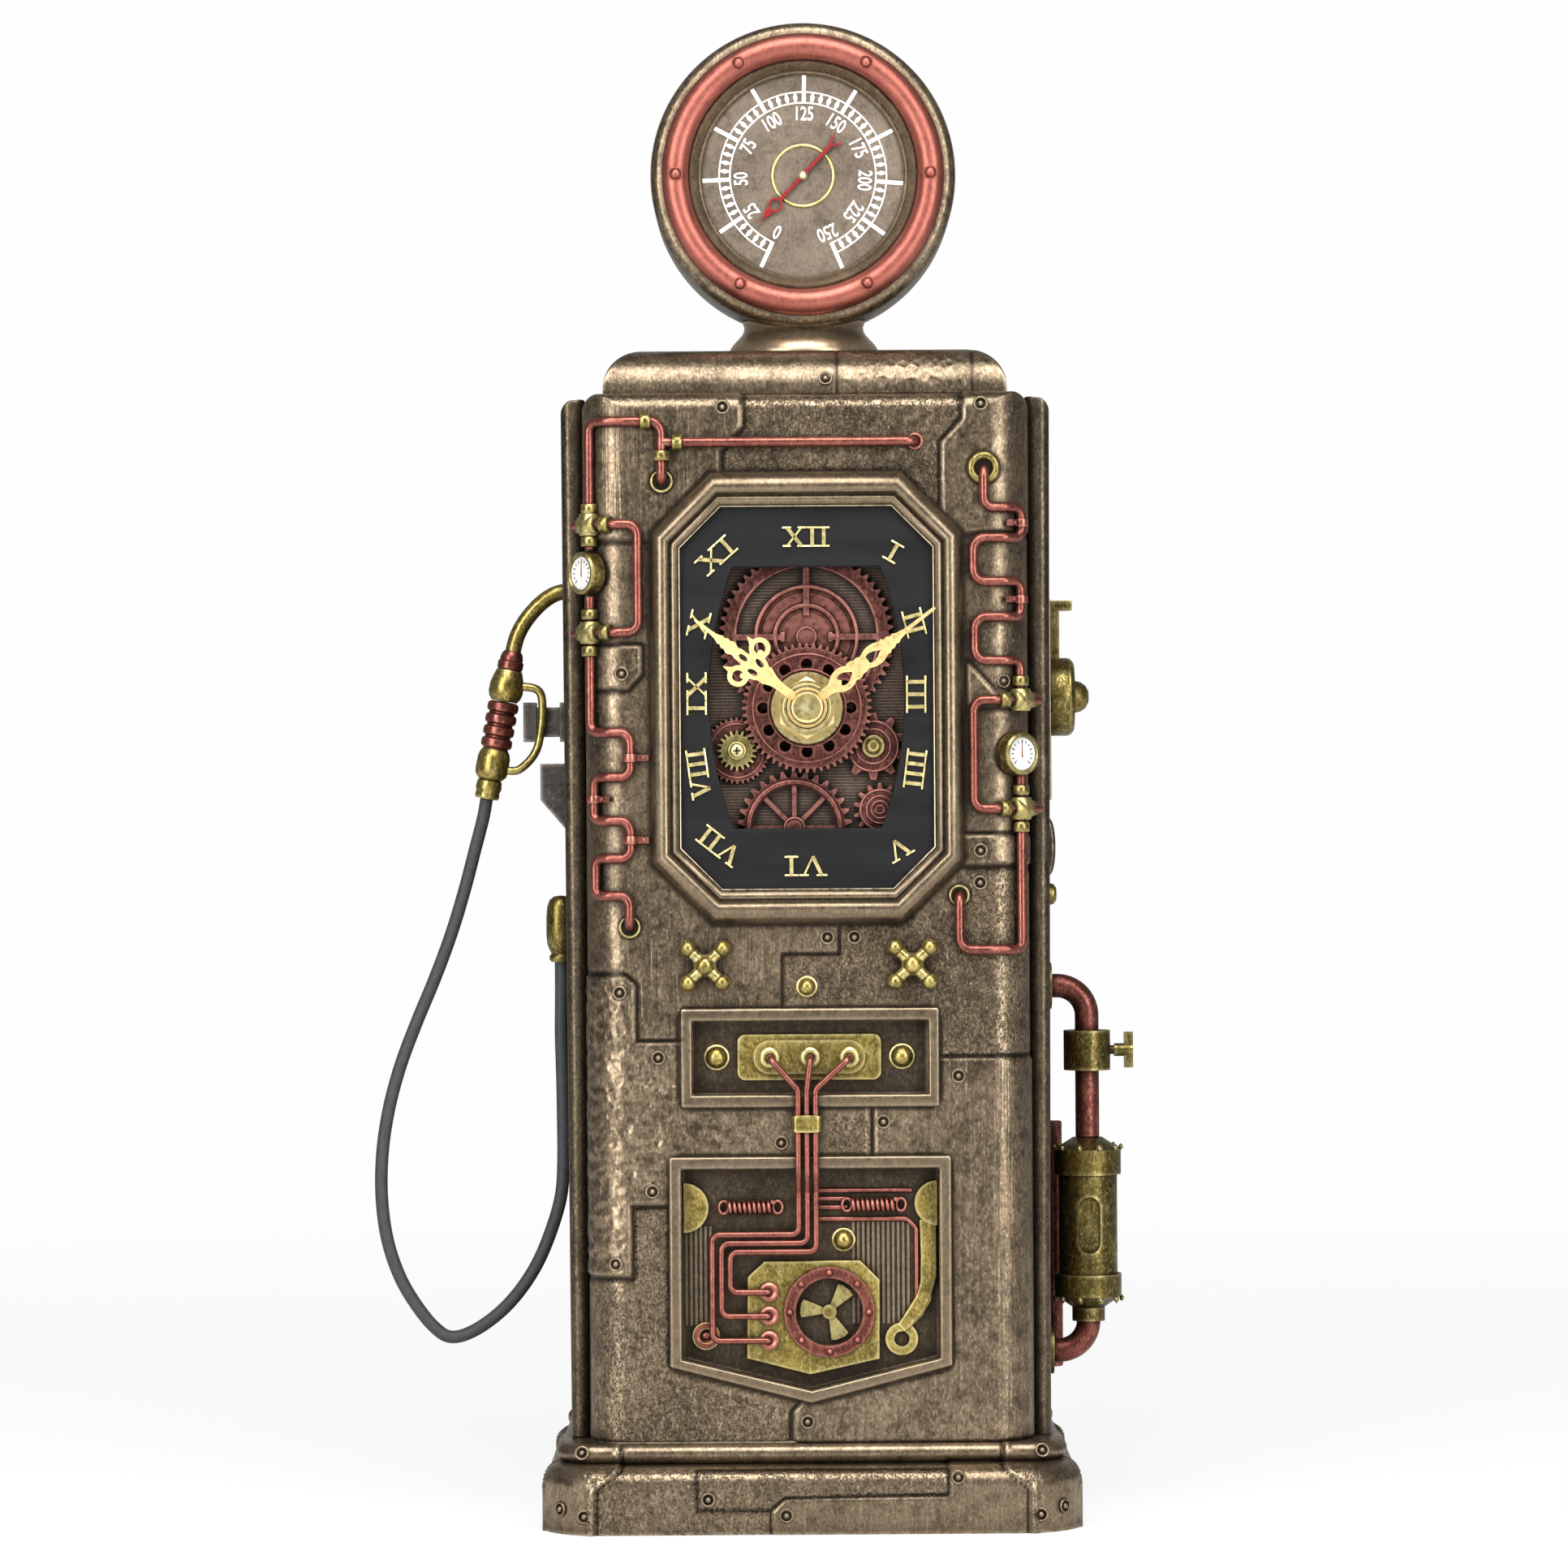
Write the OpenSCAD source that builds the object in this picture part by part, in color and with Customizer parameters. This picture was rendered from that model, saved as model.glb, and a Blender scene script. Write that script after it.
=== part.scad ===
// Desk clock in the shape of an old petrol pump. Millimetres, +Z up, the front faces -Y.
// The origin is the middle of the base's underside.

/* [Casing] */
// Width of the case shell
front_w = 87; // [84:1:100]
// Depth of the casing from its front face to its back face
body_d = 72; // [70:1:90]
// Height of the casing between base and roof
body_h = 205.5; // [204:0.5:230]
// Radius of the two front edges
front_r = 8; // [7.5:0.5:9]
// Radius of the casing's top edges
top_r = 3; // [2:0.5:4]
// Thickness of the front wall
front_wall = 6; // [5.5:0.5:8]
// Thickness of the case shell's sides, top and bottom
shell_wall = 3; // [2.5:0.5:4]
// Thickness of each side panel
side_wall = 4; // [3.5:0.5:6]
// Distance from the front face back to the side rails
rail_back = 11; // [10:0.5:14]
// Thickness of the back panel
back_wall = 4; // [3:0.5:6]
// Width of the access opening in the back panel
access_w = 62; // [58:1:70]
// Height of the access opening in the back panel
access_h = 66; // [62:1:80]
// Gap between pieces that seat on each other
fit = 0.1; // [0.05:0.05:0.15]
// Radial gap of a shaft in its bore
run = 0.05; // [0.03:0.01:0.08]

/* [Base and roof] */
// Width of the plinth
base_w = 104.5; // [100:0.5:120]
// Depth of the plinth
base_d = 87; // [84:1:100]
// Height of the plinth
plinth_h = 13; // [11:0.5:18]
// Height of the rounded bead on the plinth
bead_h = 4; // [3:0.5:6]
// Chamfer of the plinth's corners
base_chamfer = 9; // [7:0.5:12]
// Thickness of the corner guards
guard_t = 0.8; // [0.6:0.1:1.4]
// How far a guard runs along each side
guard_reach = 15; // [13:0.5:20]
// Width of the roof cap
roof_w = 79.5; // [74:0.5:84]
// Depth of the roof cap
roof_d = 60; // [54:1:66]
// Height of the roof cap
roof_h = 9.5; // [8:0.5:12]
// Radius of the roof cap's edges
roof_r = 8; // [5:0.5:8]

/* [Gauge head] */
// Height of the neck under the head
neck_h = 5.3; // [5:0.1:12]
// Diameter of the neck's foot
neck_foot_d = 30.5; // [27:0.5:36]
// Diameter of the neck's waist
neck_waist_d = 25; // [20:0.5:26]
// Diameter of the head
head_d = 61; // [58:0.5:70]
// Thickness of the head
head_t = 30; // [24:1:36]
// Mean diameter of the copper ring
ring_d = 51; // [50:0.5:54]
// Thickness of the copper ring
ring_t = 5.4; // [4:0.2:6]
// Diameter of the gauge dial
gauge_dial_d = 45; // [42:0.5:45]
// Depth of the recess that holds the gauge dial
gauge_recess = 4; // [3.5:0.5:6]
// Thickness of the gauge dial
gauge_dial_t = 1.5; // [1:0.1:2]
// Length of the gauge needle from its pin
needle_l = 13.8; // [11:0.2:18]
// Diameter of the needle's pin
needle_pin_d = 1.2; // [0.8:0.1:1.6]
// Angle of the needle in the photograph, clockwise from 12
needle_angle = 223.4; // [205:0.1:515]

/* [Clock] */
// Distance from the top of the casing to the middle of the bezel
clock_drop = 59.5; // [56:0.5:64]
// Distance from the middle of the bezel down to the hands' axis
shaft_drop = 2; // [0:0.5:4]
// Gap at each side between the bezel and the casing's edge
bezel_margin = 12.9; // [12.6:0.1:14]
// Height of the bezel
bezel_h = 88.6; // [86:0.2:92]
// Corner chamfer of the bezel
bezel_chamfer = 12; // [10:0.5:13]
// Height of the bezel's ridge above the front face
bezel_rise = 3.6; // [2.5:0.1:5]
// Width of the bezel's frame at its sides
bezel_side = 5.9; // [5.4:0.1:6.4]
// Width of the bezel's frame at its ends
bezel_end = 7; // [6.2:0.1:8]
// Corner chamfer of the visible dial
face_chamfer = 8; // [6:0.5:10]
// How far the dial plate runs under the bezel
dial_lap = 1.5; // [1:0.1:2]
// Thickness of the dial plate
dial_t = 2; // [1.5:0.1:2.5]
// Width of the dial beside the window's corners
dial_side = 10.2; // [9:0.1:11.5]
// Width of the dial above and below the window
dial_end = 11.7; // [10.5:0.1:13]
// How far each side of the window bulges
window_bulge = 4.6; // [3:0.1:5.5]
// Height of the numerals
numeral_h = 4.1; // [3.5:0.1:4.6]
// How far the numerals stand out
numeral_t = 0.5; // [0.3:0.1:0.8]
// Thickness of the gear plate
gear_plate_t = 2; // [1.5:0.1:3]
// Thickness of the relief gears
gear_t = 1.5; // [1.2:0.1:1.7]
// Thickness of the hands
hand_t = 0.6; // [0.4:0.1:1]
// Length of the minute hand
minute_l = 31.3; // [28:0.1:31.5]
// Length of the hour hand
hour_l = 27.1; // [24:0.1:28]
// Gap between the bezel's ridge and the hour hand
hand_gap = 0.9; // [0.6:0.1:2]

/* [Movement] */
// Width and height of the movement
movement_w = 56; // [55:0.5:57]
// Thickness of the movement
movement_t = 18; // [17.8:0.1:22]
// Wall of the movement's case
movement_wall = 1.5; // [1:0.1:1.6]
// Diameter of the threaded bush
bush_d = 8; // [7.5:0.1:9]
// Diameter of the hour tube
tube_d = 5.2; // [4.8:0.1:5.6]
// Diameter of the minute arbor
arbor_d = 3; // [2.4:0.1:3.2]
// Diameter of the fixing washer
washer_d = 14.2; // [13:0.2:15]
// Width of the fixing nut across its flats
nut_af = 10.5; // [10:0.1:11]
// Diameter of the hand cap
cap_d = 7.2; // [6:0.1:9]
// Diameter of the cell
cell_d = 14.5; // [13.5:0.1:14.6]
// Length of the cell
cell_l = 50.5; // [48:0.5:51.5]
// Diameter of the setting knob
knob_d = 11; // [8:0.5:13]

/* [Pipes] */
// Diameter of the front pipes
pipe_d = 2; // [1.8:0.1:2.2]
// Gap between the front pipes and the casing
pipe_gap = 0.4; // [0.35:0.05:0.6]
// Bend radius of the front pipes
pipe_bend = 2.4; // [1.8:0.1:2.6]
// Diameter of the three supply pipes
supply_d = 1.3; // [1:0.1:1.4]
// Diameter of the two small gauges
mini_d = 8.6; // [8:0.1:9]
// Diameter of the loop pipe on the right
loop_d = 4.8; // [4:0.1:5.2]
// Distance of the loop pipe from the side panel
loop_out = 8.7; // [8:0.1:10]
// Diameter of the filter
filter_d = 11.8; // [10:0.2:13]
// Height of the filter between its cones
filter_h = 29.5; // [26:0.5:34]

/* [Lower front] */
// Distance from the bezel's lower edge to the valve handles
valve_drop = 8; // [7.5:0.1:9]
// Distance from the valve handles to the middle of the terminal box
terminal_drop = 18.2; // [17.6:0.1:19]
// Distance from the middle of the terminal box to the top of the engine bay
engine_drop = 19.1; // [18.6:0.1:20]
// Depth of the terminal box
terminal_depth = 2.5; // [2:0.1:3]
// Depth of the engine bay
engine_depth = 3.5; // [3:0.1:4]
// Height of the two frames above the front face
frame_rise = 1.5; // [1:0.1:2]
// Reach of the valve handles' arms
valve_reach = 4.7; // [4:0.1:5.2]
// Diameter of the fan
fan_d = 11.6; // [10:0.2:12.4]
// Inner diameter of the porthole
porthole_d = 13.2; // [13:0.1:14]
// Diameter of a spring's coil
spring_d = 2.6; // [2.2:0.1:3]
// Diameter of a spring's wire
spring_wire = 0.6; // [0.4:0.05:0.7]
// Turns of each spring
spring_turns = 7; // [5:1:7]

/* [Sides] */
// Depth of the nozzle, hose and lever behind the casing's middle
side_y = 4; // [0:0.5:8]
// Lean of the nozzle toward the casing
nozzle_lean = 10.5; // [8:0.5:13]
// Diameter of the nozzle's spout
spout_d = 3.1; // [2.6:0.1:3.6]
// Diameter of the nozzle's grip
grip_d = 6.3; // [5.6:0.1:7]
// Diameter of the hose
hose_d = 2.6; // [2.2:0.1:3]
// Diameter of the side lever's drum
drum_d = 15.6; // [14:0.2:18]
// Length of the side lever above its axis
lever_l = 19.5; // [17:0.5:24]

/* [Hidden] */
$fn = 64;
bronze = "#5c4a36";
copper = "#8c4436";
brass = "#a88a45";
gold = "#d8c07a";
dark = "#1a1512";

// Heights and places of the casing
body_w = front_w + 2 * side_wall;
front_y = -body_d / 2;
base_top = plinth_h + bead_h;
body_top = base_top + body_h;
roof_top = body_top + roof_h;
head_z = roof_top + neck_h + head_d / 2;
clock_z = body_top - clock_drop;
shaft_z = clock_z - shaft_drop;
valve_z = clock_z - bezel_h / 2 - valve_drop;
terminal_z = valve_z - terminal_drop;
engine_z = terminal_z - engine_drop;
bezel_w = front_w - 2 * bezel_margin;
face_w = bezel_w - 2 * bezel_side;
face_h = bezel_h - 2 * bezel_end;
window_w = face_w - 2 * dial_side;
window_h = face_h - 2 * dial_end;

// Heights above the front face, toward the viewer
gear_seat = -front_wall;
small_gear_top = gear_seat + gear_t;
pinion_t = 1;
centre_seat = small_gear_top + 0.4;
centre_top = centre_seat + gear_t;
washer_t = 1;
nut_t = 3.2;
hour_lift = bezel_rise + hand_gap;
minute_lift = hour_lift + hand_t + 0.6;
cap_lift = minute_lift + hand_t;
cap_t = 2.2;
movement_lift = -front_wall - gear_plate_t;
case_back = movement_lift - movement_t + movement_wall;

// Motion work of the movement: tooth counts, modules and levels
cannon_teeth = 12;
minute_wheel_teeth = 36;
minute_pinion_teeth = 12;
hour_teeth = 48;
setting_teeth = 24;
wheel_distance = 9;
first_module = 2 * wheel_distance / (cannon_teeth + minute_wheel_teeth);
second_module = 2 * wheel_distance / (minute_pinion_teeth + hour_teeth);
setting_distance = first_module * (minute_wheel_teeth + setting_teeth) / 2;
wheel_t = 1.2;
hour_wheel_lift = movement_lift - movement_wall - 0.5;
minute_wheel_lift = hour_wheel_lift - wheel_t - 0.8;
arbor_boss = minute_wheel_lift - wheel_t - 1.2;
wheel_pin_d = 1.6;
setting_d = 2.4;

// Corner places on the front pipes: inset from the casing's edge, height from the clock's middle
pipe_r = pipe_d / 2;
gauge_half = mini_d / 2 + 0.4;
left_gauge = 24.7;
right_gauge = -11.3;
over_bezel = bezel_h / 2 + 5.8;
left_entries = [[15.3, over_bezel - 7.6], [8.5, -44.8]];
right_entries = [[8.6, 44.8], [13.9, 11.2 - over_bezel]];
entry_depth = 2.5;
entry_gap = 0.15;
// The pipe already bends inside its grommet, so the grommet is wide and low
grommet_gap = 0.7;
grommet_t = 0.18;

// Engine bay outline, from the middle of its top edge, and how far that edge lies below the engine's zero
bay_drop = 2.7;
bay_w = 50.4;
bay_side = 37.2;
bay_tip = 43.4;
bay_rim = 2.5;
plate_lift = -engine_depth + 2;
port_lift = plate_lift + 0.5;
engine_ports = [[-8.2, -26.9], [-8.2, -31.6], [-8.2, -36.4]];
porthole = [3.6, -30.9];
supply_r = supply_d / 2;
supply_lift = frame_rise + supply_r + 0.15;
bay_lift = port_lift + supply_r + 0.15;
terminal_ports = [-7.8, 0.2, 7.9];

// Nozzle, hose and side fittings. The nozzle's own lengths run up from the hose end
nozzle_x = 17.5;
nozzle_z = 143.5;
ferrule_l = 3.9;
lower_l = 6.4;
grip_l = 9.8;
upper_l = 6.4;
collar_l = 3.6;
spout_z = 185.6;
socket_in = 1.5;
gland_x = 2.6;
gland_z = 112;
hose_ends = 1.2;
lever_z = 163.4;
loop_top = 105;
loop_low = 31.4;
filter_top = 72;
loop_y = side_y - 6;

// Route of the hose, X and Z, from the gland down, round and up to the nozzle
hose_route = [[-50.1, 110.8], [-50.1, 104], [-50.2, 96], [-50, 87], [-49.9, 79], [-49.9, 70], [-50.4, 63],
    [-52.4, 56], [-55.4, 49], [-59.4, 43], [-64, 38.4], [-69, 35.2], [-73, 34.3], [-76, 36], [-79.4, 40],
    [-83, 46], [-85.6, 53.5], [-86.8, 62], [-86.7, 71], [-85.4, 80], [-83, 89], [-79.6, 98], [-75.8, 107],
    [-72.4, 116], [-69.6, 125], [-67.2, 134]];

function unit(v) = v / norm(v);
function turn(u, v) = acos(max(-1, min(1, u * v)));
function mirrored(p) = concat(p, [for (i = [len(p) - 1 : -1 : 0]) [-p[i][0], p[i][1]]]);

// Depth of a point on the front face or its rounded edges, held off by a distance
function skin_y(inset, off) = front_y + front_r -
    sqrt(pow(front_r + off, 2) - pow(max(0, front_r - inset), 2));
function on_skin(side, p, off) = [side * (front_w / 2 - p[0]), skin_y(p[0], off), clock_z + p[1]];
function skin_path(side, list) = [for (p = list) on_skin(side, p, pipe_r + pipe_gap)];
function entry_end(side, p) = [side * (front_w / 2 - p[0]), front_y + entry_depth, clock_z + p[1]];

// Rounds a path's corners with short arcs
function corner_points(p, i, bend, steps) = let (u = unit(p[i] - p[i - 1]), v = unit(p[i + 1] - p[i]),
    half = turn(u, v) / 2,
    reach = 0.48 * min(norm(p[i] - p[i - 1]), norm(p[i + 1] - p[i])),
    t = min(bend * tan(half), reach))
    half < 2 ? [p[i]] : let (r = t / tan(half), w = unit(v - u * (u * v)), c = p[i] - u * t + w * r)
    [for (k = [0 : steps]) let (a = 2 * half * k / steps) c + r * (u * sin(a) - w * cos(a))];
function rounded(p, bend, steps) = concat([p[0]],
    [for (i = [1 : len(p) - 2]) for (q = corner_points(p, i, bend, steps)) q], [p[len(p) - 1]]);

// A tube along a path, its rings square to the path
function tangents(p) = [for (i = [0 : len(p) - 1])
    unit((i == len(p) - 1 ? p[i] : p[i + 1]) - (i == 0 ? p[i] : p[i - 1]))];
function start_normal(t) = unit(cross(t, abs(t[1]) < 0.8 ? [0, 1, 0] : [0, 0, 1]));
function normals(t) = [for (i = 0, n = start_normal(t[0]); i < len(t); i = i + 1,
    n = i < len(t) ? unit(n - t[i] * (n * t[i])) : n) n];
module sweep(p, r, sides) {
    t = tangents(p);
    n = normals(t);
    points = [for (i = [0 : len(p) - 1]) for (k = [0 : sides - 1])
        p[i] + r * (n[i] * cos(360 * k / sides) + cross(t[i], n[i]) * sin(360 * k / sides))];
    last = (len(p) - 1) * sides;
    walls = [for (i = [0 : len(p) - 2]) for (k = [0 : sides - 1])
        let (a = i * sides + k, b = i * sides + (k + 1) % sides)
        each [[a, a + sides, b], [b, a + sides, b + sides]]];
    ends = [for (k = [1 : sides - 2]) each [[0, k, k + 1], [last, last + k + 1, last + k]]];
    polyhedron(points, concat(walls, ends), convexity = 6);
}
module pipe_run(p, r, bend, sides = 10) {
    sweep(rounded(p, bend, 4), r, sides);
}

module on_front(x, z, lift = 0) {
    translate([x, front_y - lift, z]) rotate([90, 0, 0]) children();
}
module on_head(lift = 0) {
    translate([0, -head_t / 2 - lift, head_z]) rotate([90, 0, 0]) children();
}
module on_right(y, z, lift = 0) {
    translate([body_w / 2 + lift, y, z]) rotate([90, 0, 90]) children();
}
module on_left(y, z, lift = 0) {
    translate([-body_w / 2 - lift, y, z]) rotate([90, 0, -90]) children();
}
module on_back(x, z, lift = 0) {
    translate([x, body_d / 2 + lift, z]) rotate([90, 0, 180]) children();
}
module octagon(w, h, c) {
    polygon([[w / 2 - c, h / 2], [w / 2, h / 2 - c], [w / 2, c - h / 2], [w / 2 - c, -h / 2],
        [c - w / 2, -h / 2], [-w / 2, c - h / 2], [-w / 2, h / 2 - c], [c - w / 2, h / 2]]);
}
// The dial's octagon grown evenly on all sides
module face_octagon(grow) {
    octagon(face_w + 2 * grow, face_h + 2 * grow, face_chamfer + grow * (2 - sqrt(2)));
}
module tube(h, outer, inner) {
    difference() {
        cylinder(h = h, r = outer);
        translate([0, 0, -1]) cylinder(h = h + 2, r = inner);
    }
}
module dome(r) {
    intersection() {
        sphere(r);
        translate([-r, -r, 0]) cube(2 * r);
    }
}
module plate(w, h, r, t) {
    linear_extrude(t) {
        square([w - 2 * r, h], center = true);
        square([w, h - 2 * r], center = true);
        for (x = [-1, 1], y = [-1, 1]) translate([x * (w / 2 - r), y * (h / 2 - r)]) circle(r);
    }
}
// A toothed disc with plain teeth, for the relief gears
module toothed(n, tip, root) {
    step = 360 / n;
    polygon([for (i = [0 : n - 1], k = [[-0.3, root], [-0.14, tip], [0.14, tip], [0.3, root]])
        k[1] * [sin((i + k[0]) * step), cos((i + k[0]) * step)]]);
}
// Half the angle of an involute tooth at a radius
function half_tooth(n, m, rho) = let (r = n * m / 2, base = r * cos(20),
    a = rho > base ? acos(base / rho) : 0)
    0.44 * 180 / n + (tan(20) - tan(a)) * 180 / PI - 20 + a;
module involute(n, m) {
    r = n * m / 2;
    base = r * cos(20);
    low = max(base, r - 0.8 * m);
    radii = [r - 1.1 * m, low, (low + r) / 2, r, r + 0.35 * m, r + 0.7 * m];
    polygon([for (i = [0 : n - 1]) for (s = [-1, 1]) for (k = [0 : 5])
        let (rho = radii[s < 0 ? k : 5 - k], a = 360 * i / n + s * half_tooth(n, m, max(rho, low)))
        rho * [sin(a), cos(a)]]);
}

module bead_slab(w, d, h) {
    intersection() {
        translate([0, d / 2, 0]) rotate([90, 0, 0]) linear_extrude(d) half_round(w, h);
        translate([-w / 2, 0, 0]) rotate([90, 0, 90]) linear_extrude(w) half_round(d, h);
    }
}
module half_round(w, h) {
    translate([-(w - h) / 2, 0]) square([w - h, h]);
    for (s = [-1, 1]) translate([s * (w - h) / 2, h / 2]) circle(h / 2);
}
module base_plinth() {
    color(bronze) {
        linear_extrude(plinth_h) octagon(base_w, base_d, base_chamfer);
        translate([0, 0, plinth_h]) bead_slab(body_w + bead_h, body_d + bead_h, bead_h);
    }
}
module base_corner_guards() {
    color(bronze) for (x = [-1, 1], y = [-1, 1]) translate([0, 0, 0.4])
        linear_extrude(plinth_h - 0.6) intersection() {
            difference() {
                octagon(base_w + 2 * guard_t, base_d + 2 * guard_t, base_chamfer + guard_t * (2 - sqrt(2)));
                octagon(base_w, base_d, base_chamfer);
            }
            translate([x * (base_w / 2 - guard_reach / 2 + guard_t),
                y * (base_d / 2 - guard_reach / 2 + guard_t)])
                square(guard_reach, center = true);
        }
}

module shell_plan(w, d, r) {
    translate([-w / 2, front_y + r]) square([w, d - r]);
    translate([-w / 2 + r, front_y]) square([w - 2 * r, d]);
    for (s = [-1, 1]) translate([s * (w / 2 - r), front_y + r]) circle(r);
}
module bay_outline(grow) {
    translate([0, -bay_drop]) polygon([[-bay_w / 2 - grow, grow], [bay_w / 2 + grow, grow],
        [bay_w / 2 + grow, -bay_side - grow * 0.6],
        [0, -bay_tip - grow], [-bay_w / 2 - grow, -bay_side - grow * 0.6]]);
}
module entry_holes() {
    for (e = left_entries) on_front(e[0] - front_w / 2, clock_z + e[1], -entry_depth - 0.5)
        cylinder(h = entry_depth + 2, r = pipe_r + entry_gap);
    for (e = right_entries) on_front(front_w / 2 - e[0], clock_z + e[1], -entry_depth - 0.5)
        cylinder(h = entry_depth + 2, r = pipe_r + entry_gap);
}
module front_round() {
    translate([front_y + top_r, 0]) square([body_d - top_r, body_h]);
    translate([front_y, 0]) square([body_d, body_h - top_r]);
    translate([front_y + top_r, body_h - top_r]) circle(top_r);
}
module shell_block() {
    translate([0, 0, base_top]) intersection() {
        linear_extrude(body_h) shell_plan(front_w, body_d - back_wall, front_r);
        translate([0, body_d / 2, 0]) rotate([90, 0, 0]) linear_extrude(body_d)
            round_top(front_w, body_h, top_r);
        translate([-front_w / 2, 0, 0]) rotate([90, 0, 90]) linear_extrude(front_w) front_round();
    }
}
module case_shell() {
    color(bronze) difference() {
        shell_block();
        translate([shell_wall - front_w / 2, front_y + front_wall, base_top + shell_wall])
            cube([front_w - 2 * shell_wall, body_d, body_h - 2 * shell_wall]);
        on_front(0, clock_z, -front_wall - 1) linear_extrude(front_wall + 2) face_octagon(dial_lap + fit);
        on_front(0, terminal_z, -terminal_depth) linear_extrude(terminal_depth + 1)
            square([bay_w - 4.2, 14.4], center = true);
        on_front(0, engine_z, -engine_depth) linear_extrude(engine_depth + 1) bay_outline(0);
        for (s = [-1, 1]) on_front(s * 20.3, valve_z, -front_wall + 1)
            cylinder(h = front_wall, r = valve_pin / 2 + run);
        on_front(porthole[0], engine_z + porthole[1], -front_wall + 0.5)
            cylinder(h = front_wall, r = fan_pin / 2 + run);
        entry_holes();
    }
}
valve_pin = 2;
fan_pin = 1.4;
module side_panel_plan() {
    x0 = front_w / 2 + fit;
    x1 = body_w / 2;
    r = (x1 - x0) / 2;
    y0 = front_y + rail_back + r;
    translate([x0, y0]) square([x1 - x0, body_d / 2 - y0]);
    translate([x0 + r, y0]) circle(r);
}
module side_block() {
    translate([0, 0, base_top]) intersection() {
        linear_extrude(body_h) side_panel_plan();
        translate([0, body_d / 2, 0]) rotate([90, 0, 0]) linear_extrude(body_d)
            round_top(body_w, body_h, top_r);
    }
}
module left_side_panel() {
    color(bronze) difference() {
        mirror([1, 0, 0]) side_block();
        on_left(side_y, spout_z, -socket_in - 1) cylinder(h = 4, r = spout_d / 2 + run);
    }
}
module right_side_panel() {
    color(bronze) difference() {
        side_block();
        on_right(side_y, lever_z, -2.5) cylinder(h = 4, r = lever_pin / 2 + run);
    }
}
lever_pin = 3;
screw_d = 3;
screw_at = [for (x = [-1, 1], z = [base_top + 7, body_top - 7]) [x * (front_w / 2 - 7), z]];
module back_panel() {
    color(bronze) difference() {
        translate([fit - front_w / 2, body_d / 2 - back_wall, base_top])
            cube([front_w - 2 * fit, back_wall, body_h]);
        on_back(0, shaft_z, -back_wall - 1) translate([-access_w / 2, -access_h / 2, 0])
            cube([access_w, access_h, back_wall + 2]);
        for (s = screw_at) on_back(s[0], s[1], -back_wall - 1)
            cylinder(h = back_wall + 2, r = screw_d / 2 + fit);
    }
}
module case_screws() {
    color(dark) for (s = screw_at) on_back(s[0], s[1], -back_wall) {
        cylinder(h = back_wall, r = screw_d / 2);
        translate([0, 0, back_wall]) difference() {
            cylinder(h = 1.4, r = screw_d);
            translate([-screw_d, -0.35, 0.7]) cube([2 * screw_d, 0.7, 1]);
        }
    }
}
module round_top(w, h, r) {
    translate([-w / 2, 0]) square([w, h - r]);
    translate([r - w / 2, 0]) square([w - 2 * r, h]);
    for (s = [-1, 1]) translate([s * (w / 2 - r), h - r]) circle(r);
}
module roof_cap() {
    color(bronze) translate([0, 0, body_top]) intersection() {
        translate([0, roof_d / 2, 0]) rotate([90, 0, 0]) linear_extrude(roof_d)
            round_top(roof_w, roof_h, roof_r);
        translate([-roof_w / 2, 0, 0]) rotate([90, 0, 90]) linear_extrude(roof_w)
            round_top(roof_d, roof_h, roof_r);
        translate([-roof_w / 2, -roof_d / 2, 0]) cube([roof_w, roof_d, roof_h]);
    }
}

module gauge_neck() {
    foot = neck_foot_d / 2;
    waist = neck_waist_d / 2;
    color(bronze) difference() {
        translate([0, 0, roof_top]) rotate_extrude() {
            polygon([[0, 0], [foot, 0], [foot, 1.6], [waist + 1, 3.2], [waist, neck_h - 1],
                [waist, neck_h + 5],
                [0, neck_h + 5]]);
        }
        translate([0, 0, head_z]) rotate([90, 0, 0])
            cylinder(h = head_t * 2, r = head_d / 2 + fit, center = true);
    }
}
module gauge_housing() {
    r = head_d / 2;
    seat = gauge_dial_d / 2 + fit;
    color(bronze) on_head() rotate_extrude($fn = 96)
        polygon([[0, -head_t], [r - 7, -head_t], [r, -head_t + 7], [r, -1.4], [r - 1.4, 0], [seat, 0],
            [seat, -gauge_recess], [0, -gauge_recess]]);
}
module gauge_bezel() {
    color(copper) on_head() rotate_extrude($fn = 96) translate([ring_d / 2, 0]) intersection() {
        circle(ring_t / 2);
        translate([-ring_t, 0]) square(2 * ring_t);
    }
}
module gauge_dial() {
    color(dark) on_head(-gauge_recess) tube(gauge_dial_t, gauge_dial_d / 2, needle_pin_d / 2 + run);
}
module gauge_needle() {
    color("#a02018") on_head(-gauge_recess) rotate([0, 0, -needle_angle]) {
        cylinder(h = gauge_dial_t + 2, r = needle_pin_d / 2);
        translate([0, 0, gauge_dial_t + 0.3]) cylinder(h = 1.9, r = 0.95);
        translate([0, 0, gauge_dial_t + 0.5]) linear_extrude(0.6) {
            polygon([[-0.9, 0], [-0.5, needle_l - 3], [0, needle_l], [0.5, needle_l - 3], [0.9, 0]]);
            difference() {
                translate([0, 8.1]) circle(1.3);
                translate([0, 8.1]) circle(0.75);
            }
            polygon([[-0.8, 0], [-1.5, -10.1], [-0.6, -9.2], [0, -9.8], [0.6, -9.2], [1.5, -10.1],
                [0.8, 0]]);
        }
    }
}

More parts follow.
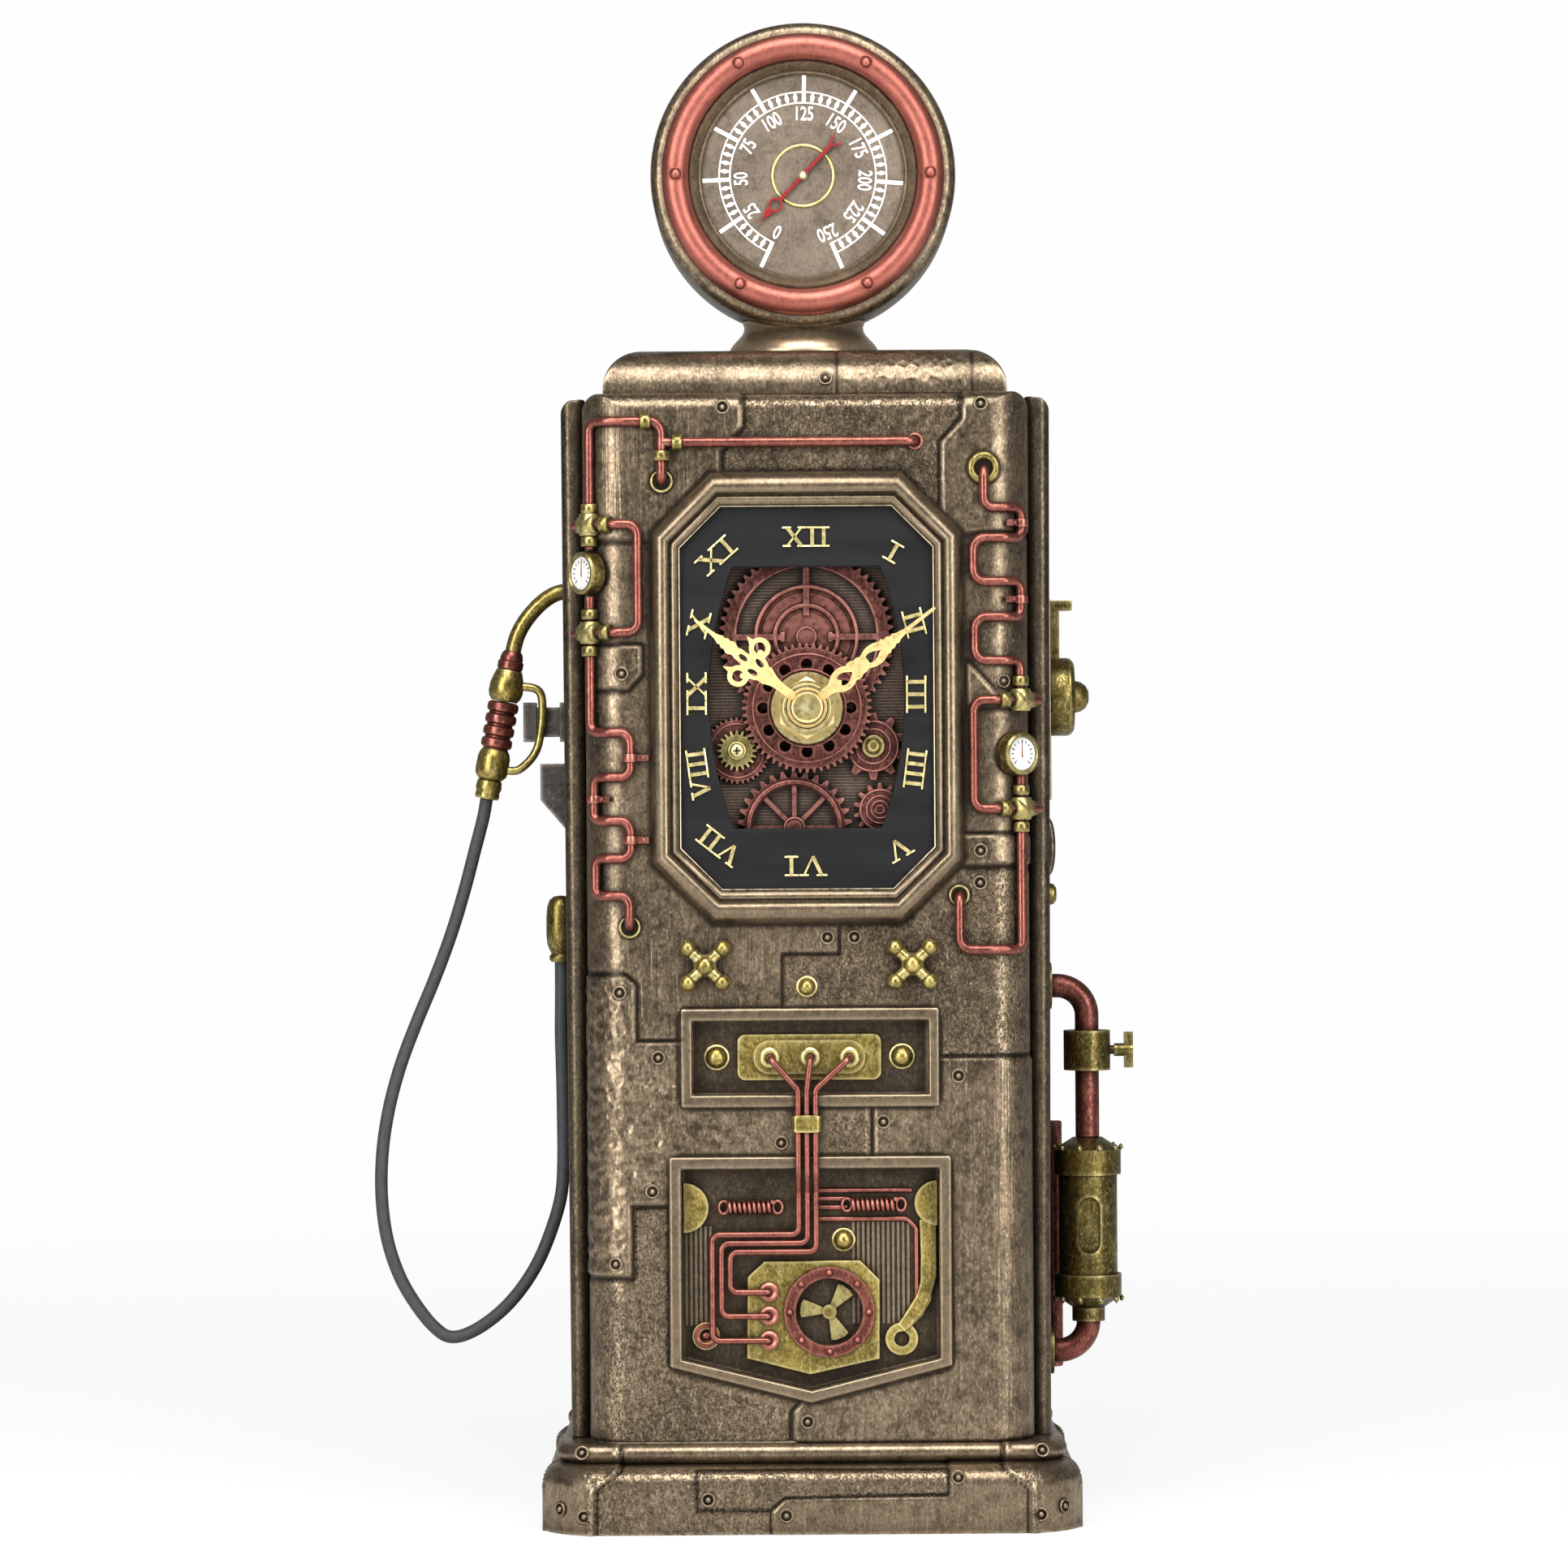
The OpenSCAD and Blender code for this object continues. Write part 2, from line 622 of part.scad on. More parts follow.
module clock_bezel() {
    color(bronze) on_front(0, clock_z) {
        bezel_band(0, 1.2, 0, 0);
        bezel_band(1.2, bezel_rise - 1, 1.2, 0.6);
        bezel_band(bezel_rise - 1, bezel_rise, 1.8, 2.2);
    }
}
module bezel_band(low, high, inset, lip) {
    cut = inset * (2 - sqrt(2));
    translate([0, 0, low]) linear_extrude(high - low) difference() {
        octagon(bezel_w - 2 * inset, bezel_h - 2 * inset, bezel_chamfer - cut);
        face_octagon(lip);
    }
}
module window_shape() {
    half = window_h / 2;
    r = (half * half + window_bulge * window_bulge) / (2 * window_bulge);
    square([window_w, window_h], center = true);
    for (s = [-1, 1]) intersection() {
        translate([s * (window_w / 2 + window_bulge - r), 0]) circle(r, $fn = 180);
        translate([s * (window_w / 4 + window_bulge / 2), 0])
            square([window_w / 2 + window_bulge, window_h], center = true);
    }
}
module dial_plate() {
    color(dark) on_front(0, clock_z, -dial_t) linear_extrude(dial_t) difference() {
        face_octagon(dial_lap);
        window_shape();
    }
}
// Roman letters, each on its own width, drawn by strokes with serifs
function letter_w(c) = c == "I" ? 1.5 : 3;
function word_w(s, i = 0) = i == len(s) ? 0 : letter_w(s[i]) + word_w(s, i + 1);
function letter_at(s, i) = i == 0 ? 0 : letter_w(s[i - 1]) + letter_at(s, i - 1);
module stroke(x0, x1, w) {
    h = numeral_h / 2;
    polygon([[x0 - w / 2, -h], [x0 + w / 2, -h], [x1 + w / 2, h], [x1 - w / 2, h]]);
}
module serif(x, s) {
    translate([x, s * (numeral_h / 2 - 0.25)]) square([1.3, 0.5], center = true);
}
module letter(c) {
    if (c == "I") {
        stroke(0, 0, 0.7);
        for (s = [-1, 1]) serif(0, s);
    }
    if (c == "V") {
        stroke(0, -0.9, 0.7);
        stroke(0, 0.9, 0.5);
        for (x = [-0.8, 0.8]) serif(x, 1);
    }
    if (c == "X") {
        stroke(0.8, -0.8, 0.7);
        stroke(-0.8, 0.8, 0.5);
        for (x = [-0.8, 0.8], s = [-1, 1]) serif(x, s);
    }
}
// Each numeral, its place from the hands' axis and its turn, on a dial of the drawn size
drawn_face = [49.4, 74.6];
numerals = [["XII", 0, 33.5, 0], ["I", 17.1, 30.4, 30], ["II", 21.1, 16.5, 76], ["III", 21.4, 2.5, 90],
    ["IIII", 21.1, -12.1, 97], ["V", 17.8, -27.8, 150], ["VI", -0.4, -31, 180], ["VII", -17.3, -27, 218],
    ["VIII", -21.3, -12.9, 262], ["IX", -21.6, 2.9, 270], ["X", -21.1, 16.5, 284],
        ["XI", -17.6, 29.9, 318]];
module dial_numerals() {
    color(gold) for (n = numerals)
        on_front(n[1] * face_w / drawn_face[0], shaft_z + n[2] * face_h / drawn_face[1])
        rotate([0, 0, -n[3]])
            linear_extrude(numeral_t) for (i = [0 : len(n[0]) - 1])
                translate([letter_at(n[0], i) + letter_w(n[0][i]) / 2 - word_w(n[0]) / 2, 0])
                    letter(n[0][i]);
}

// Places of the relief gears from the hands' axis
// The relief gears keep their place in the dial's window
gear_fit = face_h / drawn_face[1];
top_gear_at = gear_fit * [0, 14];
bottom_gear_at = gear_fit * [-2.6, -23.5];
left_gear_at = gear_fit * [-13.8, -8.3];
right_gear_at = gear_fit * [13, -7.6];
corner_gear_at = gear_fit * [14.3, -20.1];
centre_boss = 7.2;
module gear_plate() {
    color("#2a1c14") on_front(0, clock_z, -front_wall - gear_plate_t) linear_extrude(gear_plate_t)
        difference() {
        face_octagon(dial_lap + 2.5);
        translate([0, -shaft_drop]) circle(bush_d / 2 + fit);
    }
}
module gear_ring(outer, inner) {
    difference() {
        circle(outer);
        circle(inner);
    }
}
module spokes(n, length, w) {
    for (i = [0 : n - 1]) rotate([0, 0, 360 * i / n]) translate([-w / 2, 0]) square([w, length]);
}
module seated_gear(at, t) {
    on_front(at[0], shaft_z + at[1], gear_seat) linear_extrude(t) children();
}
module top_gear() {
    color(copper) seated_gear(top_gear_at, gear_t) difference() {
        union() {
            difference() {
                toothed(56, gear_fit * 17.3, gear_fit * 16.2);
                circle(gear_fit * 13.9);
            }
            gear_ring(gear_fit * 11.2, gear_fit * 10);
            gear_ring(gear_fit * 7, gear_fit * 6);
            intersection() {
                spokes(4, gear_fit * 14.4, 2.6);
                circle(gear_fit * 14.2);
            }
            circle(1.9);
        }
        translate(-top_gear_at) circle(centre_boss + 0.3);
    }
}
module centre_gear() {
    hole_at = gear_fit * 8.6;
    color(copper) difference() {
        union() {
            on_front(0, shaft_z, gear_seat) cylinder(h = centre_top - gear_seat, r = centre_boss);
            on_front(0, shaft_z, centre_seat) linear_extrude(gear_t)
                toothed(56, gear_fit * 12.8, gear_fit * 11.9);
        }
        on_front(0, shaft_z, gear_seat - 1) cylinder(h = front_wall, r = bush_d / 2 + fit);
        for (i = [0 : 11]) on_front(hole_at * sin(30 * i), shaft_z + hole_at * cos(30 * i), gear_seat - 1)
            cylinder(h = front_wall, r = 1.1);
    }
}
module bottom_gear() {
    color(copper) seated_gear(bottom_gear_at, gear_t) {
        difference() {
            toothed(30, gear_fit * 11.3, gear_fit * 9.9);
            circle(gear_fit * 8.2);
        }
        intersection() {
            spokes(6, gear_fit * 8.6, 1.6);
            circle(gear_fit * 8.6);
        }
        circle(2);
    }
}
module small_gears() {
    color(copper) {
        seated_gear(left_gear_at, gear_t) toothed(36, gear_fit * 6.6, gear_fit * 6);
        seated_gear(right_gear_at, gear_t) toothed(10, gear_fit * 6.7, gear_fit * 5.2);
        seated_gear(corner_gear_at, gear_t) toothed(14, gear_fit * 5.3, gear_fit * 4.2);
    }
}
module brass_pinion() {
    color(brass) {
        on_front(left_gear_at[0], shaft_z + left_gear_at[1], small_gear_top) {
            linear_extrude(pinion_t - 0.7) toothed(20, gear_fit * 4, gear_fit * 3.2);
            cylinder(h = pinion_t, r = 1.6);
        }
        on_front(right_gear_at[0], shaft_z + right_gear_at[1], small_gear_top) dome(2.2);
    }
}

module movement_box(h) {
    linear_extrude(h) square(movement_w, center = true);
}
cell_at = cell_d / 2 + movement_wall + 0.2 - movement_w / 2;
module movement_case() {
    depth = movement_lift - case_back;
    inner = movement_w - 2 * movement_wall;
    bush_end = hour_lift - 0.6;
    color(dark) {
        difference() {
            union() {
                on_front(0, shaft_z, case_back) movement_box(depth);
                on_front(0, shaft_z, movement_lift - 0.1)
                    cylinder(h = bush_end - movement_lift + 0.1, r = bush_d / 2);
            }
            on_front(0, shaft_z, case_back - 1) linear_extrude(depth + 1 - movement_wall)
                square(inner, center = true);
            on_front(0, shaft_z, case_back)
                cylinder(h = depth + bush_end - movement_lift + 1, r = tube_d / 2 + run);
        }
        on_front(0, shaft_z + wheel_distance, arbor_boss)
            cylinder(h = movement_lift - movement_wall - arbor_boss, r = wheel_pin_d / 2);
    }
}
module movement_back() {
    color(dark) difference() {
        union() {
            on_front(0, shaft_z, case_back - movement_wall) movement_box(movement_wall);
            on_front(0, shaft_z, case_back) cylinder(h = arbor_boss - case_back, r = 3);
            on_front(setting_distance, shaft_z + wheel_distance, case_back)
                cylinder(h = arbor_boss - case_back - 1, r = 2.8);
        }
        on_front(0, shaft_z, arbor_boss - 4) cylinder(h = 5, r = arbor_d / 2 + run);
        on_front(setting_distance, shaft_z + wheel_distance, case_back - 3)
            cylinder(h = movement_t, r = setting_d / 2 + run);
        on_front(0, shaft_z + cell_at, case_back - 3) linear_extrude(movement_t)
            square([cell_l + 0.8, cell_d + 0.4], center = true);
    }
}
module quartz_drive() {
    board_t = 1;
    color("#3a5a3a") on_front(-15, shaft_z + 16, case_back + fit) {
        translate([-9, -8, 0]) cube([18, 16, board_t]);
        translate([-6, 2, board_t + 2.5]) rotate([0, 90, 0]) cylinder(h = 12, r = 2.5);
    }
}
module battery() {
    color("#39424c") translate([-cell_l / 2, front_y - case_back - cell_d / 2 - 0.3, shaft_z + cell_at])
        rotate([0, 90, 0]) {
        cylinder(h = cell_l - 1.2, r = cell_d / 2);
        cylinder(h = cell_l, r = 2.7);
    }
}
module movement_fixings() {
    color(brass) on_front(0, shaft_z, centre_top) {
        tube(washer_t, washer_d / 2, bush_d / 2 + fit);
        translate([0, 0, washer_t]) difference() {
            rotate([0, 0, 30]) cylinder(h = nut_t, r = nut_af / sqrt(3), $fn = 6);
            translate([0, 0, -1]) cylinder(h = nut_t + 2, r = bush_d / 2 + fit);
        }
    }
}

// Half outlines of the pierced hands, from hub to tip; lengths past the scrolls scale with the hand
hub_r = 4.7;
minute_angle = 52.6;
hour_angle = 308.8;
module hand_hub(bore) {
    difference() {
        circle(hub_r);
        circle(bore);
    }
}
module minute_hand() {
    tip = minute_l;
    color(gold) on_front(0, shaft_z, minute_lift) rotate([0, 0, -minute_angle]) linear_extrude(hand_t) {
        hand_hub(arbor_d / 2);
        difference() {
            polygon(mirrored([[1.1, 4], [1, 6], [1.9, 7.6], [1.9, 10.4], [1.1, 12.6], [1.7, 14.4],
                [1.7, 17.8], [0.8, 20], [1.2, 21], [0.9, 23], [0.6, tip - 4], [0.2, tip]]));
            translate([0, 9]) ellipse_slot(1.1, 2.6);
            translate([0, 16.1]) ellipse_slot(0.9, 2.8);
        }
    }
}
module ellipse_slot(r, h) {
    square([2 * r, h - 2 * r + 0.6], center = true);
    for (s = [-1, 1]) translate([0, s * (h / 2 - r + 0.3)]) circle(r);
}
module hour_hand() {
    tip = hour_l;
    color(gold) on_front(0, shaft_z, hour_lift) rotate([0, 0, -hour_angle]) linear_extrude(hand_t) {
        hand_hub(tube_d / 2);
        difference() {
            polygon(mirrored([[1.2, 4], [1, 8], [1.4, 9.6], [2.6, 11], [2.2, 13], [3, 14.6], [1.6, 17],
                [1.9, 18.4],
                [1.2, 19.4], [1.7, 20.6], [1.1, 21.8], [1.3, 23], [0.7, 24.4], [0.15, tip]]));
            for (x = [-1, 1]) translate([x * 1.1, 12.2]) circle(0.7);
            translate([0, 14.6]) circle(0.8);
        }
        for (x = [-1, 1]) translate([x * 3.9, 14.4]) gear_ring(2, 1.15);
    }
}
module hand_cap() {
    color(gold) on_front(0, shaft_z, cap_lift) difference() {
        union() {
            cylinder(h = cap_t - 0.5, r = cap_d / 2);
            cylinder(h = cap_t, r = cap_d / 2 - 0.5);
        }
        translate([0, 0, -1]) cylinder(h = cap_t, r = arbor_d / 2);
    }
}
module minute_arbor() {
    color(brass) {
        on_front(0, shaft_z, arbor_boss - 3.5)
            cylinder(h = cap_lift + cap_t - 1.2 - arbor_boss + 3.5, r = arbor_d / 2);
        on_front(0, shaft_z, minute_wheel_lift - wheel_t - 0.1) linear_extrude(wheel_t + 0.2)
            involute(cannon_teeth, first_module);
    }
}
module hour_wheel() {
    color(brass) difference() {
        union() {
            on_front(0, shaft_z, hour_wheel_lift - wheel_t) {
                cylinder(h = hour_lift + hand_t - hour_wheel_lift + wheel_t, r = tube_d / 2);
                linear_extrude(wheel_t) rotate([0, 0, 180 / hour_teeth])
                    involute(hour_teeth, second_module);
            }
        }
        on_front(0, shaft_z, hour_wheel_lift - wheel_t - 1) cylinder(h = 40, r = arbor_d / 2 + run);
    }
}
module minute_wheel() {
    color(brass) difference() {
        union() {
            on_front(0, shaft_z + wheel_distance, minute_wheel_lift - wheel_t) linear_extrude(wheel_t)
                rotate([0, 0, 180 / minute_wheel_teeth]) involute(minute_wheel_teeth, first_module);
            on_front(0, shaft_z + wheel_distance, minute_wheel_lift) linear_extrude(wheel_t + 1.2)
                involute(minute_pinion_teeth, second_module);
        }
        on_front(0, shaft_z + wheel_distance, case_back)
            cylinder(h = movement_t, r = wheel_pin_d / 2 + run);
    }
}
module set_knob() {
    color(dark) on_front(setting_distance, shaft_z + wheel_distance, minute_wheel_lift - wheel_t) {
        linear_extrude(wheel_t) involute(setting_teeth, first_module);
        low = case_back - movement_wall - 4.3 - minute_wheel_lift + wheel_t;
        translate([0, 0, low + 1]) cylinder(h = -low, r = setting_d / 2);
        translate([0, 0, low]) linear_extrude(4) toothed(18, knob_d / 2, knob_d / 2 - 0.5);
    }
}

// Pipe runs on the front, each from its hole or fitting
module left_pipe() {
    over_top = over_bezel + 4.2;
    run_x = 10.5;
    wave_x = 8.8;
    color(copper) {
        pipe_run(concat([entry_end(-1, left_entries[0])],
            skin_path(-1, [left_entries[0], [15.3, over_top], [8, over_top],
            [4.5, over_top], [1, over_top], [1, left_gauge + gauge_half]])), pipe_r, pipe_bend);
        pipe_run(concat(skin_path(-1, [[1, left_gauge - gauge_half], [1, -6.6], [4.5, -6.6], [wave_x, -6.6],
            [wave_x, -15.4], [4.5, -15.4], [1.6, -15.4], [1.6, -23.9], [4.5, -23.9], [wave_x, -23.9],
            [wave_x, -31.3], [4.5, -31.3], [1.8, -31.3], [1.8, -38.6], [4.5, -38.6], [8.5, -38.6],
            left_entries[1]]), [entry_end(-1, left_entries[1])]), pipe_r, pipe_bend);
        pipe_run(skin_path(-1, [[17.5, over_bezel], [40, over_bezel], [65, over_bezel]]), pipe_r,
            pipe_bend);
        pipe_run(skin_path(-1, [[3.4, 34.2], [6, 34.2], [run_x, 34.2], [run_x, 13], [6, 13], [3.4, 13]]),
            pipe_r, pipe_bend);
        for (dz = [13, 34.2]) rail_stub(-1, clock_z + dz);
    }
}
// A stub from a corner fitting back to the side rail
module rail_stub(side, z) {
    x = front_w / 2 + side_wall / 2;
    pipe_run([[side * (front_w / 2 + 1.4), front_y + 2.6, z], [side * x, front_y + 4.2, z],
        [side * x, front_y + rail_back - 0.1, z]], pipe_r, pipe_bend);
}
module right_pipe() {
    under = 0.5 - over_bezel;
    run_x = 10.9;
    color(copper) {
        pipe_run(concat([entry_end(1, right_entries[0])],
            skin_path(1, [right_entries[0], [8.6, 37], [4.5, 37],
            [1.2, 37], [1.2, 31.1], [4.5, 31.1], [10.8, 31.1], [10.8, 22.5], [4.5, 22.5], [1.4, 22.5],
            [1.4, 15.6], [4.5, 15.6], [10.6, 15.6], [10.6, 7], [4.5, 7], [1.6, 7], [1.6, -2.4]])),
            pipe_r, pipe_bend);
        pipe_run(skin_path(1, [[4, -0.7], [6.5, -0.7], [run_x, -0.7], [run_x, -22], [6.5, -22], [4, -22]]),
            pipe_r, pipe_bend);
        pipe_run(concat(skin_path(1,
            [[1.6, right_gauge - gauge_half], [1.6, under], [4.5, under], [8, under],
            [13.9, under], right_entries[1]]), [entry_end(1, right_entries[1])]), pipe_r, pipe_bend);
        rail_stub(1, clock_z - 0.4);
        rail_stub(1, clock_z - 22);
    }
}
// A sleeve on an upright run of a front pipe, hollowed to sit on the casing
module sleeve(side, inset, dz, h, outer) {
    seat = 0.05;
    difference() {
        translate(on_skin(side, [inset, dz], pipe_r + pipe_gap)) translate([0, 0, -h / 2])
            tube(h, outer, pipe_r + fit / 2);
        translate([0, -seat, clock_z + dz - h]) linear_extrude(2 * h)
            shell_plan(front_w + 2 * seat, body_d, front_r + seat);
    }
}
module pipe_fittings() {
    sleeve_r = 1.7;
    color(brass) {
        for (dz = [47.5, 37.6, 34.2, 31.4, 16.4, 13, 9.6])
            sleeve(-1, 1, dz, dz == 34.2 || dz == 13 ? 3.4 : 1.6, sleeve_r);
        for (dz = [3.4, -0.6]) sleeve(1, 1.6, dz, dz < 0 ? 3.4 : 1.8, sleeve_r);
        for (dz = [-18.6, -22, -25.4]) sleeve(1, 1.6, dz, dz == -22 ? 3.4 : 1.6, sleeve_r);
        for (e = left_entries) grommet(e[0] - front_w / 2, clock_z + e[1], 2.3);
        for (e = right_entries) grommet(front_w / 2 - e[0], clock_z + e[1], 2.3);
        clamp_band();
    }
}
module grommet(x, z, r) {
    on_front(x, z) tube(grommet_t, r, pipe_r + grommet_gap);
}
module clamp_band() {
    half = 3.1;
    on_front(-0.5, engine_z + 6.2) difference() {
        translate([-half, -1.6, 0]) cube([2 * half, 3.2, supply_lift + supply_r + 0.6]);
        translate([-half + 0.5, -3, -1]) cube([2 * half - 1, 6, supply_lift + supply_r + 1.1]);
    }
}
// The small gauges face outward from the rounded edges
mini_turn = [50, 36];
mini_t = 3.4;
module mini_place(side, dz, angle) {
    reach = front_r + 0.3;
    translate([side * (front_w / 2 - front_r + reach * sin(angle)),
        front_y + front_r - reach * cos(angle), clock_z + dz])
        rotate([0, 0, side * angle]) rotate([90, 0, 0]) children();
}
module mini_gauge() {
    difference() {
        cylinder(h = mini_t, r = mini_d / 2);
        translate([0, 0, mini_t - 0.8]) cylinder(h = 2, r = mini_d / 2 - 0.9);
    }
}
module mini_gauges() {
    color(brass) {
        mini_place(-1, left_gauge, mini_turn[0]) mini_gauge();
        mini_place(1, right_gauge, mini_turn[1]) mini_gauge();
    }
}

module frame_band(rise) {
    linear_extrude(rise) difference() {
        children(0);
        children(1);
    }
}
module panel_frames() {
    color(bronze) {
        on_front(0.2, terminal_z) frame_band(frame_rise) {
            square([bay_w + 0.2, 19.5], center = true);
            square([bay_w - 4.2, 14.4], center = true);
        }
        on_front(0, engine_z) frame_band(frame_rise) {
            bay_outline(bay_rim);
            bay_outline(0);
        }
    }
}
module terminal_plate() {
    color(brass) on_front(0, terminal_z, -terminal_depth) difference() {
        union() {
            plate(28.2, 9.1, 1.6, 1.2);
            translate([0, 0, 1.2]) plate(22, 6.7, 3.2, 0.7);
            for (x = terminal_ports) translate([x, 0, 1.9]) cylinder(h = 0.5, r = 1.9);
        }
        for (x = terminal_ports) translate([x, 0, 1]) cylinder(h = 3, r = supply_r + fit);
    }
}
module supply_pipes() {
    start = 1.1 - terminal_depth;
    columns = [-2.3, -0.6, 1.1];
    turns = [-15.6, -17.3, -19];
    downs = [-19.3, -17.5, -15.8];
    color(copper) for (i = [0 : 2]) {
        port = engine_ports[2 - i];
        pipe_run([for (p = [[terminal_ports[i], terminal_z, start],
            [terminal_ports[i], terminal_z, supply_lift],
            [columns[i], terminal_z - 6.2, supply_lift], [columns[i], engine_z - bay_drop - 0.8, supply_lift],
            [columns[i], engine_z - bay_drop - 4.4, bay_lift], [columns[i], engine_z + turns[i], bay_lift],
            [downs[i], engine_z + turns[i], bay_lift], [downs[i], engine_z + port[1], bay_lift],
            [port[0], engine_z + port[1], bay_lift], [port[0], engine_z + port[1], plate_lift + 0.1]])
            [p[0], front_y - p[2], p[1]]], supply_r, 1.4, 8);
    }
}

// Springs: one wire each, drawn in to the axis at both ends
spring_l = 9.4;
spring_at = [[-16.4, -10.4], [7.8, -10]];
function spring_path(turns, l) = let (rings = turns * 8, r = (spring_d - spring_wire) / 2)
    concat([[-0.8, 0, 0]], [for (i = [0 : rings]) let (s = i / rings, ease = min(1, i / 4, (rings - i) / 4))
        [l * s, r * ease * cos(45 * i), r * ease * sin(45 * i)]], [[l + 0.8, 0, 0]]);
function spring_gap(p) = min([for (i = [1 : len(p) - 7]) for (j = [i + 6 : min(i + 12, len(p) - 1)])
    norm(p[i] - p[j])]) - spring_wire;
echo(str("Least gap of a spring to itself, mm: ", spring_gap(spring_path(spring_turns, spring_l))));
module engine_springs() {
    color(copper) for (s = spring_at) on_front(s[0], engine_z + s[1], -engine_depth + spring_d / 2 + 0.1)
        sweep(spring_path(spring_turns, spring_l), spring_wire / 2, 6);
}
module engine_plate() {
    outline = [[-9, -20.9], [9.7, -20.9], [13.5, -24.7], [13.4, -40.2], [-0.3, -43.2], [-12.6, -40],
        [-12.4, -24]];
    color(brass) on_front(0, engine_z, -engine_depth) difference() {
        union() {
            linear_extrude(2) intersection() {
                polygon(outline);
                bay_outline(-0.4);
            }
            for (p = engine_ports) translate([p[0], p[1], 2]) cylinder(h = 0.5, r = 1.7);
        }
        for (p = engine_ports) translate([p[0], p[1], 1]) cylinder(h = 3, r = supply_r + fit);
        translate([porthole[0], porthole[1], -1]) cylinder(h = 5, r = porthole_d / 2);
    }
}
module porthole_ring() {
    color(bronze) on_front(porthole[0], engine_z + porthole[1], plate_lift) {
        tube(0.9, porthole_d / 2 + 2.3, porthole_d / 2);
        for (i = [0 : 7]) rotate([0, 0, 45 * i]) translate([porthole_d / 2 + 1.15, 0, 0.9]) dome(0.75);
    }
}
module fan() {
    blade = fan_d / 2;
    color(brass) on_front(porthole[0], engine_z + porthole[1], -engine_depth - 1.6) {
        cylinder(h = 2.6, r = fan_pin / 2);
        translate([0, 0, 2]) cylinder(h = 1.8, r = 1.4);
        for (a = [37, 157, 277]) rotate([0, 0, -a]) translate([0, 0, 2.2]) linear_extrude(0.6)
            polygon([[-0.5, 0.8], [-1.8, blade - 0.5], [-0.9, blade - 0.1], [0.9, blade - 0.1],
                [1.8, blade - 0.5],
                [0.5, 0.8]]);
    }
}
module engine_brackets() {
    eye = [17.8, -36.4];
    bar = 0.8;
    link = [[23.8, -10], [24, -20], [23.6, -25.4], [22.7, -28.8], [21.2, -31.6], [18.9, -34]];
    color(brass) on_front(0, engine_z, -engine_depth) {
        linear_extrude(1.6) {
            intersection() {
                translate([-bay_w / 2 + 0.3, -10.4]) circle(4.9);
                translate([-bay_w / 2 + 0.3, -20]) square([6, 19]);
            }
            intersection() {
                translate([bay_w / 2 - 0.3, -9.7]) circle(4.4);
                translate([bay_w / 2 - 6.3, -20]) square([6, 19]);
            }
        }
        linear_extrude(1.2) {
            polygon(concat([for (p = link) p + [bar, 0]],
                [for (i = [len(link) - 1 : -1 : 0]) link[i] - [bar, 0]]));
            translate(eye) gear_ring(3.2, 1.5);
        }
        translate([-20.6, -35.6, 0]) tube(1.2, 2.7, 1.4);
    }
}
module brass_studs() {
    color(brass) {
        for (x = [-18.2, 18.2]) on_front(x, terminal_z, -terminal_depth) dome(2.2);
        on_front(6.5, engine_z - 16.9, -engine_depth) dome(2);
        on_front(-0.4, valve_z - 4.3, 0) dome(1.7);
    }
}
module valve_handle(x) {
    arm = valve_reach;
    color(brass) on_front(x, valve_z) {
        translate([0, 0, 1.4 - front_wall]) cylinder(h = front_wall, r = valve_pin / 2);
        translate([0, 0, 0.8]) cylinder(h = 2.4, r = 1.9);
        translate([0, 0, 3.2]) dome(1.7);
        for (a = [45 : 90 : 315]) rotate([0, 0, a]) {
            translate([0, 0, 2.1]) rotate([0, 90, 0]) cylinder(h = arm, r = 0.85);
            translate([arm, 0, 2.1]) sphere(1.6);
        }
    }
}
module left_valve_handle() {
    valve_handle(-20.3);
}
module right_valve_handle() {
    valve_handle(20.3);
}

// The nozzle stands on the end of the hose and leans toward the casing
module in_nozzle() {
    translate([-body_w / 2 - nozzle_x, side_y, nozzle_z]) rotate([0, nozzle_lean, 0]) children();
}
function nozzle_point(z) =
    [-body_w / 2 - nozzle_x + z * sin(nozzle_lean), side_y, nozzle_z + z * cos(nozzle_lean)];
function nozzle_side(x, z) = nozzle_point(z) + x * [cos(nozzle_lean), 0, -sin(nozzle_lean)];
grip_z = ferrule_l + lower_l;
upper_z = grip_z + grip_l;
collar_z = upper_z + upper_l;
spout_from = collar_z + collar_l;
module nozzle_body() {
    r = grip_d / 2 + 0.15;
    elbow = nozzle_point((spout_z - nozzle_z) / cos(nozzle_lean));
    tail = [-body_w / 2 + socket_in, side_y, spout_z];
    color(brass) {
        in_nozzle() {
            cylinder(h = ferrule_l, r = 2.5);
            translate([0, 0, ferrule_l]) rotate_extrude()
                polygon([[0, 0], [r - 0.9, 0], [r, 1.2], [r, lower_l - 1.2], [r - 0.9, lower_l],
                    [0, lower_l]]);
            translate([0, 0, upper_z]) rotate_extrude()
                polygon([[0, 0], [r - 0.6, 0], [r + 0.2, 1.2], [r + 0.2, upper_l - 2.5], [2.6, upper_l],
                    [0, upper_l]]);
        }
        pipe_run([nozzle_point(spout_from), elbow, tail], spout_d / 2, 10, 16);
        guard_in = r - 0.3;
        pipe_run([nozzle_side(guard_in, upper_z + 3.6), nozzle_side(7.4, upper_z + 2.6),
            nozzle_side(8.4, grip_z + 2),
            nozzle_side(5.6, ferrule_l + 3.4), nozzle_side(guard_in, ferrule_l + 2.4)], 0.75, 2.6, 10);
    }
}
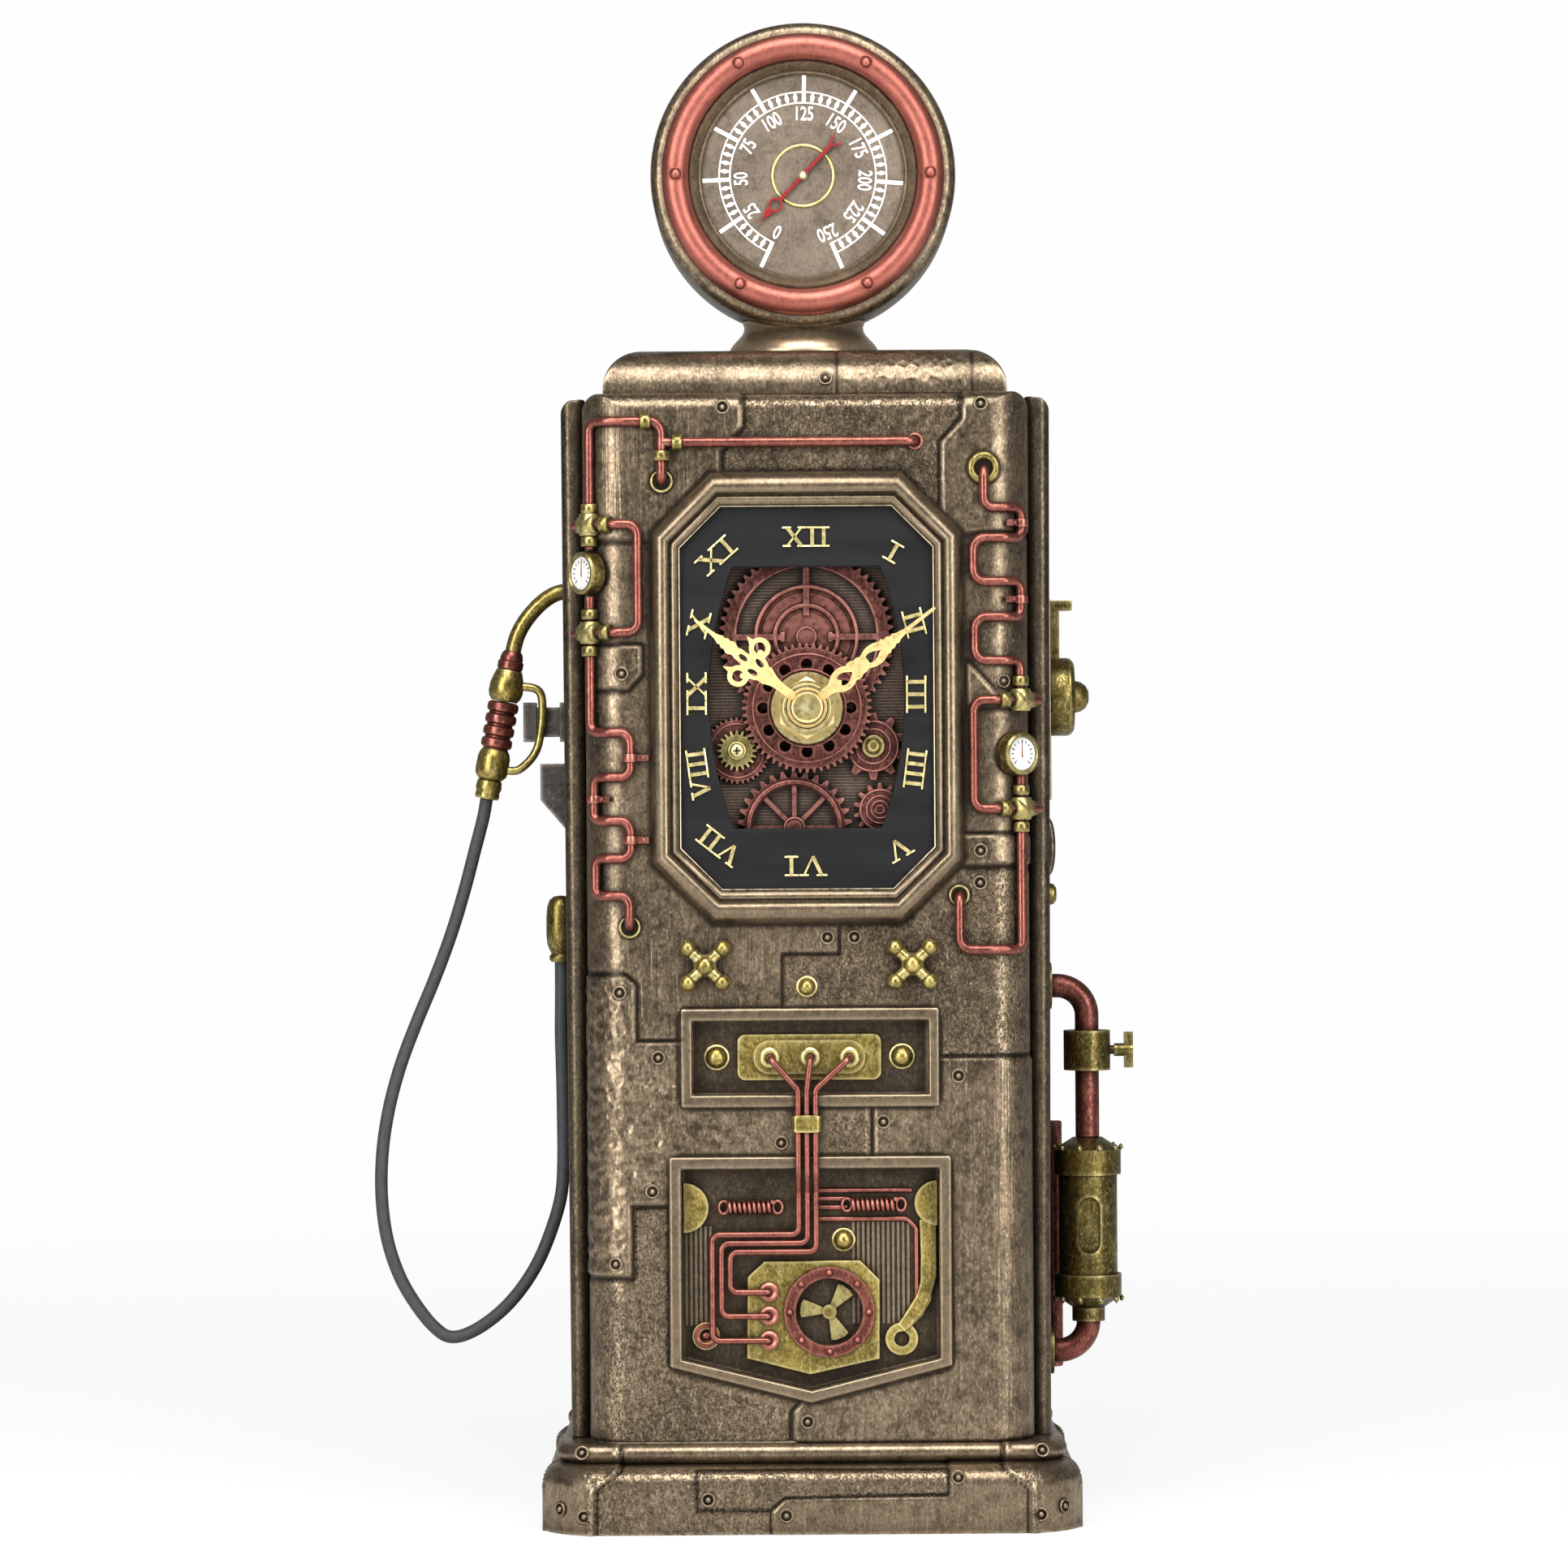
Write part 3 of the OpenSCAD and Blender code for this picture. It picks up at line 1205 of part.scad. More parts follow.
module nozzle_grip() {
    r = grip_d / 2;
    ring = grip_l / 4;
    color(copper) in_nozzle() {
        translate([0, 0, grip_z]) rotate_extrude() polygon(concat([[0, 0]],
            [for (i = [0 : 3]) each [[r - 0.6, i * ring], [r, i * ring + 0.5], [r, (i + 1) * ring - 0.5],
                [r - 0.6, (i + 1) * ring]]], [[0, grip_l]]));
        translate([0, 0, collar_z]) cylinder(h = collar_l, r = 2.6);
    }
}
module nozzle_holder() {
    post_y = side_y + 1.3;
    reach = 10;
    color(bronze) {
        translate([-body_w / 2 - reach, post_y, 156]) cube([reach, 5, 6]);
        for (x = [reach, 2.6]) translate([-body_w / 2 - x, post_y - 0.2, 155]) cube([2.6, 5.6, 8]);
        translate([-body_w / 2, side_y - 3, 0]) rotate([90, 0, 180]) translate([0, 0, -6])
            linear_extrude(6) polygon([[0, 136], [0, 150.5], [6.2, 150.5], [6.2, 143.2]]);
        on_left(side_y, spout_z) tube(1.6, spout_d / 2 + 1.6, spout_d / 2 + run + 0.02);
    }
}
module hose_gland() {
    x = -body_w / 2 - gland_x;
    color(brass) {
        translate([x, side_y, gland_z]) cylinder(h = 12, r = gland_x);
        translate([x, side_y, gland_z - hose_ends]) cylinder(h = hose_ends, r = 2);
    }
}
module hose() {
    end = nozzle_point(0);
    lead = nozzle_point(-4);
    start = [-body_w / 2 - gland_x, side_y, gland_z - hose_ends];
    color("#202022") sweep(concat([start], [for (p = [for (i = [1 : len(hose_route) - 1]) hose_route[i]])
        [p[0], side_y, p[1]]], [lead, end]), hose_d / 2, 8);
}

module lever_plate() {
    color(bronze) on_right(side_y, 0) difference() {
        translate([-9, 142.5, 0]) cube([18, 40.5, 1.8]);
        translate([0, lever_z, -1]) cylinder(h = 4, r = lever_pin / 2 + run);
    }
}
module side_lever() {
    rest = 1.9;
    color(brass) on_right(side_y, lever_z, rest) {
        translate([0, 0, -rest - 2]) cylinder(h = rest + 3, r = lever_pin / 2);
        cylinder(h = 4.2, r = drum_d / 2);
        translate([0, 0, 4.2]) dome(3);
        translate([-2, 0, 0]) cube([4, lever_l, 2]);
        translate([-2, lever_l - 2, 2]) cube([4, 2, 2.6]);
    }
}
module loop_bend(r, from) {
    rotate([0, 0, from]) rotate_extrude(angle = 90) translate([r, 0]) circle(loop_d / 2);
}
loop_bend_r = 6;
collar_low = 88;
collar_h = 8;
module loop_pipe() {
    x = body_w / 2 + loop_out;
    color(copper) {
        translate([x, loop_y, filter_top + 2.4])
            cylinder(h = loop_top - loop_bend_r - filter_top - 2.4, r = loop_d / 2);
        translate([x - loop_bend_r, loop_y, loop_top - loop_bend_r]) rotate([90, 0, 0])
            loop_bend(loop_bend_r, 0);
        translate([body_w / 2 + 1.6, loop_y, loop_top]) rotate([0, 90, 0])
            cylinder(h = loop_out - loop_bend_r - 1.6, r = loop_d / 2);
        translate([x - loop_bend_r, loop_y, loop_low + loop_bend_r]) rotate([90, 0, 0])
            loop_bend(loop_bend_r, 270);
        translate([body_w / 2 + 1.6, loop_y, loop_low]) rotate([0, 90, 0])
            cylinder(h = loop_out - loop_bend_r - 1.6, r = loop_d / 2);
        translate([body_w / 2 + 2.2, loop_y + 12, 27]) cylinder(h = 50, r = 1.9);
    }
}
module loop_filter() {
    x = body_w / 2 + loop_out;
    r = filter_d / 2;
    color(brass) translate([x, loop_y, filter_top]) difference() {
        rotate_extrude() polygon([[0, 2.4], [loop_d / 2 + 0.6, 2.4], [r + 0.8, 0], [r + 0.8, -5], [r, -5],
            [r, 4.4 - filter_h], [r + 0.8, 4.4 - filter_h], [r + 0.8, -filter_h], [3.2, -filter_h - 2.4],
            [0, -filter_h - 2.4]]);
        rotate([90, 0, 0]) translate([0, -filter_h / 2 - 0.3, r - 0.9]) linear_extrude(3) sight_slot();
    }
}
module sight_slot() {
    square([4.4, 7], center = true);
    for (s = [-1, 1]) translate([0, s * 3.5]) circle(2.2);
}
module loop_fittings() {
    x = body_w / 2 + loop_out;
    nut_top = filter_top - filter_h - 2.4;
    color(brass) {
        difference() {
            translate([x, loop_y, collar_low]) cylinder(h = collar_h, r = 4.7);
            translate([x, loop_y, collar_low - 1]) cylinder(h = collar_h + 2, r = loop_d / 2 + run);
            translate([x + loop_d / 2 + 0.5, loop_y, collar_low + collar_h / 2]) rotate([0, 90, 0])
                cylinder(h = 8, r = tap_pin / 2 + run);
        }
        translate([x, loop_y, loop_low + loop_bend_r])
            cylinder(h = nut_top - loop_low - loop_bend_r, r = 3.3);
        for (z = [loop_top, loop_low]) on_right(loop_y, z) cylinder(h = 1.6, r = 4.7);
    }
}
tap_pin = 1.8;
module loop_tap() {
    x = body_w / 2 + loop_out + loop_d / 2 + 0.7;
    color(brass) translate([x, loop_y, collar_low + collar_h / 2]) rotate([0, 90, 0]) {
        cylinder(h = 4, r = tap_pin / 2);
        translate([0, 0, 2.4]) cylinder(h = 3.8, r = 1.3);
        translate([-3.6, -0.9, 4.4]) cube([7.2, 1.8, 1.8]);
    }
}

base_plinth();
base_corner_guards();
case_shell();
left_side_panel();
right_side_panel();
back_panel();
case_screws();
roof_cap();
gauge_neck();
gauge_housing();
gauge_bezel();
gauge_dial();
clock_bezel();
dial_plate();
dial_numerals();
gear_plate();
top_gear();
centre_gear();
bottom_gear();
small_gears();
brass_pinion();
movement_case();
movement_back();
quartz_drive();
battery();
movement_fixings();
left_pipe();
right_pipe();
pipe_fittings();
mini_gauges();
panel_frames();
terminal_plate();
supply_pipes();
engine_springs();
engine_plate();
porthole_ring();
engine_brackets();
brass_studs();
nozzle_holder();
hose_gland();
hose();
lever_plate();
loop_pipe();
loop_filter();
loop_fittings();
minute_hand();
hour_hand();
hand_cap();
minute_arbor();
hour_wheel();
minute_wheel();
set_knob();
gauge_needle();
left_valve_handle();
right_valve_handle();
fan();
side_lever();
loop_tap();
nozzle_body();
nozzle_grip();
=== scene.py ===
"""Looks of a desk clock in the shape of an old petrol pump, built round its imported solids."""

import math

import bmesh
import bpy
import numpy as np
from mathutils import Matrix, Vector
from mathutils.geometry import tessellate_polygon


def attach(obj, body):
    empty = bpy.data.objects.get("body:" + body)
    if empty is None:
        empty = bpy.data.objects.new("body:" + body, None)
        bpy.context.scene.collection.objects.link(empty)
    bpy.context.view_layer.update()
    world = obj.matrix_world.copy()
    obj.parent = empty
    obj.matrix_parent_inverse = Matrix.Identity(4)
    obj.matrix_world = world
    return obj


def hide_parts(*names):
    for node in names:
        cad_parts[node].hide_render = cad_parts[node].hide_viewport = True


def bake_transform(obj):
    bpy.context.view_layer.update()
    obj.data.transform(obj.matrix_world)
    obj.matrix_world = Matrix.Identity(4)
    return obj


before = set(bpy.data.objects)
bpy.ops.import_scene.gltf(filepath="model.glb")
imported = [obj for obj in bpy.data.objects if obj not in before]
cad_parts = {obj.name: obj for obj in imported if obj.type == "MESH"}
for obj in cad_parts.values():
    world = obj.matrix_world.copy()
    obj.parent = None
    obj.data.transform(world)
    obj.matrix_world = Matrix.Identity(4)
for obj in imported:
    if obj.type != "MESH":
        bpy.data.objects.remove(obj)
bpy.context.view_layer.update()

bl_info = {
    "name": "Petrol-pump desk clock",
    "version": (1, 0, 0),
    "blender": (4, 5, 0),
    "location": "View3D > Sidebar > Clock",
    "description": "Dresses the clock's solids with cast bronze, copper pipes, dials and hands",
    "category": "Object",
}

# Places of the solids, in millimetres; the front faces -Y
MM = 0.001
FRONT_Y = -36.0
FRONT_W = 87.0
FRONT_R = 8.0
BODY_W = 95.0
BODY_D = 72.0
BASE_TOP = 17.0
BODY_TOP = 222.5
TOP_R = 3.0
ROOF_W = 79.5
ROOF_D = 60.0
ROOF_H = 9.5
ROOF_R = 8.0
ROOF_TOP = 232.0
HEAD_Z = 267.8
HEAD_FRONT = -15.0
CLOCK_Z = 163.0
SHAFT_Z = 161.0
TERMINAL_Z = 92.5
VALVE_Z = 110.7
ENGINE_Z = 73.4
SIDE_Y = 4.0
NOZZLE_LEAN = math.radians(10.5)
NOZZLE_FOOT = (-65.0, 143.5)
HOSE_R = 1.3
BASE_W = 104.5
BASE_D = 87.0
BASE_CUT = 9.0
BASE_SHOULDER = 9.4
BASE_CROWN = 3.6
BEAD_R = 2.0
BEZEL_W = 61.2
BEZEL_H = 88.6
BEZEL_CUT = 12.0
HEAD_R = 30.5
HEAD_D = 30.0
HEAD_ROUND = 7.0
GAUGE_MARKS = 11
GAUGE_START = 204.9
GAUGE_STEP = 31.23
GAUGE_FACE = -2.5
SCALE_IN = 14.6
SCALE_OUT = 16.75
GEAR_BACK = -6.0
GEAR_FACE = -4.5
BAY_DEPTH = 3.5
BOX_DEPTH = 2.5
PIPE_R = 1.0
PIPE_BEND = 2.4
LEVER_Z = 163.4
FILTER = (56.2, -2.0)
CAMERA_SPOT = (-0.0046, -1.136, 0.1461)
CAMERA_ROLL = math.radians(-0.39)
CAMERA_LENS = 128.9

# Turn that stands a flat drawing up, facing the viewer
UPRIGHT = Matrix.Rotation(math.pi / 2, 4, "X")
# Edges sharper than this are rounded
EDGE_ANGLE = math.radians(35)


def colour_setting(name, description, default):
    return bpy.props.FloatVectorProperty(name=name, description=description, subtype="COLOR", default=default)


def size_setting(name, description, default, **limits):
    return bpy.props.FloatProperty(name=name, description=description, default=default, **limits)


class ClockLooks(bpy.types.PropertyGroup):
    """Colours and sizes that a user may change."""

    bronze: colour_setting("Bronze", "Cast bronze of the casing", (0.245, 0.182, 0.118))
    # Dark of the hollows: partly the cast's dark wash, partly painted shade
    bronze_dark: colour_setting("Bronze hollows", "Dark wash in the hollows", (0.022, 0.016, 0.011))
    bronze_worn: colour_setting("Bronze edges", "Rubbed edges of the bronze", (0.56, 0.46, 0.31))
    copper: colour_setting("Copper", "Red copper of the pipes", (0.27, 0.085, 0.064))
    copper_worn: colour_setting("Copper edges", "Rubbed edges of the copper", (0.62, 0.25, 0.19))
    brass: colour_setting("Brass", "Old brass of the fittings", (0.40, 0.30, 0.075))
    brass_worn: colour_setting("Brass edges", "Rubbed edges of the brass", (0.80, 0.68, 0.30))
    gold: colour_setting("Hands", "Polished gold of the hands", (0.88, 0.63, 0.22))
    dial: colour_setting("Dial", "Black of the clock's dial", (0.0048, 0.0048, 0.0053))
    hose: colour_setting("Hose", "Grey rubber of the hose", (0.034, 0.036, 0.038))
    plate_rise: size_setting("Plate rise", "Height of the cast plates on the front", 0.34, min=0.1, max=0.4)
    seam_depth: size_setting("Seam depth", "Depth of the seams between the plates", 0.28, min=0.05, max=0.4)
    skin_step: size_setting("Skin step", "Spacing of the front skin's points, in millimetres", 0.48, min=0.4)
    screw_radius: size_setting("Screw radius", "Radius of the screw heads, in millimetres", 0.62, min=0.3,
                               max=1.0)


# Frames of reference: local x to the right, y up and z toward the viewer of that face
def on_front(x, z, lift=0.0):
    return Matrix.Translation((x, FRONT_Y - lift, z)) @ UPRIGHT


def on_head(lift=0.0):
    return Matrix.Translation((0, HEAD_FRONT - lift, HEAD_Z)) @ UPRIGHT


def clockwise(degrees):
    return Matrix.Rotation(-math.radians(degrees), 4, "Z")


def skin_y(inset, off):
    return FRONT_Y + FRONT_R - math.sqrt((FRONT_R + off) ** 2 - max(0.0, FRONT_R - inset) ** 2)


def on_skin(side, inset, dz, off=1.4):
    return (side * (FRONT_W / 2 - inset), skin_y(inset, off), CLOCK_Z + dz)


def skin_normal(x):
    over = max(0.0, abs(x) - (FRONT_W / 2 - FRONT_R)) / FRONT_R
    over = min(over, 1.0)
    return Vector((math.copysign(over, x), -math.sqrt(1 - over * over), 0))


def nozzle_point(along, out=0.0):
    s, c = math.sin(NOZZLE_LEAN), math.cos(NOZZLE_LEAN)
    return (NOZZLE_FOOT[0] + along * s + out * c, SIDE_Y, NOZZLE_FOOT[1] + along * c - out * s)


BEND_STEPS = 7


def rounded(path, bend):
    """A path with its corners turned into arcs."""
    path = [Vector(p) for p in path]
    result = [path[0]]
    for before, here, after in zip(path, path[1:], path[2:]):
        u = (here - before).normalized()
        v = (after - here).normalized()
        half = u.angle(v) / 2
        if half < 0.03:
            result.append(here)
            continue
        reach = min(bend * math.tan(half), 0.48 * min((here - before).length, (after - here).length))
        radius = reach / math.tan(half)
        w = (v - u * u.dot(v)).normalized()
        middle = here - u * reach + w * radius
        for k in range(BEND_STEPS + 1):
            a = 2 * half * k / BEND_STEPS
            result.append(middle + radius * (u * math.sin(a) - w * math.cos(a)))
    result.append(path[-1])
    return result


def smooth_line(points, per_span):
    """A curve through points, flat or in space."""
    points = [Vector(p) for p in points]
    last = len(points) - 1
    result = []
    for i in range(last):
        a, b, c, d = points[max(i - 1, 0)], points[i], points[i + 1], points[min(i + 2, last)]
        for k in range(per_span):
            t = k / per_span
            bent = (2 * a - 5 * b + 4 * c - d) * t * t + (3 * b - a - 3 * c + d) * t * t * t
            result.append(0.5 * (2 * b + (c - a) * t + bent))
    result.append(points[-1])
    return result


def mirrored(half):
    return list(half) + [(-x, y) for x, y in reversed(half)]


def full_turn(steps):
    return [2 * math.pi * k / steps for k in range(steps)]


def circle(x, y, r, steps=20):
    return [(x + r * math.cos(a), y + r * math.sin(a)) for a in full_turn(steps)]


def oval(x, y, rx, ry, turn=0.0):
    c, s = math.cos(turn), math.sin(turn)
    ring = [(rx * math.cos(a), ry * math.sin(a)) for a in full_turn(18)]
    return [(x + u * c - v * s, y + u * s + v * c) for u, v in ring]


def octagon(w, h, c):
    half = [(w / 2 - c, h / 2), (w / 2, h / 2 - c), (w / 2, c - h / 2), (w / 2 - c, -h / 2)]
    return mirrored(half)


def band_faces(rows, size, loop=False):
    """Faces between rings of points in a row; the ends are joined by a loop or else closed."""
    faces = []
    for r in range(rows if loop else rows - 1):
        here, there = r * size, (r + 1) % rows * size
        for k in range(size):
            n = (k + 1) % size
            faces.append((here + k, here + n, there + n, there + k))
    if not loop:
        faces.append(tuple(range(size - 1, -1, -1)))
        faces.append(tuple((rows - 1) * size + k for k in range(size)))
    return faces


def grid_faces(shape):
    """Numbers of a grid's points and the faces between them."""
    index = np.arange(shape[0] * shape[1]).reshape(shape)
    corners = [index[:-1, :-1], index[:-1, 1:], index[1:, 1:], index[1:, :-1]]
    return index, np.stack(corners, -1).reshape(-1, 4)


# Depth, weight and width of the gauge's figures
FIGURE_RELIEF = 0.03
FIGURE_WEIGHT = 0.012
FIGURE_NARROW = 0.7


class Form:
    """Points and faces of one piece, in millimetres."""

    def __init__(self):
        self.points = []
        self.faces = []

    def add(self, points, faces, place=None):
        start = len(self.points)
        for p in points:
            spot = Vector(p)
            self.points.append(place @ spot if place else spot)
        self.faces.extend([tuple(i + start for i in face) for face in faces])
        return self

    def lathe(self, profile, place=None, steps=32, loop=False):
        points, rows = [], []
        for r, h in profile:
            if r < 1e-6:
                rows.append([len(points)])
                points.append((0, 0, h))
                continue
            rows.append([len(points) + k for k in range(steps)])
            points += [(r * math.cos(a), r * math.sin(a), h) for a in full_turn(steps)]
        faces = []
        pairs = list(zip(rows, rows[1:]))
        if loop:
            pairs.append((rows[-1], rows[0]))
        for a, b in pairs:
            for k in range(steps):
                n = (k + 1) % steps
                if len(a) == 1 and len(b) > 1:
                    faces.append((a[0], b[n], b[k]))
                elif len(b) == 1 and len(a) > 1:
                    faces.append((a[k], a[n], b[0]))
                elif len(a) > 1:
                    faces.append((a[k], a[n], b[n], b[k]))
        return self.add(points, faces, place)

    def tube(self, path, radius, sides, place=None):
        path = [Vector(p) for p in path]
        points, last = [], len(path) - 1
        side = None
        for i, spot in enumerate(path):
            ahead = (path[min(i + 1, last)] - path[max(i - 1, 0)]).normalized()
            if side is None:
                side = ahead.cross((0, 1, 0) if abs(ahead.y) < 0.8 else (0, 0, 1))
            side = (side - ahead * side.dot(ahead)).normalized()
            other = ahead.cross(side)
            points += [spot + radius * (side * math.cos(a) + other * math.sin(a)) for a in full_turn(sides)]
        return self.add(points, band_faces(len(path), sides), place)

    def slab(self, outline, low, high, place=None, holes=()):
        loops = [[Vector((p[0], p[1], 0)) for p in ring] for ring in [outline, *holes]]
        flat = [p for ring in loops for p in ring]
        count = len(flat)
        points = [(p.x, p.y, low) for p in flat] + [(p.x, p.y, high) for p in flat]
        faces = []
        for tri in tessellate_polygon(loops):
            faces.append(tuple(tri))
            faces.append(tuple(i + count for i in reversed(tri)))
        start = 0
        for ring in loops:
            size = len(ring)
            for k in range(size):
                a, b = start + k, start + (k + 1) % size
                faces.append((a, b, b + count, a + count))
            start += size
        return self.add(points, faces, place)

    def ball(self, r, place=None, squash=1.0, low=-90, steps=20, rings=10):
        spread = [math.radians(low + (90 - low) * k / rings) for k in range(rings + 1)]
        profile = [(max(0.0, r * math.cos(a)), r * squash * math.sin(a)) for a in spread]
        profile[-1] = (0, r * squash)
        if low > -90:
            profile.insert(0, (0, profile[0][1]))
        else:
            profile[0] = (0, -r * squash)
        return self.lathe(profile, place, steps)

    def words(self, text, size, place):
        curve = bpy.data.curves.new("dial_number", "FONT")
        curve.body = text
        curve.size = size
        curve.align_x = "CENTER"
        curve.align_y = "CENTER"
        curve.extrude = FIGURE_RELIEF
        curve.offset = FIGURE_WEIGHT * size
        holder = bpy.data.objects.new("dial_number", curve)
        bpy.context.scene.collection.objects.link(holder)
        graph = bpy.context.evaluated_depsgraph_get()
        shape = bpy.data.meshes.new_from_object(holder.evaluated_get(graph))
        squeeze = Matrix.Diagonal((FIGURE_NARROW, 1, 1, 1))
        faces = [tuple(f.vertices) for f in shape.polygons]
        self.add([v.co for v in shape.vertices], faces, place @ squeeze)
        bpy.data.objects.remove(holder)
        bpy.data.meshes.remove(shape)
        return self


def stroke(form, a, b, width, low, high, place):
    """A straight bar from one point to another."""
    a, b = Vector(a), Vector(b)
    ahead = (b - a).normalized() * (width / 2)
    side = Vector((-ahead.y, ahead.x))
    form.slab([a + side, a - side, b - side, b + side], low, high, place)


def teeth(count, tip, root, first=0, last=None):
    """Outline of a gear, clockwise from the top, or of a run of its teeth."""
    ring = []
    for k in range(first, count if last is None else last):
        for part, r in ((-0.32, root), (-0.12, tip), (0.12, tip), (0.32, root)):
            a = 2 * math.pi * (k + part) / count
            ring.append((r * math.sin(a), r * math.cos(a)))
    return ring


def new_object(name, points, faces):
    mesh = bpy.data.meshes.new(name)
    mesh.from_pydata([tuple(c * MM for c in p) for p in points], [], faces)
    obj = bpy.data.objects.new(name, mesh)
    bpy.context.scene.collection.objects.link(obj)
    return obj


def settle(obj):
    """Turns live modifiers into a plain mesh."""
    graph = bpy.context.evaluated_depsgraph_get()
    mesh = bpy.data.meshes.new_from_object(obj.evaluated_get(graph), depsgraph=graph)
    obj.modifiers.clear()
    obj.data = mesh
    mesh.name = obj.name
    return obj


def soften(obj, width):
    """Rounds the sharp edges."""
    bevel = obj.modifiers.new("edge", "BEVEL")
    bevel.width = width * MM
    bevel.segments = 2
    bevel.limit_method = "ANGLE"
    bevel.angle_limit = EDGE_ANGLE
    obj.data.shade_smooth()
    even = obj.modifiers.new("even", "WEIGHTED_NORMAL")
    even.keep_sharp = False
    even.weight = 80
    return settle(obj)


def carry(obj, finish, body="casing", stands_for=()):
    obj.data.materials.clear()
    obj.data.materials.append(FINISH[finish])
    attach(obj, body)
    if stands_for:
        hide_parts(*stands_for)
    return obj


def piece(form, name, finish, body="casing", stands_for=(), edge=0.0, angle=38):
    """Makes a form into a finished piece on its body."""
    obj = new_object(name, form.points, form.faces)
    work = bmesh.new()
    work.from_mesh(obj.data)
    bmesh.ops.remove_doubles(work, verts=work.verts, dist=1e-7)
    bmesh.ops.recalc_face_normals(work, faces=work.faces)
    work.to_mesh(obj.data)
    work.free()
    if edge:
        soften(obj, edge)
    else:
        obj.data.shade_smooth()
        obj.data.set_sharp_from_angle(angle=math.radians(angle))
    return carry(obj, finish, body, stands_for)


def eased(node, finish, body="casing", *, edge):
    """A solid with its edges rounded, in place of the node."""
    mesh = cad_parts[node].data.copy()
    work = bmesh.new()
    work.from_mesh(mesh)
    bmesh.ops.remove_doubles(work, verts=work.verts, dist=2e-6)
    bmesh.ops.dissolve_limit(work, angle_limit=math.radians(0.8), verts=work.verts, edges=work.edges)
    work.to_mesh(mesh)
    work.free()
    obj = bpy.data.objects.new(node + "_finish", mesh)
    bpy.context.scene.collection.objects.link(obj)
    soften(obj, edge)
    return carry(obj, finish, body, (node,))


def coat(node, finish):
    """Gives its finish to a solid that is shown as it is."""
    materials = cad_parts[node].data.materials
    materials.clear()
    materials.append(FINISH[finish])


def field(obj, name, values):
    """Keeps a number or a vector for each point of a piece."""
    vector = np.ndim(values) == 2
    layer = obj.data.attributes.new(name, "FLOAT_VECTOR" if vector else "FLOAT", "POINT")
    layer.data.foreach_set("vector" if vector else "value", np.asarray(values, np.float32).ravel())


# Geometry node trees for what repeats
def tree_with(name, sockets):
    tree = bpy.data.node_groups.new(name, "GeometryNodeTree")
    tree.interface.new_socket("Geometry", in_out="INPUT", socket_type="NodeSocketGeometry")
    for label, kind, value in sockets:
        socket = tree.interface.new_socket(label, in_out="INPUT", socket_type=kind)
        if value is not None:
            socket.default_value = value
    tree.interface.new_socket("Geometry", in_out="OUTPUT", socket_type="NodeSocketGeometry")
    return tree


def add_node(tree, kind, inputs=None, **settings):
    """A new node with its settings, and its inputs set or linked."""
    node = tree.nodes.new(kind)
    for key, value in settings.items():
        setattr(node, key, value)
    for label, value in (inputs or {}).items():
        if isinstance(value, bpy.types.NodeSocket):
            tree.links.new(value, node.inputs[label])
        else:
            node.inputs[label].default_value = value
    return node


def read_field(tree, name, kind):
    return add_node(tree, "GeometryNodeInputNamedAttribute", {"Name": name},
                    data_type=kind).outputs["Attribute"]


def close_tree(tree, shape, source, rotation, scale):
    """Puts a shape on the points, makes it plain mesh and gives it its finish."""
    spread = add_node(tree, "GeometryNodeInstanceOnPoints", {"Points": source["Geometry"], "Instance": shape,
                                                             "Rotation": rotation, "Scale": scale})
    plain = add_node(tree, "GeometryNodeRealizeInstances", {"Geometry": spread.outputs["Instances"]})
    paint = add_node(tree, "GeometryNodeSetMaterial", {"Geometry": plain.outputs["Geometry"],
                                                       "Material": source["Material"]})
    add_node(tree, "NodeGroupOutput", {"Geometry": paint.outputs["Geometry"]})


def stud_tree():
    """Round heads on points, each with a sunk ring round it if wanted."""
    tree = tree_with("round_heads", [("Dome", "NodeSocketFloat", 0.7), ("Ring", "NodeSocketFloat", 1.55),
                                     ("Ring wire", "NodeSocketFloat", 0.2),
                                     ("Material", "NodeSocketMaterial", None)])
    source = add_node(tree, "NodeGroupInput").outputs
    head = add_node(tree, "GeometryNodeMeshUVSphere", {"Segments": 14, "Rings": 8})
    flat = add_node(tree, "ShaderNodeCombineXYZ", {"X": 1, "Y": 1, "Z": source["Dome"]})
    pressed = add_node(tree, "GeometryNodeTransform", {"Geometry": head.outputs["Mesh"],
                                                       "Scale": flat.outputs["Vector"]})
    hoop = add_node(tree, "GeometryNodeCurvePrimitiveCircle", {"Resolution": 20, "Radius": source["Ring"]})
    wire = add_node(tree, "GeometryNodeCurvePrimitiveCircle",
                    {"Resolution": 8, "Radius": source["Ring wire"]})
    ring = add_node(tree, "GeometryNodeCurveToMesh", {"Curve": hoop.outputs["Curve"],
                                                      "Profile Curve": wire.outputs["Curve"]})
    both = add_node(tree, "GeometryNodeJoinGeometry", {"Geometry": pressed.outputs["Geometry"]})
    tree.links.new(ring.outputs["Mesh"], both.inputs["Geometry"])
    facing = read_field(tree, "facing", "FLOAT_VECTOR")
    face = add_node(tree, "FunctionNodeAlignRotationToVector", {"Vector": facing}, axis="Z")
    size = read_field(tree, "size", "FLOAT")
    close_tree(tree, both.outputs["Geometry"], source, face.outputs["Rotation"], size)
    return tree


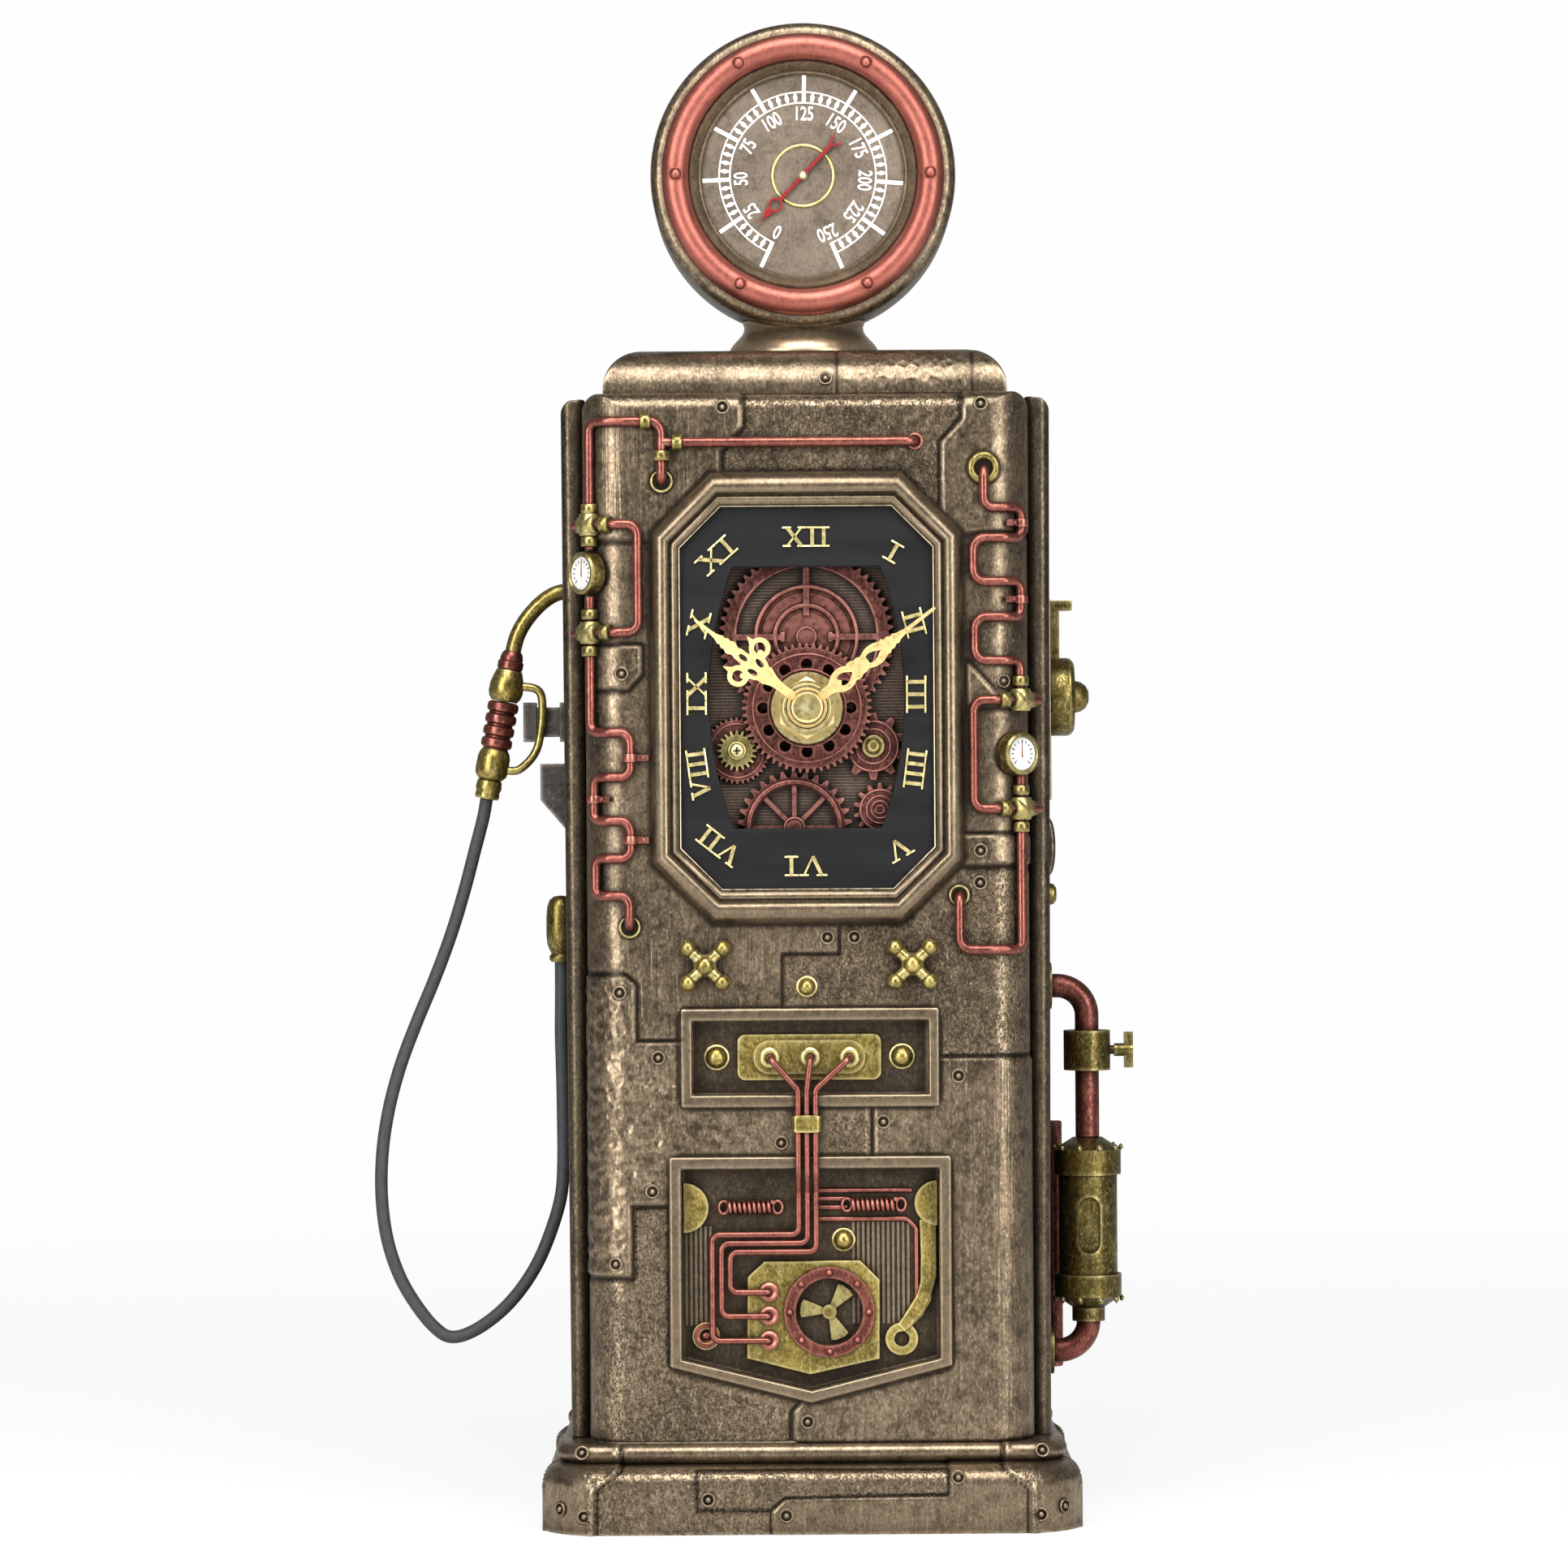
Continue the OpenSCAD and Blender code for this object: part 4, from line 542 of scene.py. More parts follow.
def bar_tree():
    """Square bars on points, each with its own turn and span."""
    tree = tree_with("bars", [("Material", "NodeSocketMaterial", None)])
    source = add_node(tree, "NodeGroupInput").outputs
    block = add_node(tree, "GeometryNodeMeshCube", {"Size": (1, 1, 1)})
    euler = read_field(tree, "turn", "FLOAT_VECTOR")
    turn = add_node(tree, "FunctionNodeEulerToRotation", {"Euler": euler})
    size = read_field(tree, "span", "FLOAT_VECTOR")
    close_tree(tree, block.outputs["Mesh"], source, turn.outputs["Rotation"], size)
    return tree


def grown(name, tree, spots, fields, inputs, finish, smooth):
    """Runs a tree on spots and keeps the result as one plain piece."""
    obj = new_object(name, spots, [])
    for label, values in fields.items():
        field(obj, label, values)
    maker = obj.modifiers.new("maker", "NODES")
    maker.node_group = tree
    wanted = dict(inputs, Material=FINISH[finish])
    for socket in tree.interface.items_tree:
        if socket.in_out == "INPUT" and socket.name in wanted:
            maker[socket.identifier] = wanted[socket.name]
    settle(obj)
    if smooth:
        obj.data.shade_smooth()
    else:
        obj.data.shade_flat()
    return carry(obj, finish)


def studs(name, spots, finish, dome, ring, wire):
    """Screw heads or rivets; each spot is a point, a direction and a radius."""
    points = [s[0] for s in spots]
    fields = {"facing": [tuple(s[1]) for s in spots], "size": [s[2] * MM for s in spots]}
    inputs = {"Dome": dome, "Ring": ring, "Ring wire": wire}
    return grown(name, TREES["studs"], points, fields, inputs, finish, True)


def bars(name, spots, finish):
    """Bars; each spot is a place and a span in the place's own directions."""
    points = [tuple(place.translation) for place, span in spots]
    fields = {"turn": [tuple(place.to_euler()) for place, span in spots],
              "span": [tuple(c * MM for c in span) for place, span in spots]}
    return grown(name, TREES["bars"], points, fields, {}, finish, False)


TREES = {}
FINISH = {}


# Shader groups shared by the finishes
def shader_group(name, inputs, outputs):
    group = bpy.data.node_groups.new(name, "ShaderNodeTree")
    for label, kind, value in inputs:
        socket = group.interface.new_socket(label, in_out="INPUT", socket_type=kind)
        socket.default_value = value
    for label, kind in outputs:
        group.interface.new_socket(label, in_out="OUTPUT", socket_type=kind)
    return group, add_node(group, "NodeGroupInput").outputs, add_node(group, "NodeGroupOutput").inputs


def noise(tree, coords, scale, detail=2.0, stretch=None, distortion=0.0):
    if stretch:
        coords = add_node(tree, "ShaderNodeMapping", {"Scale": stretch, "Vector": coords}).outputs["Vector"]
    inputs = {"Scale": scale, "Detail": detail, "Distortion": distortion, "Vector": coords}
    return add_node(tree, "ShaderNodeTexNoise", inputs).outputs["Fac"]


def between(tree, value, low, high, first=0.0, last=1.0):
    inputs = {"Value": value, "From Min": low, "From Max": high, "To Min": first, "To Max": last}
    return add_node(tree, "ShaderNodeMapRange", inputs, interpolation_type="SMOOTHSTEP").outputs["Result"]


def combine(tree, operation, a, b):
    return add_node(tree, "ShaderNodeMath", {0: a, 1: b}, operation=operation).outputs[0]


def times(tree, a, b):
    return combine(tree, "MULTIPLY", a, b)


def plus(tree, a, b):
    return combine(tree, "ADD", a, b)


def tint(tree, mask, low, high):
    inputs = {"Factor": mask, "A": low, "B": high}
    return add_node(tree, "ShaderNodeMix", inputs, data_type="RGBA").outputs["Result"]


def hollows(tree, reach, inside=False):
    settings = {"samples": 6, "inside": inside, "only_local": inside}
    return add_node(tree, "ShaderNodeAmbientOcclusion", {"Distance": reach * MM}, **settings).outputs["AO"]


def patina_group():
    """Dark wash and painted shade in the hollows, rubbed edges and a cloudy tone between."""
    group, source, out = shader_group("patina_and_shade", [("Tone", "NodeSocketColor", (0.3, 0.2, 0.1, 1)),
                                                 ("Dark", "NodeSocketColor", (0.02, 0.015, 0.01, 1)),
                                                 ("Worn", "NodeSocketColor", (0.6, 0.5, 0.3, 1)),
                                                 ("Wash and shade", "NodeSocketFloat", 1.0),
                                                 ("Rub", "NodeSocketFloat", 1.0),
                                                 ("Mottle", "NodeSocketFloat", 0.5),
                                                 ("Gloss", "NodeSocketFloat", 0.4)],
                                      [("Color", "NodeSocketColor"), ("Roughness", "NodeSocketFloat"),
                                       ("Height", "NodeSocketFloat")])
    link = group.links.new
    spot = add_node(group, "ShaderNodeTexCoord").outputs["Object"]
    cloud = noise(group, spot, 95, 4.0)
    speck = noise(group, spot, 900, 3.0)
    streak = noise(group, spot, 800, 3.0, (1.0, 1.0, 0.3))
    grain = noise(group, spot, 2400, 2.0, (1.0, 1.0, 0.6))
    shade = times(group, between(group, cloud, 0.3, 0.7), source["Mottle"])
    deep = tint(group, times(group, shade, 0.55), source["Tone"], source["Dark"])
    lively = times(group, between(group, streak, 0.5, 0.72), source["Mottle"])
    toned = tint(group, times(group, lively, 0.3), deep, source["Worn"])
    blotch = noise(group, spot, 420, 3.0)
    for pattern, low, high, strength, colour_name in ((grain, 0.5, 0.3, 0.6, "Dark"),
                                                      (grain, 0.54, 0.72, 0.5, "Worn"),
                                                      (blotch, 0.5, 0.32, 0.5, "Dark")):
        grit = times(group, between(group, pattern, low, high), source["Mottle"])
        toned = tint(group, times(group, grit, strength), toned, source[colour_name])
    edge = between(group, hollows(group, 0.9, True), 0.5, 0.97, 1.0, 0.0)
    edge = times(group, edge, between(group, speck, 0.25, 0.6, 0.35, 1.0))
    edge = times(group, edge, source["Rub"])
    rubbed = tint(group, edge, toned, source["Worn"])
    # Darkening by ambient occlusion within 4.6 mm: partly the cast's dark wash, partly painted shade near
    # pipes, frames and in pockets
    wash_and_shade = between(group, hollows(group, 4.6), 0.4, 0.97, 1.0, 0.0)
    wash_and_shade = times(group, wash_and_shade, between(group, speck, 0.2, 0.7, 1.0, 0.75))
    wash_and_shade = times(group, wash_and_shade, source["Wash and shade"])
    link(tint(group, wash_and_shade, rubbed, source["Dark"]), out["Color"])
    rough = plus(group, source["Gloss"], times(group, wash_and_shade, 0.25))
    rough = plus(group, rough, between(group, speck, 0.2, 0.8, -0.05, 0.08))
    link(rough, out["Roughness"])
    link(plus(group, times(group, speck, 0.12), times(group, streak, 0.1)),
         out["Height"])
    return group


def marks_group():
    """Pits, hammer dents and brush lines where a piece's own fields ask for them, and the darkening of these
    and of the seam field, which also carries painted shade.
    """
    group, source, out = shader_group("tool_marks", [("Depth", "NodeSocketFloat", 1.0)],
                                      [("Height", "NodeSocketFloat"), ("Dirt and shade", "NodeSocketFloat")])
    link = group.links.new
    spot = add_node(group, "ShaderNodeTexCoord").outputs["Object"]
    masks = {}
    for name in ("pitted", "hammered", "brushed", "seam_and_shade"):
        masks[name] = add_node(group, "ShaderNodeAttribute", attribute_name=name).outputs["Fac"]
    pits = between(group, noise(group, spot, 1700, 0.5, (1.0, 1.0, 0.8), 1.2), 0.5, 0.66)
    pits = times(group, pits, masks["pitted"])
    warp = add_node(group, "ShaderNodeMapping", {"Scale": (1.0, 1.0, 0.8), "Vector": spot})
    inputs = {"Scale": 520, "Smoothness": 0.35, "Vector": warp.outputs["Vector"]}
    cells = add_node(group, "ShaderNodeTexVoronoi", inputs, feature="SMOOTH_F1")
    dents = between(group, cells.outputs["Distance"], 0.12, 0.62, 1.0, 0.0)
    dents = times(group, dents, masks["hammered"])
    lines = noise(group, spot, 1500, 2.0, (1.0, 1.0, 0.03))
    lines = times(group, between(group, lines, 0.3, 0.7), masks["brushed"])
    low = plus(group, times(group, pits, 0.5), times(group, dents, 0.35))
    low = plus(group, low, times(group, lines, 0.12))
    link(times(group, times(group, low, -1.0), source["Depth"]),
         out["Height"])
    # Dirt in pits, lines and dents, plus the seam field with its painted shade
    dirt_and_shade = plus(group, times(group, pits, 0.45), times(group, lines, 0.2))
    dirt_and_shade = plus(group, dirt_and_shade, masks["seam_and_shade"])
    dirt_and_shade = plus(group, dirt_and_shade, times(group, dents, 0.08))
    clipped = add_node(group, "ShaderNodeClamp", {"Value": dirt_and_shade})
    link(clipped.outputs["Result"], out["Dirt and shade"])
    return group


def new_finish(name, metallic, roughness=0.4):
    made = bpy.data.materials.new(name)
    made.use_nodes = True
    tree = made.node_tree
    shader = tree.nodes["Principled BSDF"]
    shader.inputs["Metallic"].default_value = metallic
    shader.inputs["Roughness"].default_value = roughness
    shader.inputs["Specular IOR Level"].default_value = 0.3
    FINISH[name] = made
    return made, tree, shader


def bump(tree, shader, height, depth):
    node = add_node(tree, "ShaderNodeBump", {"Strength": 1.0, "Distance": depth * MM, "Height": height})
    tree.links.new(node.outputs["Normal"], shader.inputs["Normal"])


def colour(value):
    return (*value, 1.0)


def scaled(value, factor):
    return [c * factor for c in value]


def aged(name, tone, dark, worn, metallic=0.9, wash_and_shade=1.0, rub=1.0, mottle=0.5, gloss=0.36, depth=0.16,
         marks=False):
    """A cast or drawn metal with dark hollows, partly wash and partly painted shade, and rubbed edges."""
    made, tree, shader = new_finish(name, metallic)
    inputs = {"Tone": colour(tone), "Dark": colour(dark), "Worn": colour(worn), "Wash and shade": wash_and_shade, "Rub": rub,
              "Mottle": mottle, "Gloss": gloss}
    patina_and_shade = add_node(tree, "ShaderNodeGroup", inputs, node_tree=GROUPS["patina_and_shade"]).outputs
    tree.links.new(patina_and_shade["Roughness"], shader.inputs["Roughness"])
    if not marks:
        tree.links.new(patina_and_shade["Color"], shader.inputs["Base Color"])
        bump(tree, shader, patina_and_shade["Height"], depth)
        return made
    tool = add_node(tree, "ShaderNodeGroup", node_tree=GROUPS["marks"]).outputs
    tree.links.new(tint(tree, tool["Dirt and shade"], patina_and_shade["Color"], colour(dark)),
                   shader.inputs["Base Color"])
    both = plus(tree, tool["Height"], times(tree, patina_and_shade["Height"], 0.5))
    bump(tree, shader, both, 0.34)
    return made


def painted(name, tone, other, roughness=0.5, scale=300.0, stretch=(1, 1, 1), metallic=0.0, depth=0.03,
            specular=0.3):
    """A thin coat of paint or a moulded surface with faint streaks."""
    made, tree, shader = new_finish(name, metallic, roughness)
    shader.inputs["Specular IOR Level"].default_value = specular
    spot = add_node(tree, "ShaderNodeTexCoord").outputs["Object"]
    grain = noise(tree, spot, scale, 4.0, stretch)
    tree.links.new(tint(tree, between(tree, grain, 0.3, 0.7), colour(tone), colour(other)),
                   shader.inputs["Base Color"])
    tree.links.new(between(tree, grain, 0.2, 0.8, roughness - 0.06, roughness + 0.08),
                   shader.inputs["Roughness"])
    bump(tree, shader, grain, depth)
    return made


GROUPS = {}


def make_finishes(looks):
    GROUPS["patina_and_shade"] = patina_group()
    GROUPS["marks"] = marks_group()
    TREES["studs"] = stud_tree()
    TREES["bars"] = bar_tree()
    dark = looks.bronze_dark
    aged("cast_bronze", looks.bronze, dark, looks.bronze_worn, gloss=0.3, mottle=0.85, marks=True)
    aged("trim_bronze", scaled(looks.bronze, 0.9), dark, looks.bronze_worn, gloss=0.3, mottle=0.4)
    aged("base_bronze", scaled(looks.bronze, 1.08), dark, looks.bronze_worn, wash_and_shade=0.7, mottle=0.7, gloss=0.3,
         marks=True)
    # Painted light: a lit copy of the bronze, twice as bright, for the neck under the head's shade
    aged("painted_lit_bronze", scaled(looks.bronze, 2), dark, looks.bronze_worn, wash_and_shade=0.15, mottle=0.3, gloss=0.3)
    # Painted shade: a darker copy of the bronze for the side panels and the side link
    aged("painted_shaded_bronze", scaled(looks.bronze, 0.45), dark, scaled(looks.bronze_worn, 0.6), rub=0.5,
         mottle=0.8, gloss=0.34)
    aged("ring_copper", scaled(looks.copper, 1.45), (0.03, 0.008, 0.006), looks.copper_worn, gloss=0.4,
         mottle=0.3, rub=0.15, wash_and_shade=0.5)
    aged("red_copper", looks.copper, (0.02, 0.006, 0.005), looks.copper_worn, gloss=0.3, mottle=0.6, rub=0.45)
    aged("gear_copper", (0.18, 0.063, 0.053), (0.01, 0.005, 0.004), (0.42, 0.18, 0.145), gloss=0.36,
         mottle=1.0, rub=0.8)
    aged("web_copper", (0.085, 0.03, 0.026), (0.01, 0.005, 0.004), (0.25, 0.1, 0.08), gloss=0.4, mottle=1.0)
    aged("deep_copper", scaled(looks.copper, 0.7), (0.015, 0.005, 0.004), looks.copper_worn, mottle=0.7,
         rub=0.4)
    aged("old_brass", looks.brass, (0.03, 0.022, 0.008), looks.brass_worn, gloss=0.3, mottle=0.9, rub=0.8)
    aged("deep_brass", scaled(looks.brass, 0.4), (0.02, 0.014, 0.006), scaled(looks.brass_worn, 0.7),
         gloss=0.3, mottle=0.9, rub=0.5)
    aged("dark_brass", scaled(looks.brass, 0.55), (0.022, 0.016, 0.007), scaled(looks.brass_worn, 0.8),
         gloss=0.3, mottle=0.9, rub=0.6, wash_and_shade=1.0)
    aged("fresh_brass", (0.78, 0.62, 0.26), (0.14, 0.10, 0.03), (0.95, 0.85, 0.5), metallic=1.0, wash_and_shade=0.12,
         gloss=0.28, mottle=0.0, depth=0.015)
    aged("hand_gold", looks.gold, (0.3, 0.2, 0.07), (0.95, 0.74, 0.32), metallic=0.55, wash_and_shade=0.2, gloss=0.3,
         mottle=0.1, depth=0.02)
    aged("minute_gold", scaled(looks.gold, 0.78), (0.24, 0.15, 0.05), (0.8, 0.6, 0.26), metallic=0.55,
         wash_and_shade=0.2, gloss=0.3, mottle=0.25, depth=0.02)
    aged("dull_bronze", scaled(looks.bronze, 0.9), dark, looks.bronze_worn, rub=0.15, gloss=0.34)
    aged("gear_ground", (0.075, 0.05, 0.035), (0.012, 0.008, 0.006), (0.15, 0.11, 0.08), metallic=0.4,
         gloss=0.5, mottle=0.8)
    aged("gauge_ground", (0.235, 0.185, 0.14), (0.05, 0.038, 0.028), (0.32, 0.25, 0.18), metallic=0.55,
         gloss=0.38, mottle=0.7, wash_and_shade=0.5)
    aged("numeral_gold", (0.60, 0.45, 0.14), (0.09, 0.06, 0.02), (0.92, 0.78, 0.36), wash_and_shade=0.25, gloss=0.3)
    aged("dark_steel", (0.11, 0.098, 0.088), (0.012, 0.012, 0.012), (0.40, 0.36, 0.32), gloss=0.34)
    painted("dial_black", looks.dial, scaled(looks.dial, 1.8), 0.55, 260, (0.12, 1, 1), specular=0.18)
    painted("scale_white", (0.86, 0.86, 0.83), (0.74, 0.73, 0.70), 0.5, 1200)
    painted("mini_white", (0.66, 0.66, 0.64), (0.6, 0.6, 0.58), 0.4, 500)
    painted("needle_red", (0.27, 0.014, 0.018), (0.19, 0.01, 0.012), 0.36, 900)
    painted("tick_black", (0.02, 0.02, 0.02), (0.035, 0.035, 0.035), 0.45, 900)
    painted("hose_rubber", looks.hose, scaled(looks.hose, 1.35), 0.55, 700, depth=0.05)
    painted("movement_black", (0.016, 0.016, 0.017), (0.024, 0.024, 0.025), 0.5, 1500, depth=0.06)
    painted("wheel_plastic", (0.62, 0.60, 0.54), (0.55, 0.53, 0.47), 0.4, 800)
    painted("circuit_green", (0.02, 0.12, 0.04), (0.03, 0.16, 0.06), 0.4, 500)
    painted("cell_wrap", (0.10, 0.105, 0.11), (0.13, 0.135, 0.14), 0.3, 250, metallic=0.3)


# Stage
def studio_white():
    """Pale matt paint that the camera sees turn whiter farther out."""
    paint = bpy.data.materials.new("studio_white")
    paint.use_nodes = True
    tree = paint.node_tree
    tree.nodes.clear()
    matt = add_node(tree, "ShaderNodeBsdfDiffuse", {"Color": (0.86, 0.86, 0.86, 1)})
    glow = add_node(tree, "ShaderNodeEmission", {"Color": (1, 1, 1, 1)})
    seen = add_node(tree, "ShaderNodeLightPath").outputs["Is Camera Ray"]
    spot = add_node(tree, "ShaderNodeTexCoord").outputs["Object"]
    away = add_node(tree, "ShaderNodeVectorMath", {0: spot}, operation="LENGTH")
    white = between(tree, away.outputs["Value"], 0.25, 0.9, 0.84, 0.985)
    share = times(tree, seen, white)
    mix = add_node(tree, "ShaderNodeMixShader", {"Fac": share, 1: matt.outputs[0], 2: glow.outputs[0]})
    add_node(tree, "ShaderNodeOutputMaterial", {"Surface": mix.outputs[0]})
    return paint


def build_floor():
    half, back, turn = 4000.0, 1500.0, 500.0
    rows = [(-3500.0, 0.0), (back, 0.0)]
    rows += [(back + turn * math.sin(a), turn * (1 - math.cos(a))) for a in np.linspace(0.2, math.pi / 2, 10)]
    rows.append((back + turn, 3500.0))
    points = [(x, y, z) for y, z in rows for x in (-half, half)]
    faces = [(2 * i, 2 * i + 1, 2 * i + 3, 2 * i + 2) for i in range(len(rows) - 1)]
    floor = new_object("studio_floor", points, faces)
    floor.data.materials.append(studio_white())
    floor.data.shade_smooth()


def build_light(scene):
    world = bpy.data.worlds.new("studio_room")
    world.use_nodes = True
    room = world.node_tree.nodes["Background"]
    room.inputs["Color"].default_value = (1, 1, 1, 1)
    room.inputs["Strength"].default_value = 0.16
    scene.world = world
    for name, spot, size, power in (("left_box", (-0.64, -0.88, 0.32), (0.42, 1.0), 9.8),
                                    ("right_box", (0.64, -0.88, 0.30), (0.42, 1.0), 8.8),
                                    ("top_box", (0.0, -0.6, 0.92), (0.8, 0.6), 11.5)):
        lamp = bpy.data.lights.new(name, "AREA")
        lamp.shape = "RECTANGLE"
        lamp.size, lamp.size_y = size
        lamp.energy = power
        holder = bpy.data.objects.new(name, lamp)
        holder.location = spot
        holder.rotation_euler = (Vector((0, 0, 0.15)) - Vector(spot)).to_track_quat("-Z", "Y").to_euler()
        scene.collection.objects.link(holder)


def build_camera(scene):
    lens = bpy.data.cameras.new("camera")
    lens.sensor_width = 36.0
    lens.lens = CAMERA_LENS
    lens.clip_end = 20.0
    view = bpy.data.objects.new("camera", lens)
    view.matrix_world = Matrix.Translation(CAMERA_SPOT) @ UPRIGHT @ Matrix.Rotation(CAMERA_ROLL, 4, "Z")
    scene.collection.objects.link(view)
    scene.camera = view


def build_stage(looks):
    scene = bpy.context.scene
    scene.view_settings.view_transform = "Standard"
    build_floor()
    build_light(scene)
    build_camera(scene)


# Hose
HOSE_ROUTE = [(-50.1, 110.8), (-50.1, 104), (-50.2, 96), (-50, 87), (-49.9, 79), (-49.9, 70), (-50.4, 63),
              (-52.4, 56), (-55.4, 49), (-59.4, 43), (-64, 38.4), (-69, 35.2), (-73, 34.3), (-76, 36),
              (-79.4, 40), (-83, 46), (-85.6, 53.5), (-86.8, 62), (-86.7, 71), (-85.4, 80), (-83, 89),
              (-79.6, 98), (-75.8, 107), (-72.4, 116), (-69.6, 125), (-67.2, 134)]


def build_hose(looks):
    route = [(x, SIDE_Y, z) for x, z in HOSE_ROUTE] + [nozzle_point(-4), nozzle_point(0)]
    line = smooth_line(route, 6)
    form = Form().tube(line, HOSE_R, 18)
    hose = new_object("rubber_hose", form.points, form.faces)
    hose.data.shade_smooth()
    hose.data.materials.append(FINISH["hose_rubber"])
    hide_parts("hose")
    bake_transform(hose)


# Cast skin of the front
def to_segment(x, z, start, end):
    """Distance of points to a straight segment."""
    dx, dz = end[0] - start[0], end[1] - start[1]
    t = np.clip(((x - start[0]) * dx + (z - start[1]) * dz) / (dx * dx + dz * dz), 0, 1)
    return np.hypot(x - start[0] - t * dx, z - start[1] - t * dz)


def distance_to(x, z, outline):
    """Signed distance of points to a closed outline, negative inside."""
    best = distance_along(x, z, outline + outline[:1])
    inside = np.zeros(x.shape, bool)
    for (ax, az), (bx, bz) in zip(outline, outline[1:] + outline[:1]):
        slope = (bx - ax) / (bz - az if bz != az else 1e-9)
        inside ^= ((az > z) != (bz > z)) & (x < slope * (z - az) + ax)
    return np.where(inside, -best, best)


def distance_along(x, z, line):
    return np.minimum.reduce([to_segment(x, z, a, b) for a, b in zip(line, line[1:])])


def ramp(value, low, high):
    t = np.clip((value - low) / (high - low), 0, 1)
    return t * t * (3 - 2 * t)


EDGE = 60.0
FRAME_BAR = 2.3
# Lift of the skin's plain ground over the shell, and the least lift in its seams
SKIN_LIFT = 0.12
SKIN_OFF = 0.04
FRONT_SCREWS = [(-16.2, 220), (34.4, 220.4), (-36.3, 167.9), (38.6, 166), (33.8, 132.8), (33.7, 126.5),
                (3.7, 116), (9, 116), (-37.1, 105.4), (-29.6, 92.6), (29.2, 88.7), (14.4, 79.8), (-5.6, 75.8),
                (-30.9, 66.4), (-38.2, 52.2), (-0.8, 21.1)]
PITTED = [
    [(-12.4, 230), (30.6, 230), (30.9, 217.5), (26.7, 212.9), (26.7, 199.5), (18, 205), (-16.7, 205),
     (-16.6, 211.5), (-14, 214.4), (-12.4, 216.2)],
    [(6.1, 119), (31, 122), (31, 129.8), (EDGE, 129.8), (EDGE, 92.1), (25.8, 92.1), (25.8, 103), (-5.2, 103),
     (-5.2, 112.7), (6.1, 112.7)],
    [(-EDGE, 49.6), (-35.2, 49.6), (-35.2, 63.8), (-27, 63.8), (-27, 30), (-3.6, 24), (-3.6, 10),
     (-EDGE, 10)],
    [(3.7, 81.3), (11.8, 81.3), (11.8, 74), (3.7, 74)],
]
HAMMERED = [
    [(-EDGE, 108.7), (-36.1, 108.7), (-34.1, 106.9), (-34.1, 95.5), (-25.6, 95.5), (-25.6, 82), (-8, 81),
     (-8, 76), (-25.6, 74), (-25.6, 63.8), (-35.1, 63.8), (-35.1, 49.6), (-EDGE, 49.6)],
    [(4, 81), (11.6, 81), (11.6, 74.2), (4, 74.2)],
]
PLATES = [
    [(-EDGE, 230), (-12.4, 230), (-12.4, 216.2), (-14, 214.4), (-16.6, 211.5), (-16.6, 200), (-24, 194),
     (-EDGE, 194)],
    [(30.6, 230), (EDGE, 230), (EDGE, 195), (26.7, 195), (26.7, 212.9), (30.9, 217.5)],
    [(-41.5, 173.4), (-32.5, 173.4), (-32.5, 167.7), (-35.1, 164.8), (-41.5, 164.8)],
    [(31.5, 169.9), (36.8, 164), (39.2, 164), (39.2, 161), (31.5, 161)],
    [(-EDGE, 108.7), (-36.1, 108.7), (-34.1, 106.9), (-34.1, 95.5), (11.7, 95.5), (11.7, 63.8), (-35.1, 63.8),
     (-35.1, 49.6), (-EDGE, 49.6)],
    [(-3.5, 10), (-3.5, 23.1), (-1.8, 25), (2, 32), (12.7, 40), (12.7, 92.1), (EDGE, 92.1), (EDGE, 10)],
    [(30, 135.8), (EDGE, 135.8), (EDGE, 129.8), (30, 129.8)],
]
BRUSHED = [
    [(20, 92.1), (EDGE, 92.1), (EDGE, 10), (20, 10)],
    [(-3.5, 10), (-3.5, 23.1), (-1.8, 25), (24, 25), (24, 10)],
    [(-40, 230), (-14, 230), (-14, 214), (-17, 211), (-17, 195), (-40, 195)],
    [(-30, 118), (6, 118), (6, 112.8), (-5.2, 112.6), (-5.2, 100), (-34, 100), (-34, 118)],
]
SEAMS = [
    [(6.1, 120), (6.1, 112.7), (-5.2, 112.7), (-5.2, 100)],
    [(30.5, 129.8), (42, 129.8)],
    [(-16.6, 211.5), (-16.6, 203)],
]
BAY = [(-25.2, 70.7), (25.2, 70.7), (25.2, 33.5), (0, 27.3), (-25.2, 33.5)]
TERMINAL_BOX = [(-23.1, 99.7), (23.1, 99.7), (23.1, 85.3), (-23.1, 85.3)]
BEZEL = [(x, CLOCK_Z + z) for x, z in octagon(BEZEL_W, BEZEL_H, BEZEL_CUT)]


# Side, inset from that side, height from the clock and radius of each ring that a pipe goes in by
GROMMETS = [(-1, 15.3, 42.5, 2.3), (-1, 8.5, -44.8, 2.2), (1, 8.6, 44.8, 3.3), (1, 13.9, -38.9, 2.1)]


def dents(x, z, span_x, span_z, count, depth):
    """Shallow hammer dents scattered over a field."""
    dice = np.random.default_rng(7)
    deep = np.zeros(x.shape)
    for _ in range(count):
        sx, sz = dice.uniform(*span_x), dice.uniform(*span_z)
        r, flat = dice.uniform(0.9, 1.7), dice.uniform(0.6, 1.0)
        away = ((x - sx) / r) ** 2 + ((z - sz) / (r * flat)) ** 2
        deep = np.maximum(deep, depth * r * 0.6 * np.clip(1 - away, 0, 1))
    return deep


